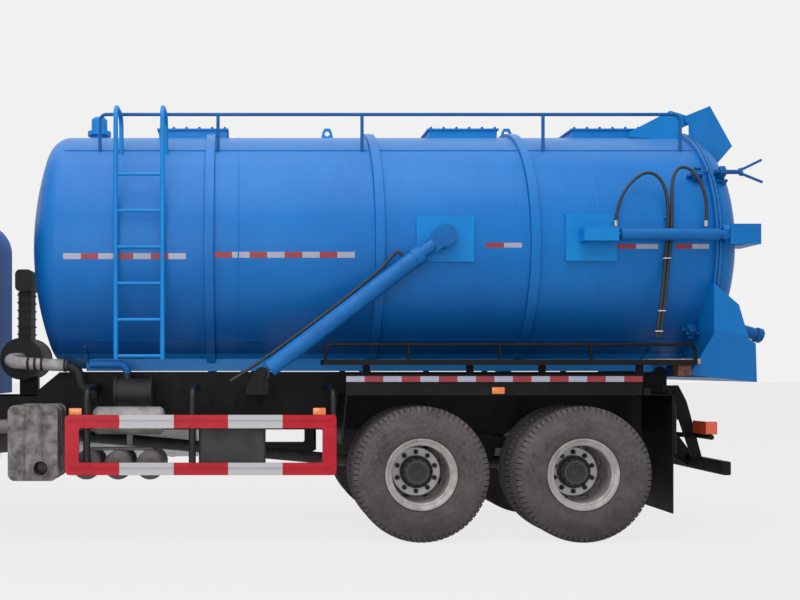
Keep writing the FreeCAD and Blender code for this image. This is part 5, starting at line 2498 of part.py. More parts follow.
def hose_point(place):
    """A route's point from its places behind the last axle, off the skin and above the axis."""
    behind, off, above = place
    return vec(X_DRIVE_2 + behind, -off, TANK_AXIS_Z + above)


def door_hoses():
    """Two hydraulic hoses beside the tank's left rear, and their mirrors on the right."""
    left = [hose_run([hose_point(place) for place in route]) for route in (HOSE_A_ROUTE, HOSE_B_ROUTE)]
    return group(left + [mirrored(hose) for hose in left])


# Hose trays

def hose_tray():
    """Left hose tray over the mudguard: lipped floor, legs, posts and a bent rail."""
    x_range = (TRAY_FRONT_X, TRAY_REAR_X)
    outer, inner = -BODY_HALF_WIDTH, -TRAY_INNER_Y
    sheet = TRAY_SHEET
    floor = block(x_range, (outer, inner), (TRAY_FLOOR_Z, TRAY_FLOOR_Z + sheet))
    pieces = [floor]
    for y in (outer, inner - sheet):
        pieces.append(block(x_range, (y, y + sheet), (TRAY_FLOOR_Z, TRAY_FLOOR_Z + TRAY_LIP)))
    for x in (x_range[0], x_range[1] - sheet):
        pieces.append(block((x, x + sheet), (outer, inner), (TRAY_FLOOR_Z, TRAY_FLOOR_Z + TRAY_LIP)))
    radius = TRAY_RAIL_RADIUS
    rail_y = outer + radius
    low = TRAY_FLOOR_Z + sheet / 2
    rail_x = (x_range[0] + radius, x_range[1] - radius)
    points = [
        vec(rail_x[0], rail_y, low), vec(rail_x[0], rail_y, TRAY_RAIL_Z),
        vec(rail_x[1], rail_y, TRAY_RAIL_Z), vec(rail_x[1], rail_y, low),
    ]
    pieces.append(bent_tube(points, radius, TRAY_BEND))
    for share in TRAY_POST_SHARES:
        x = rail_x[0] + (rail_x[1] - rail_x[0]) * share
        pieces.append(bar(vec(x, rail_y, low), vec(x, rail_y, TRAY_RAIL_Z), radius))
    stay_top = GUARD_TOP_Z + TRAY_LEG_WIDTH
    for share in TRAY_LEG_SHARES:
        x = GUARD_SKIRT_FRONT_X + (GUARD_REAR_X - GUARD_SKIRT_FRONT_X - TRAY_LEG_WIDTH) * share
        leg_y = (outer + inner) / 2
        pieces.append(block((x, x + TRAY_LEG_WIDTH), (leg_y - sheet, leg_y + sheet), (stay_top, TRAY_FLOOR_Z)))
    return fused(pieces)


def hose_trays():
    """Hose trays on both sides."""
    return group(both_sides(hose_tray()))


def wheels():
    """Tyre and rim nodes of all six wheels."""
    made = {}
    for name, x in (("drive_1", X_DRIVE_1), ("drive_2", X_DRIVE_2)):
        made["tyre_" + name + "_left"] = rear_tyres(x)
        made["rim_" + name + "_left"] = rear_rims(x)
    made["tyre_front_left"] = front_tyre(X_STEER)
    made["rim_front_left"] = front_rim(X_STEER)
    for name in list(made):
        made[name.replace("_left", "_right")] = mirrored(made[name])
    return made


def springs():
    """Leaf packs of all axles and the tandem's trunnion, as separate solids."""
    front = front_spring(-FRONT_SPRING_Y - SPRING_WIDTH / 2)
    rear = rear_spring(-REAR_SPRING_Y - SPRING_WIDTH / 2)
    return group(both_sides(front) + both_sides(rear) + [trunnion()])


def cylinders():
    """Lift and door cylinders with the lift hoses, on both sides."""
    left = {
        "lift_barrel": lift_barrel(), "lift_rod": lift_rod(), "lift_hose": lift_hose(),
        "door_barrel": door_barrel(), "door_rod": door_rod(),
    }
    made = {}
    for name, shape in left.items():
        made[name + "_left"] = shape
        made[name + "_right"] = mirrored(shape)
    return made


def nodes():
    """Every node of the truck by name."""
    made = {
        "frame": frame(),
        "bumper": group([bumper(), steps()]),
        "lamps": lamps(),
        "front_axle": front_axle(),
        "springs": springs(),
        "drive_axles": drive_axles(),
        "driveline": driveline(),
        "silencer": silencer(),
        "air_reservoirs": air_reservoirs(),
        "battery_box": battery_box(),
        "fuel_tank": fuel_tank(),
        "air_intake": air_intake(),
        "vacuum_pump": vacuum_pump(),
        "side_guards": side_guards(),
        "mudguards": group([mudguards(), mud_flaps()]),
        "rear_underrun": rear_underrun(),
        "hose_trays": hose_trays(),
        "knuckle_left": left_knuckle(),
        "knuckle_right": right_knuckle(),
        "tie_rod": tie_rod(),
        "cab_shell": cab_shell(),
        "cab_glass": cab_glass(),
        "cab_interior": cab_interior(),
        "grille": grille(),
        "mirrors": mirrors(),
        "cab_door_left": cab_door(),
        "door_glass_left": door_glass(),
        "tank_shell": tank_shell(),
        "tank_frame": tank_frame(),
        "discharge_chute": discharge_chute(),
        "ladder": ladder(),
        "top_rails": top_rails(),
        "tank_fittings": tank_fittings(),
        "door_hoses": door_hoses(),
        "rear_door": rear_door(),
        "outlet_pipe": outlet_pipe(),
    }
    made["cab_door_right"] = mirrored(made["cab_door_left"])
    made["door_glass_right"] = mirrored(made["door_glass_left"])
    made.update(wheels())
    made.update(cylinders())
    return made


os.makedirs("parts", exist_ok=True)
for node_name, node_shape in nodes().items():
    if not node_shape.isValid():
        print("not valid:", node_name)
    node_shape.exportStep("parts/" + node_name + ".step")
    print(node_name, len(node_shape.Solids), round(node_shape.Volume))
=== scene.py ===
"""Suction tanker truck: finishes, fittings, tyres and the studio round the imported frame."""
import math

import bmesh
import bpy
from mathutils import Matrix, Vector


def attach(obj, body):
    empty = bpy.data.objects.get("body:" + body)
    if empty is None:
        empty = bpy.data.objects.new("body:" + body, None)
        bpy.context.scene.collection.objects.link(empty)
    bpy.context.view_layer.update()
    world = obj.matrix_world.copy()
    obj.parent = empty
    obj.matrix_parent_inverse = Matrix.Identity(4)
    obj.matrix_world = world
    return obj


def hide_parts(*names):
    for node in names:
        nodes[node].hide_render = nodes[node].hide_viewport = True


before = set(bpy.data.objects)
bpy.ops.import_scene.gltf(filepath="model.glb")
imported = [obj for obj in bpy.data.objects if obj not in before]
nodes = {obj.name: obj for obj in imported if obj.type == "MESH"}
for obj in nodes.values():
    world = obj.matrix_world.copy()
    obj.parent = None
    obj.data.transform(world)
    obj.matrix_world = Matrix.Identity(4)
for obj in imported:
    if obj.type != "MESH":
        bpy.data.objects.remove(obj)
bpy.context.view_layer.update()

# Sizes shared with the truck's solids, in metres
AXLE_Z = 0.570
STEER_X = -3.197
DRIVE_X = {"1": 1.403, "2": 2.753}
REAR_HUB_Y = 0.908
FRONT_HUB_Y = 1.172
RIM_OFFSET = 0.175
DISC_THICKNESS = 0.012
TANK_AXIS_Z = 2.530
TANK_RADIUS = 1.080
TANK_TOP_Z = TANK_AXIS_Z + TANK_RADIUS
TANK_REAR_X = 3.923
TANK_LENGTH = 5.580
TANK_FRONT_X = TANK_REAR_X - TANK_LENGTH
HOOP_SHARES = (0.231, 0.4895, 0.724)
HATCH_SHARES = (0.2, 0.6465, 0.8835)
BODY_HALF_WIDTH = 1.240
SIDES = (("left", -1), ("right", 1))

# Where a finish changes on its piece, in metres; each opening is (middle, half its length)
GUARD_START_X = -1.5585
GUARD_BAND = 0.4510
GUARD_TOP_Z = 1.0705
GUARD_BACK_Y = 1.2125
GUARD_OPENING_X = (-0.4325, 1.0085)
GUARD_OPENING_Z = (0.8155, 0.1425)
# Where the rear rims' painted highlight ends and their painted shade is deepest and fades out
RIM_FLAT_Y = 0.9225
RIM_DARKEST_Y = 0.93
RIM_LIP_Y = 1.172
# Where the tank's painted shade stops above the beam, and the line where the chute's painted shade begins
BEAM_TOP_Z = 1.585
CHUTE_FOLD_Z = 2.636
CHUTE_FOLD_SLOPE = 0.22
PUMP_PIPE_Z = 1.412


# Small helpers for meshes and objects

def add_object(name, data):
    """A linked object at the origin."""
    piece = bpy.data.objects.new(name, data)
    bpy.context.scene.collection.objects.link(piece)
    return piece


def mesh_from(name, build, smooth=None, materials=()):
    """A mesh filled by build(bm), its normals outwards, shaded smooth below an angle."""
    bm = bmesh.new()
    build(bm)
    bmesh.ops.remove_doubles(bm, verts=bm.verts, dist=0.00001)
    bmesh.ops.recalc_face_normals(bm, faces=bm.faces)
    mesh = bpy.data.meshes.new(name)
    bm.to_mesh(mesh)
    bm.free()
    if smooth is not None:
        mesh.shade_smooth()
        mesh.set_sharp_from_angle(angle=math.radians(smooth))
    for material in materials:
        mesh.materials.append(material)
    return mesh


def add_box(bm, low, high, index=0, bevel=0.0):
    """A box between two corners, its edges rounded if a bevel is given."""
    made = bmesh.ops.create_cube(bm, size=1.0)["verts"]
    for vert in made:
        for axis in range(3):
            middle = (low[axis] + high[axis]) / 2
            vert.co[axis] = middle + vert.co[axis] * (high[axis] - low[axis])
    faces = {face for vert in made for face in vert.link_faces}
    if bevel:
        edges = list({edge for vert in made for edge in vert.link_edges})
        rounded = bmesh.ops.bevel(bm, geom=edges, offset=bevel, segments=2, affect="EDGES", profile=0.5)
        faces = set(rounded["faces"]) | {face for face in faces if face.is_valid}
    for face in faces:
        face.material_index = index


def side_box(bm, side, low, high, **settings):
    """A box given for the right side, or its mirror image on the left."""
    near, far = sorted((side * low[1], side * high[1]))
    add_box(bm, (low[0], near, low[2]), (high[0], far, high[2]), **settings)


def skin(bm, rows, closed=True, index=0):
    """Faces from each row of corners to the next; a closed row runs back to its first corner."""
    for here, there in zip(rows, rows[1:]):
        count = len(here)
        for number in range(count if closed else count - 1):
            other = (number + 1) % count
            face = bm.faces.new([here[number], here[other], there[other], there[number]])
            face.material_index = index


def add_prism(bm, first, last, index=0):
    """A solid between two outlines with the same number of corners."""
    ends = [[bm.verts.new(place) for place in outline] for outline in (first, last)]
    skin(bm, ends, index=index)
    for end in ends:
        bm.faces.new(end).material_index = index


def add_lathe(bm, outline, centre, axis, steps, closed=False):
    """Turn (along, radius) points about an axis ("X", "Y" or "Z") through a centre."""
    rings = []
    for step in range(steps):
        angle = 2 * math.pi * step / steps
        ring = []
        for along, radius in outline:
            a, b = radius * math.cos(angle), radius * math.sin(angle)
            offset = {"X": (along, a, b), "Y": (a, along, b), "Z": (a, b, along)}[axis]
            ring.append(bm.verts.new(Vector(centre) + Vector(offset)))
        rings.append(ring)
    skin(bm, rings + rings[:1], closed)


def spline_curve(name, points, kind="NURBS"):
    """A curve through a route: one smooth spline, or straight lengths with POLY."""
    curve = bpy.data.curves.new(name, "CURVE")
    curve.dimensions = "3D"
    spline = curve.splines.new(kind)
    spline.points.add(len(points) - 1)
    for knot, place in zip(spline.points, points):
        knot.co = (*place, 1.0)
    if kind == "NURBS":
        spline.order_u = 3
        spline.use_endpoint_u = True
    return curve


def curve_mesh(curve, material=None):
    """The mesh that a curve makes."""
    holder = add_object("holder", curve)
    mesh = bpy.data.meshes.new_from_object(holder)
    bpy.data.objects.remove(holder)
    mesh.materials.clear()
    if material is not None:
        mesh.materials.append(material)
    return mesh


# Node trees

def feed(tree, node, inputs):
    """Link a node's inputs to sockets, or set them to values."""
    for place, value in inputs.items():
        if isinstance(value, bpy.types.NodeSocket):
            tree.links.new(value, node.inputs[place])
        else:
            node.inputs[place].default_value = value


def add_node(tree, kind, inputs=None, **settings):
    """A node with its properties set and its inputs fed; its outputs come back."""
    node = tree.nodes.new(kind)
    for name, value in settings.items():
        setattr(node, name, value)
    feed(tree, node, inputs or {})
    return node.outputs


def maths(tree, operation, first, second=0.0, clamp=False):
    """One Math node; each input is a socket or a number."""
    return add_node(tree, "ShaderNodeMath", {0: first, 1: second}, operation=operation, use_clamp=clamp)[0]


def mix_colour(tree, factor, first, second):
    """Colour mix by a mask; each input is a socket or a colour."""
    return add_node(tree, "ShaderNodeMix", {0: factor, 6: first, 7: second}, data_type="RGBA")[2]


def axes(tree, vector):
    """The X, Y and Z of a vector."""
    return add_node(tree, "ShaderNodeSeparateXYZ", {0: vector})


def ramp(tree, value, start, end, first=0.0, last=1.0):
    """A value between start and end, mapped to between first and last and held at both."""
    inputs = {"Value": value, "From Min": start, "From Max": end, "To Min": first, "To Max": last}
    return add_node(tree, "ShaderNodeMapRange", inputs)[0]


def clouds(tree, vector, scale, detail, roughness=0.5):
    """Noise from 0 to 1."""
    inputs = {"Vector": vector, "Scale": scale, "Detail": detail, "Roughness": roughness}
    return add_node(tree, "ShaderNodeTexNoise", inputs)["Fac"]


def node_group(name, kind, inputs, outputs, build):
    """A node group with named sockets; build(tree, given) returns the socket for each output."""
    tree = bpy.data.node_groups.new(name, kind)
    for title, form, value in inputs:
        socket = tree.interface.new_socket(name=title, in_out="INPUT", socket_type="NodeSocket" + form)
        if value is not None:
            socket.default_value = value
    for title, form in outputs:
        tree.interface.new_socket(name=title, in_out="OUTPUT", socket_type="NodeSocket" + form)
    made = build(tree, add_node(tree, "NodeGroupInput"))
    feed(tree, tree.nodes.new("NodeGroupOutput"), dict(enumerate(made)))
    return tree


def uneven_tone(tree, given):
    """Uneven tone of sprayed or weathered paint: two colours blended by broad clouds."""
    centred = maths(tree, "SUBTRACT", clouds(tree, given["Vector"], given["Scale"], 5.0, 0.6), 0.5)
    strong = maths(tree, "MULTIPLY", centred, given["Contrast"])
    mask = maths(tree, "ADD", maths(tree, "MULTIPLY", strong, 2.2), 0.5, clamp=True)
    return mix_colour(tree, mask, given["Light"], given["Dark"]), mask


def road_dust(tree, given):
    """Road dust: thicker towards the ground, patchy, and on faces that look up."""
    height = ramp(tree, axes(tree, given["Vector"])["Z"], given["Low"], given["High"], 1.0, 0.08)
    patches = ramp(tree, clouds(tree, given["Vector"], given["Scale"], 8.0, 0.65), 0.32, 0.68)
    upright = axes(tree, add_node(tree, "ShaderNodeNewGeometry")["Normal"])["Z"]
    lying = maths(tree, "MAXIMUM", upright, 0.0)
    gather = maths(tree, "ADD", maths(tree, "MULTIPLY", lying, 0.35), 0.65)
    dust = maths(tree, "MULTIPLY", maths(tree, "MULTIPLY", height, patches), gather)
    return [maths(tree, "MULTIPLY", dust, given["Amount"], clamp=True)]


def rain_streaks(tree, given):
    """Long vertical runs of rain and dirt on standing plate."""
    stretch = {0: given["Vector"], 1: (1.0, 0.35, 0.06)}
    stretched = add_node(tree, "ShaderNodeVectorMath", stretch, operation="MULTIPLY")[0]
    thin = ramp(tree, clouds(tree, stretched, given["Scale"], 4.0, 0.7), 0.52, 0.74)
    return [maths(tree, "MULTIPLY", thin, given["Amount"])]


def fine_grain(tree, given):
    """Fine surface height: orange peel, casting skin or moulded rubber, by its scale."""
    fine = clouds(tree, given["Vector"], given["Scale"], 3.0)
    swell = maths(tree, "MULTIPLY", clouds(tree, given["Vector"], given["Broad"], 1.0), given["Waviness"])
    return [maths(tree, "ADD", fine, swell)]


def bands_along(tree, given):
    """Bands of equal length along the truck: 1 on every second band."""
    from_start = maths(tree, "SUBTRACT", axes(tree, given["Vector"])["X"], given["Start"])
    counted = maths(tree, "FLOOR", maths(tree, "DIVIDE", from_start, given["Length"]))
    return [maths(tree, "FLOORED_MODULO", counted, 2.0)]


def shader_group(build, colours, numbers, outputs):
    """A shader group on a vector, with colours and numbers given by name."""
    inputs = [("Vector", "Vector", None)]
    inputs += [(title, "Color", value) for title, value in colours.items()]
    inputs += [(title, "Float", value) for title, value in numbers.items()]
    return node_group(build.__name__, "ShaderNodeTree", inputs, outputs, build)


MASK = [("Mask", "Float")]
MOTTLE = shader_group(
    uneven_tone, {"Light": (1, 1, 1, 1), "Dark": (0, 0, 0, 1)}, {"Scale": 2.0, "Contrast": 1.0},
    [("Color", "Color")] + MASK)
DUST = shader_group(road_dust, {}, {"Amount": 0.5, "Low": 0.0, "High": 1.6, "Scale": 6.0}, MASK)
STREAKS = shader_group(rain_streaks, {}, {"Amount": 0.3, "Scale": 9.0}, MASK)
GRAIN = shader_group(fine_grain, {}, {"Scale": 200.0, "Broad": 8.0, "Waviness": 0.3}, [("Height", "Float")])
BANDS = shader_group(bands_along, {}, {"Start": 0.0, "Length": 0.45}, MASK)


def use_group(tree, group, vector, **values):
    """A shader group at work on a vector; its outputs come back."""
    return add_node(tree, "ShaderNodeGroup", {"Vector": vector, **values}, node_tree=group)


def colour(red, green, blue):
    """Linear colour from the eight-bit values that a screen shows."""
    def linear(value):
        share = value / 255
        return share / 12.92 if share <= 0.04045 else ((share + 0.055) / 1.055)**2.4
    return (linear(red), linear(green), linear(blue), 1.0)


DUST_BROWN = (122, 112, 102)
RUN_BLUE = (6, 66, 130)
BUMP_STRENGTH = 0.6
COAT_ROUGHNESS = 0.12
TANK_LIGHT = (8, 112, 186)
TANK_DARK = (0, 92, 168)


def finish(name, light, dark, roughness, metallic=0.0, coat=0.0, mottle=(2.0, 1.0), dust=(0.3, 0.0, 1.6, 6.0),
           dust_colour=DUST_BROWN, streaks=0.0, streak_colour=DUST_BROWN, grain=(300.0, 0.0008),
           wave=(6.0, 0.3), second=None, specular=0.5):
    """One finish: uneven tone, runs and road dust over a colour, with fine grain in its bump.

    mottle is (scale, contrast), dust (amount, low, high, scale), grain (scale, depth) and wave (scale, share).
    """
    material = bpy.data.materials.new(name)
    material.use_nodes = True
    tree = material.node_tree
    shader = tree.nodes["Principled BSDF"]
    place = add_node(tree, "ShaderNodeTexCoord")["Object"]
    tone = use_group(
        tree, MOTTLE, place, Light=colour(*light), Dark=colour(*dark), Scale=mottle[0], Contrast=mottle[1])
    base = tone["Color"]
    if second is not None:
        base = second(tree, place, base)
    if streaks:
        runs = use_group(tree, STREAKS, place, Amount=streaks)["Mask"]
        base = mix_colour(tree, runs, base, colour(*streak_colour))
    dirt = use_group(tree, DUST, place, Amount=dust[0], Low=dust[1], High=dust[2], Scale=dust[3])["Mask"]
    dull = maths(tree, "MULTIPLY", dirt, 0.8 - roughness * 0.5)
    uneven = maths(tree, "MULTIPLY", tone["Mask"], 0.08)
    height = use_group(tree, GRAIN, place, Scale=grain[0], Broad=wave[0], Waviness=wave[1])["Height"]
    bump = add_node(tree, "ShaderNodeBump", {"Strength": BUMP_STRENGTH, "Distance": grain[1], "Height": height})
    feed(tree, shader, {
        "Base Color": mix_colour(tree, dirt, base, colour(*dust_colour)),
        "Roughness": maths(tree, "ADD", maths(tree, "ADD", dull, uneven), roughness, clamp=True),
        "Metallic": metallic, "Specular IOR Level": specular, "Normal": bump["Normal"]})
    if coat:
        feed(tree, shader, {"Coat Weight": coat, "Coat Roughness": COAT_ROUGHNESS})
    return material


def blue_paint(name, light, dark, mottle, dust, roughness=0.40, coat=0.04, **more):
    """One of the truck's blue paints, which share their gloss and the colour of their runs."""
    return finish(
        name, light, dark, roughness, coat=coat, mottle=mottle, dust=dust, streak_colour=RUN_BLUE, specular=0.24,
        **more)


def within(tree, value, middle, half):
    """1 where a value differs from a middle by less than half."""
    away = maths(tree, "ABSOLUTE", maths(tree, "SUBTRACT", value, middle))
    return maths(tree, "LESS_THAN", away, half)


def guard_bands(tree, place, base):
    """Red and white lengths painted along the side guards, and their black hangers."""
    mask = use_group(tree, BANDS, place, Start=GUARD_START_X, Length=GUARD_BAND)["Mask"]
    painted = mix_colour(tree, mask, base, colour(180, 179, 182))
    x, y, z = axes(tree, place)
    above = maths(tree, "GREATER_THAN", z, GUARD_TOP_Z)
    inside = within(tree, y, 0.0, GUARD_BACK_Y)
    opening = maths(tree, "MULTIPLY", within(tree, z, *GUARD_OPENING_Z), within(tree, x, *GUARD_OPENING_X))
    hanger = maths(tree, "MAXIMUM", opening, maths(tree, "MAXIMUM", above, inside))
    return mix_colour(tree, hanger, painted, colour(24, 24, 27))


def rim_painted_shade_and_light(tree, place, base):
    """Painted shade that darkens the rear rims from the lip down to the flat of the disc, which is painted pale as a
    painted highlight.
    """
    split = axes(tree, place)
    out = maths(tree, "ABSOLUTE", split["Y"])
    behind = maths(tree, "GREATER_THAN", split["X"], 0.0)
    # Painted shade, deepest near the disc and gone at the lip; the flat of the disc gets a pale painted highlight.
    depth = ramp(tree, out, RIM_DARKEST_Y, RIM_LIP_Y, 0.92, 0.0)
    shade = maths(tree, "MULTIPLY", depth, maths(tree, "GREATER_THAN", out, RIM_FLAT_Y))
    flat = maths(tree, "LESS_THAN", out, RIM_FLAT_Y)
    face = mix_colour(tree, maths(tree, "MULTIPLY", flat, behind), base, colour(204, 202, 204))
    return mix_colour(tree, maths(tree, "MULTIPLY", shade, behind), face, colour(50, 43, 44))


def lamp_colours(tree, place, base):
    """Orange-red tail lamps; clear lenses at the truck's front."""
    behind = maths(tree, "GREATER_THAN", axes(tree, place)["X"], 0.0)
    return mix_colour(tree, behind, base, colour(214, 74, 38))


def tyre_dust_and_painted_shade(tree, place, base):
    """Lighter dust in patches over the tyre wall, and painted shade on the part towards the ground."""
    patches = ramp(tree, clouds(tree, place, 38.0, 6.0, 0.7), 0.45, 0.75, 0.0, 0.5)
    dusty = mix_colour(tree, patches, base, colour(118, 108, 108))
    # Painted shade: the tyre darker towards the ground.
    low = ramp(tree, axes(tree, place)["Z"], 0.05, 0.62, 0.85, 0.0)
    return mix_colour(tree, low, dusty, colour(40, 36, 38))


def tank_painted_sheen_and_shade(tree, place, base):
    """Painted sheen on the tank's top, painted shade below its middle, and the beam under it painted brighter."""
    height = axes(tree, place)["Z"]
    # Painted highlight towards the top, and painted shade lower down that stops at the beam.
    top = ramp(tree, height, 3.20, 3.60, 0.0, 0.30)
    low = ramp(tree, height, 1.62, 2.20, 0.62, 0.0)
    shell = maths(tree, "GREATER_THAN", height, BEAM_TOP_Z)
    pale = mix_colour(tree, top, base, colour(128, 168, 206))
    deep = mix_colour(tree, maths(tree, "MULTIPLY", low, shell), pale, colour(2, 52, 122))
    beam = maths(tree, "MULTIPLY", maths(tree, "SUBTRACT", 1.0, shell), 0.6)
    return mix_colour(tree, beam, deep, colour(20, 134, 210))


def chute_painted_shade(tree, place, base):
    """Painted shade on the chute's lower half, below the line of its fold."""
    split = axes(tree, place)
    level = maths(tree, "ADD", split["Z"], maths(tree, "MULTIPLY", split["X"], CHUTE_FOLD_SLOPE))
    low = maths(tree, "LESS_THAN", level, CHUTE_FOLD_Z)
    # Painted shade below the fold line.
    return mix_colour(tree, maths(tree, "MULTIPLY", low, 0.42), base, colour(4, 84, 156))


def darker_low(tree, place, base):
    """Darker towards the bottom on what hangs low under the frame."""
    low = ramp(tree, axes(tree, place)["Z"], 0.70, 0.92, 0.9, 0.0)
    return mix_colour(tree, low, base, colour(58, 53, 56))


def pump_pipe(tree, place, base):
    """The pump's pipe is blue like the tank it runs to."""
    high = maths(tree, "GREATER_THAN", axes(tree, place)["Z"], PUMP_PIPE_Z)
    return mix_colour(tree, high, base, colour(*TANK_DARK))


def prism_cells(tree, place, base):
    """The small cells of reflecting tape, as slightly darker seams."""
    cells = add_node(tree, "ShaderNodeTexVoronoi", {"Vector": place, "Scale": 160.0}, feature="DISTANCE_TO_EDGE")
    seam = maths(tree, "LESS_THAN", cells["Distance"], 0.06)
    return mix_colour(tree, maths(tree, "MULTIPLY", seam, 0.25), base, colour(120, 110, 105))


TANK_PAINT = blue_paint(
    "tank_paint", TANK_LIGHT, TANK_DARK, (0.9, 0.8), (0.05, 1.2, 2.2, 4.0), streaks=0.14,
    grain=(420.0, 0.0003), wave=(2.6, 2.5), second=tank_painted_sheen_and_shade)
RAIL_PAINT = blue_paint(
    "rail_paint", (2, 92, 158), (0, 70, 130), (3.0, 1.0), (0.05, 1.2, 2.4, 9.0), roughness=0.42, coat=0.03)
DOOR_PAINT = blue_paint(
    "door_paint", (0, 116, 188), (0, 98, 172), (1.2, 0.8), (0.06, 1.2, 2.2, 5.0), streaks=0.14, wave=(3.0, 2.0))
CHUTE_PAINT = blue_paint(
    "chute_paint", (0, 118, 190), (0, 102, 176), (1.6, 0.8), (0.05, 1.2, 2.2, 5.0), streaks=0.10,
    wave=(3.0, 2.0), second=chute_painted_shade)
# Painted light: a lighter copy of the tank's blue for the pads and the ladder, whose flat faces face the light.
PAD_PAINT_LIT = blue_paint(
    "pad_paint_lit", (0, 130, 202), (0, 112, 186), (2.4, 0.9), (0.04, 1.2, 2.4, 7.0), streaks=0.10, wave=(3.0, 1.0))
CYLINDER_PAINT = blue_paint(
    "cylinder_paint", (0, 102, 172), (0, 84, 152), (5.0, 1.2), (0.05, 1.2, 2.8, 9.0), roughness=0.42, coat=0.03)
CAB_PAINT = finish(
    "cab_paint", (4, 92, 166), (0, 76, 148), 0.46, mottle=(0.7, 0.6),
    dust=(0.04, 0.7, 2.2, 5.0), grain=(600.0, 0.0002), wave=(1.0, 0.4), specular=0.06)
CHASSIS_BLACK = finish(
    "chassis_black", (15, 15, 18), (7, 7, 9), 0.50, mottle=(5.0, 1.4), dust=(0.025, 0.2, 1.7, 7.0),
    streaks=0.02, grain=(260.0, 0.001), specular=0.16)
CAST_IRON = finish(
    "cast_iron", (62, 60, 60), (38, 37, 38), 0.62, metallic=0.3, mottle=(9.0, 1.4),
    dust=(0.5, 0.2, 1.6, 8.0), grain=(140.0, 0.0018))
SILENCER_STEEL = finish(
    "silencer_steel", (128, 123, 124), (76, 71, 71), 0.55, metallic=0.4, mottle=(11.0, 1.7),
    dust=(0.25, 0.3, 1.5, 14.0), streaks=0.9, streak_colour=(46, 40, 40), grain=(180.0, 0.0012))
RESERVOIR_GREY = finish(
    "reservoir_grey", (160, 156, 156), (118, 113, 113), 0.5, mottle=(6.0, 1.5),
    dust=(0.4, 0.3, 1.4, 9.0), second=darker_low)
BOX_BLACK = finish(
    "box_black", (34, 33, 36), (20, 20, 22), 0.6, mottle=(7.0, 1.4), dust=(0.28, 0.3, 1.5, 8.0))
ALUMINIUM = finish(
    "tank_aluminium", (196, 197, 198), (168, 168, 168), 0.34, metallic=0.9, mottle=(4.0, 1.0),
    dust=(0.35, 0.2, 1.3, 7.0))
GUARD_PAINT = finish(
    "guard_paint", (184, 6, 36), (160, 2, 28), 0.38, coat=0.06, mottle=(4.0, 1.0),
    dust=(0.07, 0.3, 1.2, 12.0), second=guard_bands, specular=0.25)
LAMP_LENS = finish(
    "lamp_lens", (214, 216, 218), (186, 188, 190), 0.18, coat=1.0, mottle=(20.0, 0.8),
    dust=(0.2, 0.4, 1.4, 12.0), second=lamp_colours)
AMBER_LENS = finish(
    "amber_lens", (232, 128, 42), (206, 98, 26), 0.22, coat=1.0, mottle=(30.0, 1.0),
    dust=(0.2, 0.5, 1.6, 14.0))
TYRE_RUBBER = finish(
    "tyre_rubber", (84, 78, 79), (58, 54, 55), 0.86, mottle=(6.0, 1.5), dust=(0.36, 0.0, 1.9, 11.0),
    dust_colour=(112, 103, 99), grain=(160.0, 0.0022), second=tyre_dust_and_painted_shade)
RIM_SILVER = finish(
    "rim_silver", (176, 172, 170), (140, 136, 134), 0.46, metallic=0.25, mottle=(9.0, 1.4),
    dust=(0.34, 0.2, 1.3, 12.0), streaks=0.22, streak_colour=(96, 84, 76), second=rim_painted_shade_and_light)
HUB_DARK = finish(
    "hub_dark", (56, 54, 58), (34, 33, 37), 0.6, metallic=0.1, mottle=(16.0, 1.6),
    dust=(0.2, 0.2, 1.3, 16.0), grain=(220.0, 0.0014))
NUT_STEEL = finish(
    "nut_steel", (44, 42, 44), (26, 25, 27), 0.5, metallic=0.3, mottle=(40.0, 1.6),
    dust=(0.15, 0.2, 1.3, 30.0))
PUMP_IRON = finish(
    "pump_iron", (40, 39, 40), (24, 23, 24), 0.62, metallic=0.2, mottle=(9.0, 1.4),
    dust=(0.2, 0.2, 1.6, 8.0), grain=(140.0, 0.0018), second=pump_pipe)
HOSE_RUBBER = finish(
    "hose_rubber", (24, 24, 27), (14, 14, 16), 0.48, mottle=(16.0, 1.2), dust=(0.12, 1.0, 3.0, 14.0),
    grain=(700.0, 0.0008))
MOULDED_BLACK = finish(
    "moulded_black", (26, 26, 28), (16, 16, 18), 0.55, mottle=(7.0, 1.0), dust=(0.14, 0.3, 2.0, 8.0),
    grain=(500.0, 0.0012), specular=0.3)
CABIN_TRIM = finish(
    "cabin_trim", (92, 92, 96), (66, 66, 70), 0.8, mottle=(14.0, 1.2), dust=(0.05, 0.5, 2.0, 8.0),
    grain=(380.0, 0.002))
TAPE_RED = finish(
    "tape_red", (150, 6, 36), (124, 4, 28), 0.35, coat=0.06, mottle=(20.0, 0.8),
    dust=(0.06, 0.8, 2.6, 18.0), second=prism_cells)
TAPE_WHITE = finish(
    "tape_white", (166, 168, 188), (146, 148, 168), 0.35, coat=0.1, mottle=(20.0, 0.8),
    dust=(0.06, 0.8, 2.6, 18.0), second=prism_cells)
FITTING_ZINC = finish(
    "fitting_zinc", (186, 188, 190), (140, 142, 146), 0.36, metallic=0.7, mottle=(40.0, 1.2),
    dust=(0.15, 1.2, 3.0, 30.0))
TIE_WHITE = finish(
    "tie_white", (222, 222, 220), (196, 196, 194), 0.5, mottle=(30.0, 1.0), dust=(0.15, 1.2, 3.0, 20.0))
MIRROR_FACE = finish(
    "mirror_face", (214, 218, 220), (200, 204, 208), 0.05, metallic=1.0, mottle=(4.0, 0.4),
    dust=(0.08, 1.6, 3.0, 20.0), grain=(900.0, 0.00005))
SEAT_CLOTH = finish(
    "seat_cloth", (70, 74, 86), (46, 48, 58), 0.92, mottle=(18.0, 1.4), dust=(0.05, 1.2, 2.6, 12.0),
    grain=(900.0, 0.0016), wave=(60.0, 0.6))
PLANK_WOOD = finish(
    "plank_wood", (190, 178, 162), (150, 134, 116), 0.7, mottle=(14.0, 1.8),
    dust=(0.25, 1.2, 1.8, 14.0), grain=(240.0, 0.001))
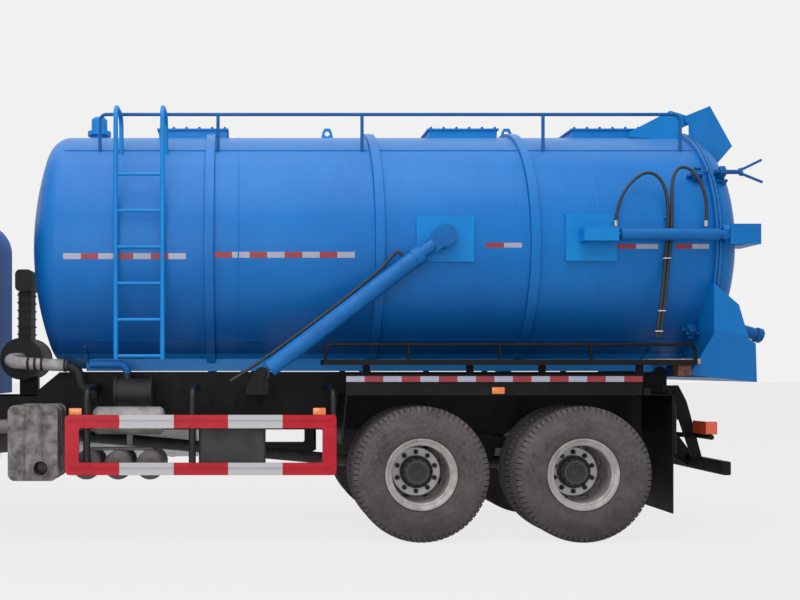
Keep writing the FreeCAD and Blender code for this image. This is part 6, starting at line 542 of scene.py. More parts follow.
RUSTY_STEEL = finish(
    "rusty_steel", (118, 74, 56), (78, 46, 36), 0.8, mottle=(16.0, 2.0), dust=(0.3, 1.0, 1.8, 14.0))
DUCT_PALE = finish(
    "duct_pale", (168, 164, 163), (122, 117, 115), 0.6, mottle=(9.0, 1.6), dust=(0.3, 1.0, 1.8, 12.0))


def glass_finish():
    """Tinted safety glass that lets the cab's inside show."""
    material = bpy.data.materials.new("cab_glass_tint")
    material.use_nodes = True
    tree = material.node_tree
    place = add_node(tree, "ShaderNodeTexCoord")["Object"]
    tone = use_group(
        tree, MOTTLE, place, Light=colour(150, 170, 172), Dark=colour(120, 142, 146), Scale=1.5, Contrast=0.6)
    feed(tree, tree.nodes["Principled BSDF"], {
        "Base Color": tone["Color"], "Roughness": 0.05, "Transmission Weight": 0.75, "IOR": 1.1})
    return material


CAB_GLASS = glass_finish()

NODE_FINISHES = {name: material for names, material in (
    ("frame front_axle springs drive_axles mudguards rear_underrun hose_trays tie_rod", CHASSIS_BLACK),
    ("bumper cab_shell cab_door", CAB_PAINT), ("tank_shell tank_frame", TANK_PAINT),
    ("ladder tank_fittings", PAD_PAINT_LIT), ("top_rails", RAIL_PAINT), ("discharge_chute", CHUTE_PAINT),
    ("rear_door", DOOR_PAINT), ("outlet_pipe lift_barrel lift_rod door_barrel door_rod", CYLINDER_PAINT),
    ("driveline knuckle", CAST_IRON), ("vacuum_pump", PUMP_IRON), ("silencer", SILENCER_STEEL),
    ("air_reservoirs", RESERVOIR_GREY), ("battery_box", BOX_BLACK), ("fuel_tank", ALUMINIUM),
    ("side_guards", GUARD_PAINT), ("lamps", LAMP_LENS), ("cab_glass door_glass", CAB_GLASS),
    ("cab_interior", CABIN_TRIM), ("air_intake grille mirrors", MOULDED_BLACK),
    ("door_hoses lift_hose", HOSE_RUBBER), ("rim", RIM_SILVER), ("tyre", TYRE_RUBBER),
) for name in names.split()}


def dress_nodes():
    """Give every solid of the frame its finish: by its own name, or by the part before a side or an axle."""
    for name, piece in nodes.items():
        kind = name
        while kind not in NODE_FINISHES:
            kind = kind.rpartition("_")[0]
            if not kind:
                raise ValueError("no finish for " + name)
        piece.data.materials.clear()
        piece.data.materials.append(NODE_FINISHES[kind])


dress_nodes()


# Geometry trees for what repeats

def geometry_tree(build, inputs):
    """A geometry tree: build places copies of an item, which are made real and get a material."""
    def realized(tree, given):
        item = add_node(tree, "GeometryNodeObjectInfo", {"Object": given["Item"]})["Geometry"]
        real = add_node(tree, "GeometryNodeRealizeInstances", {0: build(tree, given, item)})[0]
        painted = {"Geometry": real, "Material": given["Material"]}
        return [add_node(tree, "GeometryNodeSetMaterial", painted)[0]]
    sockets = [("Item", "Object", None), ("Count", "Int", None), ("Material", "Material", None)]
    sockets += [(title, form, None) for title, form in inputs.items()]
    return node_group(build.__name__, "GeometryNodeTree", sockets, [("Geometry", "Geometry")], realized)


def around_an_axle(tree, given, item):
    """Copies round an axle; the item's X points outwards and its Z along the axle."""
    circle = add_node(tree, "GeometryNodeMeshCircle", {"Vertices": given["Count"], "Radius": given["Radius"]})[0]
    place = add_node(tree, "GeometryNodeInputPosition")[0]
    outwards = add_node(tree, "FunctionNodeAlignRotationToVector", {"Vector": place}, axis="X", pivot_axis="Z")[0]
    copies = {"Points": circle, "Instance": item, "Rotation": outwards}
    placed = add_node(tree, "GeometryNodeInstanceOnPoints", copies)[0]
    turned = add_node(tree, "GeometryNodeTransform", {"Geometry": placed, "Rotation": given["Phase"]})[0]
    move = {"Geometry": turned, "Rotation": given["Tilt"], "Translation": given["Centre"]}
    return add_node(tree, "GeometryNodeTransform", move)[0]


def along_a_line(tree, given, item):
    """Copies along a straight line."""
    steps = {"Count": given["Count"], "Start Location": given["Start"], "Offset": given["Step"]}
    line = add_node(tree, "GeometryNodeMeshLine", steps, mode="OFFSET")[0]
    copies = {"Points": line, "Instance": item, "Rotation": given["Turn"]}
    return add_node(tree, "GeometryNodeInstanceOnPoints", copies)[0]


RING = geometry_tree(around_an_axle, {"Radius": "Float", "Phase": "Vector", "Tilt": "Vector", "Centre": "Vector"})
ROW = geometry_tree(along_a_line, {"Start": "Vector", "Step": "Vector", "Turn": "Vector"})


def grow(tree, **values):
    """Run a geometry tree once and return its mesh."""
    carrier = add_object("carrier", bpy.data.meshes.new("carrier"))
    modifier = carrier.modifiers.new("grow", "NODES")
    modifier.node_group = tree
    for socket in tree.interface.items_tree:
        if socket.in_out == "INPUT":
            modifier[socket.identifier] = values[socket.name]
    graph = bpy.context.evaluated_depsgraph_get()
    mesh = bpy.data.meshes.new_from_object(carrier.evaluated_get(graph))
    carrier.modifiers.clear()
    bpy.data.objects.remove(carrier)
    return mesh


def joined(name, meshes, body, replaced=()):
    """One piece on a body from several meshes, keeping their materials."""
    whole = bpy.data.meshes.new(name)
    materials = []
    bm = bmesh.new()
    for mesh in meshes:
        before = len(bm.faces)
        bm.from_mesh(mesh)
        bm.faces.ensure_lookup_table()
        for face in bm.faces[before:]:
            material = mesh.materials[face.material_index] if mesh.materials else None
            if material not in materials:
                materials.append(material)
            face.material_index = materials.index(material)
    bm.to_mesh(whole)
    bm.free()
    for material in materials:
        whole.materials.append(material)
    piece = add_object(name, whole)
    if replaced:
        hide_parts(*replaced)
    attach(piece, body)


def single(name, build, smooth, material, body):
    """One piece on a body from one mesh with one material."""
    joined(name, [mesh_from(name, build, smooth, [material])], body)


def turned_item(name, outline, sides, smooth):
    """A small turned part that stands on Z, for the geometry trees to copy."""
    def build(bm):
        add_lathe(bm, outline, (0, 0, 0), "Z", sides)
    return add_object(name, mesh_from(name, build, smooth))


def hexagon_nut(name, across, height, stud, stud_height):
    """Flanged nut with a chamfered hexagon and the stud's end."""
    flange = across * 0.66
    outline = [(0.0, 0.0), (0.0, flange), (height * 0.12, flange), (height * 0.2, across * 0.57)]
    outline += [(height * 0.88, across * 0.57), (height, across * 0.47), (height, stud)]
    outline += [(height + stud_height * 0.85, stud), (height + stud_height, stud * 0.8)]
    outline += [(height + stud_height, 0.0)]
    return turned_item(name, outline, 6, 25)


WHEEL_NUT = hexagon_nut("wheel_nut", 0.034, 0.026, 0.011, 0.014)
CAP_BOLT = hexagon_nut("hub_bolt", 0.018, 0.010, 0.004, 0.002)
FRAME_BOLT = hexagon_nut("frame_bolt", 0.024, 0.014, 0.007, 0.006)
ROUND_HEAD = turned_item(
    "round_head", [(0.0, 0.0), (0.0, 0.011), (0.0042, 0.011), (0.007, 0.0077), (0.007, 0.0)], 8, 30)


# Tyres and wheels

TREAD_BLOCKS = 72
TREAD_RADIUS = 0.5400
TREAD_PHASE = 0.03
BLOCK_HALF_LENGTH = 0.0190
BLOCK_STAGGER = 0.008
NUTS, NUT_CIRCLE, NUT_PHASE = 10, 0.1675, 0.314
CAP_BOLTS, CAP_BOLT_CIRCLE, CAP_BOLT_REACH = 12, 0.1035, 0.076
TYRE_WALL = (
    (0.1105, 0.2545), (0.1105, 0.301), (0.1150, 0.309), (0.1225, 0.313), (0.1240, 0.319), (0.1300, 0.324),
    (0.1345, 0.334), (0.1350, 0.338), (0.1372, 0.339), (0.1440, 0.356), (0.1515, 0.382), (0.1530, 0.3845),
    (0.1562, 0.405), (0.1575, 0.425), (0.1568, 0.446), (0.1572, 0.449), (0.1566, 0.455), (0.1525, 0.484),
    (0.1475, 0.508), (0.1478, 0.511), (0.1446, 0.519), (0.1330, 0.534), (0.1180, 0.5455), (0.0880, 0.5505),
)
TYRE_TREAD = (
    (0.0870, 0.5655), (0.0480, 0.5690), (0.0455, 0.5560), (0.0335, 0.5560), (0.0310, 0.5698),
    (0.0070, 0.5700), (0.0060, 0.5570),
)
BLOCK_SECTION = (
    (0.0020, 0.1345), (-0.0360, 0.1480), (-0.0140, 0.1455), (0.0130, 0.1375), (0.0250, 0.1240),
    (0.0285, 0.1000), (0.0285, 0.0890), (0.0080, 0.0890),
)
HUB_CAP = (
    (0.0425, 0.141), (0.0425, 0.1405), (0.046, 0.132), (0.0725, 0.1135), (0.0765, 0.109), (0.0765, 0.0957),
    (0.0868, 0.0957), (0.0928, 0.088), (0.0928, 0.052), (0.0968, 0.047), (0.0968, 0.0),
)


def tread_block(bm):
    """One pair of shoulder blocks; X outwards from the ring and Z along the axle."""
    for side in (-1, 1):
        add_prism(bm, *(
            [(x, end * BLOCK_HALF_LENGTH + side * BLOCK_STAGGER, side * z) for x, z in BLOCK_SECTION]
            for end in (-1, 1)))


TREAD_BLOCK = add_object("tread_block", mesh_from("tread_block", tread_block))


def tyre_meshes(x, y):
    """One tyre at its place: ribbed walls with a grooved tread, and its shoulder blocks."""
    half = list(TYRE_WALL + TYRE_TREAD)
    outline = half + [(-along, radius) for along, radius in reversed(half)]

    def build(bm):
        add_lathe(bm, outline, (x, y, AXLE_Z), "Y", 96, closed=True)
    blocks = grow(
        RING, Item=TREAD_BLOCK, Count=TREAD_BLOCKS, Radius=TREAD_RADIUS, Phase=(0.0, 0.0, TREAD_PHASE),
        Tilt=(math.pi / 2, 0.0, 0.0), Centre=(x, y, AXLE_Z), Material=TYRE_RUBBER)
    return [mesh_from("tyre_body", build, 28, [TYRE_RUBBER]), blocks]


def across_side(side):
    """The turn that stands a bolt out from the truck's side."""
    return (-side * math.pi / 2, 0.0, 0.0)


def dress_wheel(name, x, side, hub_y, tyre_ys, face_y):
    """Tyres, wheel nuts, hub cap bolts and the hub's dark cap on one wheel."""
    label, sign = side
    body = "wheel_" + name + "_" + label
    tyres = [mesh for y in tyre_ys for mesh in tyre_meshes(x, sign * y)]
    joined("tyres_" + name + "_" + label, tyres, body, replaced=["tyre_" + name + "_" + label])
    meshes = []
    for item, count, radius, phase, y in (
            (WHEEL_NUT, NUTS, NUT_CIRCLE, NUT_PHASE, face_y),
            (CAP_BOLT, CAP_BOLTS, CAP_BOLT_CIRCLE, 0.0, hub_y + CAP_BOLT_REACH)):
        meshes.append(grow(
            RING, Item=item, Count=count, Radius=radius, Phase=(0.0, 0.0, phase), Tilt=across_side(sign),
            Centre=(x, sign * y, AXLE_Z), Material=NUT_STEEL))

    def build(bm):
        outline = [(sign * (hub_y + out), radius) for out, radius in HUB_CAP]
        add_lathe(bm, outline, (x, 0.0, AXLE_Z), "Y", 48)
    meshes.append(mesh_from("hub_cover", build, 30, [HUB_DARK]))
    joined("hub_fittings_" + name + "_" + label, meshes, body)


for side in SIDES:
    outer, inner = REAR_HUB_Y + RIM_OFFSET, REAR_HUB_Y - RIM_OFFSET
    for number, axle_x in DRIVE_X.items():
        dress_wheel("drive_" + number, axle_x, side, REAR_HUB_Y, (outer, inner), REAR_HUB_Y + DISC_THICKNESS)
    dress_wheel("front", STEER_X, side, FRONT_HUB_Y, (FRONT_HUB_Y - RIM_OFFSET,), FRONT_HUB_Y)


# Reflecting tape

TAPE_IN, TAPE_OUT = -0.001, 0.0012
TANK_TAPES = (
    (-1.600, 7, 0.1480, False, 2.403, 0.050), (-0.322, 8, 0.1480, True, 2.414, 0.050),
    (1.969, 2, 0.1520, True, 2.495, 0.040), (3.050, 2, 0.1855, True, 2.485, 0.040),
    (3.569, 2, 0.1410, True, 2.485, 0.040),
)


def tape_on_tank(side, x_start, segments, length, first_red, z_middle, height):
    """A run of red and white tape lengths bent to the tank's skin."""
    middle = math.asin((z_middle - TANK_AXIS_Z) / TANK_RADIUS)
    half = height / 2 / TANK_RADIUS
    section = []
    for radius, steps in ((TANK_RADIUS + TAPE_IN, (0, 1, 2, 3)), (TANK_RADIUS + TAPE_OUT, (3, 2, 1, 0))):
        for step in steps:
            angle = middle - half + 2 * half * step / 3
            section.append((side * radius * math.cos(angle), TANK_AXIS_Z + radius * math.sin(angle)))

    def build(bm):
        for number in range(segments):
            ends = ([(x_start + length * place, *corner) for corner in section] for place in (number, number + 1))
            add_prism(bm, *ends, index=0 if (number % 2 == 0) == first_red else 1)
    return mesh_from("tape", build, materials=(TAPE_RED, TAPE_WHITE))


def tape_on_board(side, x_start, x_end, segments, z_range):
    """Tape lengths along the board over the rear wheels."""
    length = (x_end - x_start) / segments

    def build(bm):
        for number in range(segments):
            x = x_start + length * number
            side_box(
                bm, side, (x, BODY_HALF_WIDTH - 0.002, z_range[0]),
                (x + length - 0.001, BODY_HALF_WIDTH + TAPE_OUT, z_range[1]), index=1 - number % 2)
    return mesh_from("board_tape", build, materials=(TAPE_RED, TAPE_WHITE))


joined("tank_tapes", [tape_on_tank(side, *tape) for side in (-1, 1) for tape in TANK_TAPES], "tank")
joined("board_tapes", [tape_on_board(side, 0.773, 3.230, 16, (1.3435, 1.390)) for side in (-1, 1)], "chassis")


# Hydraulic hoses of the tank, and the fittings on them

HOSE_RADIUS = 0.013
HOSE_Y = 1.105
LIFT_Y = 1.185
DOOR_HOSE_ROUTES = (
    ((3.053, 1.112, 2.660), (3.058, 1.112, 2.770), (3.123, 1.102, 2.950), (3.253, 1.080, 3.085),
     (3.373, 1.060, 3.120), (3.458, 1.082, 3.040), (3.495, HOSE_Y, 2.880), (3.496, HOSE_Y, 2.635),
     (3.471, HOSE_Y, 2.374), (3.437, HOSE_Y, 1.995), (3.397, HOSE_Y, 1.720)),
    ((3.813, HOSE_Y, 2.660), (3.828, HOSE_Y, 2.790), (3.798, 1.100, 2.980), (3.718, 1.060, 3.140),
     (3.613, 1.045, 3.170), (3.543, 1.075, 3.060), (3.526, HOSE_Y, 2.900), (3.526, HOSE_Y, 2.635),
     (3.501, HOSE_Y, 2.374), (3.467, HOSE_Y, 1.995), (3.427, HOSE_Y, 1.720)),
)
LIFT_HOSE_ROUTE = (
    (1.2552, LIFT_Y, 2.3919), (1.2189, LIFT_Y, 2.4397), (1.1711, LIFT_Y, 2.4034), (1.0334, LIFT_Y, 2.2398),
    (0.0727, LIFT_Y, 1.5098), (-0.190, LIFT_Y, 1.348),
)
TIE_PLACES = ((3.487, 2.382), (3.444, 1.940), (3.419, 1.768))
FERRULE = (
    (-0.012, 0.0135), (-0.012, 0.0165), (0.024, 0.0175), (0.026, 0.0155), (0.028, 0.0175), (0.038, 0.0175),
    (0.040, 0.014),
)


def hose(name, route, side, body, node):
    """One hose on its body, in place of its plain solid."""
    points = [(x, side * y, z) for x, y, z in route]
    curve = spline_curve(name, points)
    line = [vert.co.copy() for vert in curve_mesh(curve).vertices]
    length = sum((there - here).length for here, there in zip(line, line[1:]))
    curve.bevel_depth = HOSE_RADIUS
    curve.bevel_resolution = 4
    curve.materials.append(HOSE_RUBBER)
    piece = add_object(name, curve)
    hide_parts(node)
    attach(piece, body)
    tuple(points[0])


def bundle_tie(bm, side, x, z):
    """Flat tie drawn round the pair of hoses."""
    half_long, half_wide, half_height, thick = 0.0305, 0.0155, 0.004, 0.002
    section = ((0.0, -half_height), (thick, -half_height), (thick, half_height), (0.0, half_height))
    rings = []
    for number in range(24):
        angle = 2 * math.pi * number / 24
        lean, across = (abs(way)**0.6 * math.copysign(1.0, way) for way in (math.cos(angle), math.sin(angle)))
        rings.append([bm.verts.new((
            x + (half_long + out) * lean, side * HOSE_Y + (half_wide + out) * across, z + up))
            for out, up in section])
    skin(bm, rings + rings[:1])


def dress_hoses(label, side):
    """Hoses, crimped ferrules and ties of one side."""
    for letter, route in zip("ab", DOOR_HOSE_ROUTES):
        hose("door_hose_" + letter + "_" + label, route, side, "tank", "door_hoses")
    hose("lift_line_" + label, LIFT_HOSE_ROUTE, side, "lift_barrel_" + label, "lift_hose_" + label)

    def ferrules(bm):
        for route in DOOR_HOSE_ROUTES:
            x, y, z = route[0]
            add_lathe(bm, FERRULE, (x, side * y, z), "Z", 20)

    def ties(bm):
        for x, z in TIE_PLACES:
            bundle_tie(bm, side, x, z)
    ends = mesh_from("hose_fittings", ferrules, 30, [FITTING_ZINC])
    joined("hose_fittings_" + label, [ends, mesh_from("hose_ties", ties, 40, [TIE_WHITE])], "tank")


for label, side in SIDES:
    dress_hoses(label, side)


# Padded seats in the cab

SEAT_X = STEER_X - 0.380
SEAT_Y = 0.610
CUSHION_Z = 1.6275
BACK_FOOT_Z = 1.660
BACK_HALF = 0.390
BACK_LENGTH = 0.870
BACK_SETBACK = 0.195
BACK_RAKE = 0.108
BACK_THINNING = 0.26
SEAT_CHANNELS = (-0.09, 0.09)
CHANNEL_WIDTH = 0.011
PAD_STEPS = 20


def pad_mesh(name, half, rounding, crown, shape):
    """Closed stuffed form: a rounded block with crowned faces, sewn channels and its place from a function."""
    def place(corner):
        spread = [math.sin(value * math.pi / 2) for value in corner]
        point = Vector([share * size for share, size in zip(spread, half)])
        inner = Vector([
            max(rounding - size, min(size - rounding, value)) for value, size in zip(point, half)])
        out = point - inner
        if out.length > 0:
            point = inner + out.normalized() * rounding
        swell = crown * (1 - spread[0]**2) * (1 - spread[1]**2)
        for channel in SEAT_CHANNELS:
            swell -= crown * 0.55 * math.exp(-((point.y - channel) / CHANNEL_WIDTH)**2)
        if spread[2] > 0.9:
            point.z += swell
        return point

    def build(bm):
        bmesh.ops.create_cube(bm, size=2.0)
        bmesh.ops.subdivide_edges(bm, edges=list(bm.edges), cuts=PAD_STEPS - 1, use_grid_fill=True)
        for vert in bm.verts:
            vert.co = shape(place(tuple(vert.co)))
    return mesh_from(name, build, 60, [SEAT_CLOTH])


def padded_seat(label, side):
    """Cushion and backrest covers of one seat, over the seat's plain form."""
    middle_y = side * SEAT_Y

    def flat(point):
        return Vector((SEAT_X + point.x, middle_y + point.y, CUSHION_Z + point.z))

    def upright(point):
        rise = (point.x + BACK_HALF) / BACK_LENGTH
        depth = 1.0 - BACK_THINNING * rise
        back_x = SEAT_X + BACK_SETBACK + BACK_RAKE * rise
        return Vector((back_x - point.z * depth, middle_y + point.y, BACK_FOOT_Z + BACK_HALF + point.x))
    cushion = pad_mesh("cushion", (0.272, 0.272, 0.0875), 0.026, 0.022, flat)
    back = pad_mesh("backrest", (0.392, 0.272, 0.082), 0.026, 0.024, upright)
    for part, mesh in (("seat_cushion_", cushion), ("seat_back_", back)):
        piece = add_object(part + label, mesh)
        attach(piece, "cab")


for label, side in SIDES:
    padded_seat(label, side)


# Small fasteners, weld beads, markers and loose fittings

WELD_STEPS = 360
WELD_HEIGHT = 0.0035


def side_row(item, side, count, start, step, material):
    """A row of bolts along one side, which stand out from it."""
    x, y, z = start
    return grow(
        ROW, Item=item, Count=count, Start=(x, side * y, z), Step=(step, 0.0, 0.0), Turn=across_side(side),
        Material=material)


def weld_bead(bm, x):
    """Uneven bead of weld all round the tank."""
    shoulder = WELD_HEIGHT * 0.8
    section = ((-0.008, -0.001), (-0.004, shoulder), (0.0, WELD_HEIGHT), (0.004, shoulder), (0.008, -0.001))
    rings = []
    for number in range(WELD_STEPS):
        angle = 2 * math.pi * number / WELD_STEPS
        wobble = 0.0006 * math.sin(angle * 97) + 0.0005 * math.sin(angle * 211 + 1.3)
        ring = []
        for along, out in section:
            reach = TANK_RADIUS + out + wobble
            ring.append(bm.verts.new((
                x + along + wobble, reach * math.cos(angle), TANK_AXIS_Z + reach * math.sin(angle))))
        rings.append(ring)
    skin(bm, rings + rings[:1], closed=False)


def tank_welds(bm):
    """Beads along the hoops and between the shell's sheets."""
    places = [TANK_FRONT_X + TANK_LENGTH * share + side for share in HOOP_SHARES for side in (-0.044, 0.044)]
    for x in places + [-0.120, 2.930]:
        weld_bead(bm, x)


def chassis_fasteners():
    """Bolts of the frame, the side guards and the mudguards' skirt."""
    meshes = []
    for side in (-1, 1):
        for z in (0.965, 1.135):
            meshes.append(side_row(FRAME_BOLT, side, 14, (-2.30, 0.425, z), 0.215, CHASSIS_BLACK))
        for x in (-1.385, -0.504, 0.640):
            for z in (0.584, 0.659, 0.981, 1.047):
                start = (x - 0.012, BODY_HALF_WIDTH, z)
                meshes.append(side_row(ROUND_HEAD, side, 2, start, 0.045, GUARD_PAINT))
        meshes.append(side_row(ROUND_HEAD, side, 8, (0.860, 1.228, 1.262), 0.325, CHASSIS_BLACK))
    return meshes


def hatch_fasteners():
    """Bolts along both edges of the manhole lids."""
    meshes = []
    for share in HATCH_SHARES:
        x = TANK_FRONT_X + TANK_LENGTH * share - 0.295
        for y in (-0.245, 0.245):
            meshes.append(grow(
                ROW, Item=FRAME_BOLT, Count=6, Start=(x, y, 3.665), Step=(0.118, 0.0, 0.0),
                Turn=(0.0, 0.0, 0.0), Material=RAIL_PAINT))
    return meshes


def side_markers(bm):
    """Amber marker lamps on the side guards' top edge and on the mudguard skirt."""
    for side in (-1, 1):
        side_box(bm, side, (-1.5255, 1.216, 1.0695), (-1.4195, 1.239, 1.1255), bevel=0.006)
        side_box(bm, side, (0.498, 1.216, 1.0695), (0.6045, 1.239, 1.1285), bevel=0.006)
        side_box(bm, side, (1.983, 1.2285, 1.243), (2.088, 1.2395, 1.299), bevel=0.006)


def mirror_faces(bm):
    """Mirror glass on the rear of both housings."""
    for side in (-1, 1):
        side_box(bm, side, (-4.6060, 1.355, 2.150), (-4.6030, 1.525, 2.710), bevel=0.001)


def plank(bm):
    """Light plank that lies in the left tray."""
    add_box(bm, (3.354, -1.195, 1.4925), (3.733, -0.905, 1.535), bevel=0.003)


def rusty_box(bm):
    """Small rusty box under the left tray."""
    add_box(bm, (3.545, -1.190, 1.392), (3.655, -1.080, 1.4837), bevel=0.004)


single("tank_welds", tank_welds, 50, TANK_PAINT, "tank")
joined("chassis_fasteners", chassis_fasteners(), "chassis")
joined("hatch_fasteners", hatch_fasteners(), "tank")
single("side_markers", side_markers, 35, AMBER_LENS, "chassis")
single("mirror_faces", mirror_faces, 35, MIRROR_FACE, "cab")
joined("tray_load", [
    mesh_from("plank", plank, 35, [PLANK_WOOD]), mesh_from("rusty_box", rusty_box, 35, [RUSTY_STEEL])], "chassis")


# Brackets at the tail, and what holds the rear door shut

CLAMP_ANGLES = (31.3, -42.0)
CLAMP_BOLT_Z = TANK_TOP_Z + 0.075
REST_Y = -0.420
REST_Z = TANK_AXIS_Z + 0.930
REST_KNEE_X = 4.353
REST_STEM_RADIUS = 0.0224
REST_HALF_WIDTH = 0.024
REST_HALF_HEIGHT = 0.13
TAIL_OUTLINE = (
    (3.600, 1.306), (3.745, 1.306), (3.815, 1.172), (3.848, 1.059), (3.952, 0.6755), (3.860, 0.6755),
    (3.750, 1.000), (3.600, 1.060),
)


def tail_brackets(bm):
    """Slanted bracket plates between the frame's tail and the underrun beam."""
    for side in (-1, 1):
        add_prism(bm, *([(x, side * y, z) for x, z in TAIL_OUTLINE] for y in (0.700, 0.714)))
        side_box(bm, side, (3.665, 0.4255, 1.070), (3.735, 0.700, 1.130), bevel=0.004)


def about_tank(bm, parts, angle):
    """Parts that are built on the tank's top, turned about its axis to an angle above its left side."""
    start = len(bm.verts)
    parts(bm)
    lean = math.radians(90 - angle)
    for vert in list(bm.verts)[start:]:
        y, z = vert.co.y, vert.co.z - TANK_AXIS_Z
        vert.co.y = y * math.cos(lean) - z * math.sin(lean)
        vert.co.z = TANK_AXIS_Z + y * math.sin(lean) + z * math.cos(lean)


def top_boxes(bm, boxes):
    """Boxes given by their lengths, widths, heights over the tank's top and bevel."""
    for x, y, z, bevel in boxes:
        add_box(bm, (x[0], y[0], TANK_TOP_Z + z[0]), (x[1], y[1], TANK_TOP_Z + z[1]), bevel=bevel)


def seam_clamp(bm):
    """Claw and swing bolt on the tank's half of the seam."""
    top_boxes(bm, (
        ((3.765, 3.835), (-0.048, 0.048), (-0.006, 0.052), 0.005),
        ((3.725, 3.765), (-0.012, 0.012), (-0.006, 0.040), 0.003),
        ((3.770, 3.830), (-0.048, -0.020), (0.052, 0.098), 0.004),
        ((3.770, 3.830), (0.020, 0.048), (0.052, 0.098), 0.004)))
    bolt = [(3.748, 0.0), (3.748, 0.016), (3.884, 0.016), (3.884, 0.0)]
    add_lathe(bm, bolt, (0.0, 0.0, CLAMP_BOLT_Z), "X", 14)


def seam_clamps(side):
    """The clamps of one side."""
    def build(bm):
        for angle in CLAMP_ANGLES:
            about_tank(bm, seam_clamp, angle if side < 0 else 180 - angle)
    return mesh_from("seam_clamps", build, 35, [RAIL_PAINT])


def thin_bar(bm, start, end, radius, steps=12):
    """Round bar between two points, with flat ends."""
    start, end = Vector(start), Vector(end)
    along = (end - start).normalized()
    side = along.orthogonal().normalized()
    other = along.cross(side)
    turns = [2 * math.pi * step / steps for step in range(steps)]
    spokes = [(side * math.cos(turn) + other * math.sin(turn)) * radius for turn in turns]
    add_prism(bm, *([centre + spoke for spoke in spokes] for centre in (start, end)))


def hose_fork(bm):
    """Forked rest on the door's clamp lug: a lug with its gusset, a stem and two prongs."""
    level = CLAMP_BOLT_Z
    top_boxes(bm, (
        ((3.978, 4.029), (-0.040, 0.040), (-0.045, 0.108), 0.005),
        ((3.945, 4.060), (-0.058, -0.040), (-0.030, 0.030), 0.004),
        ((3.945, 4.060), (0.040, 0.058), (-0.030, 0.030), 0.004)))
    thin_bar(bm, (3.945, 0.0, level), (4.160, 0.0, level), 0.019)
    add_box(bm, (4.146, -0.032, level - 0.016), (4.176, 0.032, level + 0.016), bevel=0.005)
    for near, far, reach in ((0.024, 0.135, 0.204), (-0.024, -0.115, 0.153)):
        thin_bar(bm, (4.160, near * 0.6, level), (4.178, near * 1.5, level), 0.012)
        thin_bar(bm, (4.172, near, level), (4.166 + reach, far, level), 0.0115)


def on_rest(place):
    """Whether a corner belongs to the plain fork's stem or prongs."""
    across, up = place.y - REST_Y, place.z - REST_Z
    if abs(up) > REST_HALF_HEIGHT or abs(across) > REST_HALF_WIDTH:
        return False
    return place.x > REST_KNEE_X - 0.02 or across**2 + up**2 < REST_STEM_RADIUS**2


def door_dish(bm):
    """The door's own faces without the plain fork that stands out of its dish; the hole is closed."""
    bm.from_mesh(nodes["rear_door"].data)
    bmesh.ops.remove_doubles(bm, verts=bm.verts[:], dist=0.00002)
    gone = [face for face in bm.faces if all(on_rest(vert.co) for vert in face.verts)]
    bmesh.ops.delete(bm, geom=gone, context="FACES")
    bmesh.ops.holes_fill(bm, edges=[edge for edge in bm.edges if edge.is_boundary], sides=0)


def door_fork(bm):
    """The forked hose rest where the photograph has it."""
    about_tank(bm, hose_fork, CLAMP_ANGLES[0])


def door_gasket(bm):
    """Dark rubber in the seam between the tank's flange and the door's."""
    section = [(3.9145, 1.1180), (3.9145, 1.1256), (3.9226, 1.1256), (3.9226, 1.1180)]
    add_lathe(bm, section, (0.0, 0.0, TANK_AXIS_Z), "X", 128, closed=True)


bolts = [
    side_row(FRAME_BOLT, side, 2, (3.640, 0.714, z), 0.070, CHASSIS_BLACK) for side in (-1, 1) for z in (1.100, 1.250)]
joined("tail_brackets", [mesh_from("tail_brackets", tail_brackets, 30, [CHASSIS_BLACK])] + bolts, "chassis")
joined("seam_clamps", [seam_clamps(-1), seam_clamps(1)], "tank")


# Window seals, wipers and the intake duct

WINDOW_CORNERS = ((-4.4586, 1.960), (-4.3655, 2.675), (-3.627, 2.675), (-3.627, 1.960))
WINDOW_ROUND = 0.070
WINDOW_Y = 1.222
SCREEN_FOOT = Vector((-4.680, 0.0, 1.900))
SCREEN_RISE = Vector((0.130, 0.0, 0.880)).normalized()
DUCT_Y = -0.640
DUCT_BAND_Z = 1.496
DUCT_FALL = 0.045


def window_seal(outline, side):
    """Rubber seal round a side window: a closed band that follows the pane's edge."""
    curve = spline_curve("window_seal", [(x, side * WINDOW_Y, z) for x, z in outline], "POLY")
    curve.splines[0].use_cyclic_u = True
    curve.bevel_depth = 0.011
    curve.bevel_resolution = 2
    return curve_mesh(curve, MOULDED_BLACK)


def rounded_outline(corners, radius, steps=6):
    """The corners of a closed outline, each rounded."""
    points = []
    count = len(corners)
    for number in range(count):
        here = Vector(corners[number])
        back = (Vector(corners[number - 1]) - here).normalized()
        onward = (Vector(corners[(number + 1) % count]) - here).normalized()
        half = math.acos(max(-1.0, min(1.0, back.dot(onward)))) / 2
        reach = radius / math.tan(half)
        centre = here + (back + onward).normalized() * (radius / math.sin(half))
        first = here + back * reach - centre
        last = here + onward * reach - centre
        for step in range(steps + 1):
            share = step / steps
            spoke = (first * (1 - share) + last * share).normalized() * radius
            points.append(tuple(centre + spoke))
    return points


def screen_bar(bm, start, end, half_width, rise):
    """Flat bar lying on the windscreen between two places given across and up the pane."""
    outward = Vector((-SCREEN_RISE.z, 0.0, SCREEN_RISE.x))
    first, last = (SCREEN_FOOT + SCREEN_RISE * up + Vector((0.0, y, 0.0)) for y, up in (start, end))
    across = (last - first).normalized().cross(outward) * half_width
    section = ((-1, 0.001), (1, 0.001), (1, rise), (-1, rise))
    add_prism(bm, *(
        [place + across * way + outward * lift for way, lift in section] for place in (first, last)))


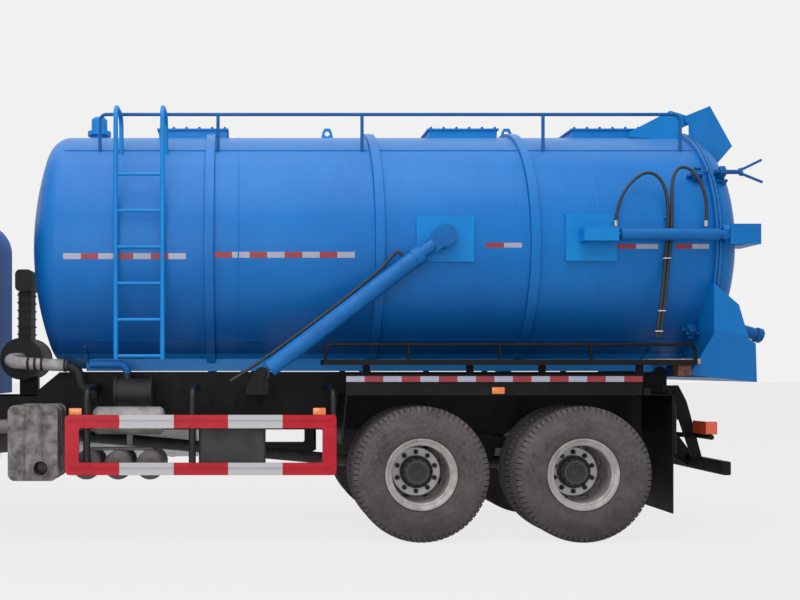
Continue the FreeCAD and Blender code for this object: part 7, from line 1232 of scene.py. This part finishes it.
def wipers(bm):
    """Two parked wipers: each a blade, its arm and the arm's root."""
    for centre in (-0.560, 0.330):
        screen_bar(bm, (centre - 0.320, 0.130), (centre + 0.320, 0.190), 0.010, 0.009)
        screen_bar(bm, (centre + 0.180, 0.020), (centre, 0.160), 0.008, 0.013)
        screen_bar(bm, (centre + 0.196, 0.006), (centre + 0.164, 0.036), 0.016, 0.015)


def bent_tube(name, points, radius, material):
    """Round tube along a smooth curve through the points."""
    curve = spline_curve(name, points)
    curve.bevel_depth = radius
    curve.bevel_resolution = 6
    curve.use_fill_caps = True
    return curve_mesh(curve, material)


def duct_bands(bm):
    """Bands round the pale duct, which falls to the rear, and where the black end piece meets it."""
    for x in (-1.990, -1.930, -1.870, -1.665):
        outline = [(x, 0.0), (x, 0.060), (x + 0.022, 0.060), (x + 0.022, 0.0)]
        add_lathe(bm, outline, (0.0, DUCT_Y, DUCT_BAND_Z - (x + 1.95) * DUCT_FALL), "X", 28)


def intake_duct():
    """Pale duct from the air filter towards the pump, its black end piece and the bands on it."""
    pale = (
        (-2.173, -0.020, 1.545), (-2.173, -0.420, 1.545), (-2.150, DUCT_Y, 1.510), (-1.950, DUCT_Y, 1.495),
        (-1.640, DUCT_Y, 1.480))
    black = ((-1.660, DUCT_Y, 1.481), (-1.530, DUCT_Y, 1.465), (-1.520, DUCT_Y, 1.250), (-1.370, DUCT_Y, 1.240))
    return [
        bent_tube("duct_pale", pale, 0.054, DUCT_PALE), bent_tube("duct_black", black, 0.046, MOULDED_BLACK),
        mesh_from("duct_bands", duct_bands, 35, [MOULDED_BLACK])]


window = rounded_outline(WINDOW_CORNERS, WINDOW_ROUND)
for label, side in SIDES:
    joined("window_seal_" + label, [window_seal(window, side)], "cab_door_" + label)
single("wipers", wipers, 35, MOULDED_BLACK, "cab")
dish = mesh_from("rear_door_dish", door_dish, 28, [DOOR_PAINT])
fork = mesh_from("hose_fork", door_fork, 35, [RAIL_PAINT])
joined("rear_door_dressed", [dish, fork], "rear_door", replaced=["rear_door"])
single("door_gasket", door_gasket, 35, MOULDED_BLACK, "tank")
joined("intake_duct", intake_duct(), "chassis")


# Studio, light and camera

BACKDROP = (0.88, 0.88, 0.88, 1.0)


def cleared_tree(owner):
    """The empty node tree of a material or world."""
    owner.use_nodes = True
    owner.node_tree.nodes.clear()
    return owner.node_tree


def seen_as(tree, output, lit, seen, share, rays):
    """Light falls on one shader, and rays that look at it see a share of another."""
    paths = add_node(tree, "ShaderNodeLightPath")
    looks = 0.0
    for ray in rays:
        looks = maths(tree, "ADD", paths[ray], looks, clamp=True)
    blend = {0: maths(tree, "MULTIPLY", looks, share), 1: lit, 2: seen}
    feed(tree, tree.nodes.new(output), {0: add_node(tree, "ShaderNodeMixShader", blend)[0]})


def studio_floor():
    """Pale floor that keeps the truck's shadow."""
    reach = 90.0
    mesh = bpy.data.meshes.new("studio_floor")
    corners = [(-reach, -reach, 0), (reach, -reach, 0), (reach, reach, 0), (-reach, reach, 0)]
    mesh.from_pydata(corners, [], [(0, 1, 2, 3)])
    material = bpy.data.materials.new("floor_white")
    mesh.materials.append(material)
    tree = cleared_tree(material)
    lit = add_node(tree, "ShaderNodeBsdfDiffuse", {"Color": (0.55, 0.55, 0.55, 1.0)})[0]
    glow = add_node(tree, "ShaderNodeEmission", {"Color": BACKDROP})[0]
    seen_as(tree, "ShaderNodeOutputMaterial", lit, glow, 0.90, ("Is Camera Ray", "Is Glossy Ray"))
    floor = add_object("studio_floor", mesh)


def studio_world():
    """Even white surroundings; the camera, gloss and glass see the pale backdrop."""
    world = bpy.data.worlds.new("studio")
    bpy.context.scene.world = world
    tree = cleared_tree(world)
    light = add_node(tree, "ShaderNodeBackground", {"Color": (0.97, 0.98, 1.0, 1.0), "Strength": 0.62})[0]
    backdrop = add_node(tree, "ShaderNodeBackground", {"Color": BACKDROP, "Strength": 1.0})[0]
    seen_as(
        tree, "ShaderNodeOutputWorld", light, backdrop, 1.0,
        ("Is Camera Ray", "Is Glossy Ray", "Is Transmission Ray"))


def studio_lamps():
    """One wide overhead lamp and a softer one from the photograph's side."""
    for name, place, aim, size, power in (
            ("overhead", (-1.0, -5.0, 13.0), (0.0, 0.0, 2.0), 14.0, 1340.0),
            ("side", (-3.0, -13.0, 3.5), (0.0, 0.0, 1.6), 9.0, 500.0)):
        lamp = bpy.data.lights.new(name, "AREA")
        lamp.shape = "DISK"
        lamp.size = size
        lamp.energy = power
        holder = add_object(name, lamp)
        holder.location = place
        holder.rotation_euler = (Vector(aim) - Vector(place)).to_track_quat("-Z", "Y").to_euler()


def photo_camera():
    """Level camera on the truck's left side, framed as the photograph is."""
    lens = bpy.data.cameras.new("photo_camera")
    lens.sensor_width = 36.0
    lens.lens = 47.25
    lens.shift_x = 0.2
    lens.shift_y = 0.084
    holder = add_object("photo_camera", lens)
    holder.location = (-0.107, -9.94, 1.465)
    holder.rotation_euler = (math.pi / 2, 0.0, 0.0)
    bpy.context.scene.camera = holder


studio_floor()
studio_world()
studio_lamps()
photo_camera()
bpy.context.scene.view_settings.view_transform = "Standard"

for item in (WHEEL_NUT, CAP_BOLT, FRAME_BOLT, ROUND_HEAD, TREAD_BLOCK):
    bpy.data.objects.remove(item)
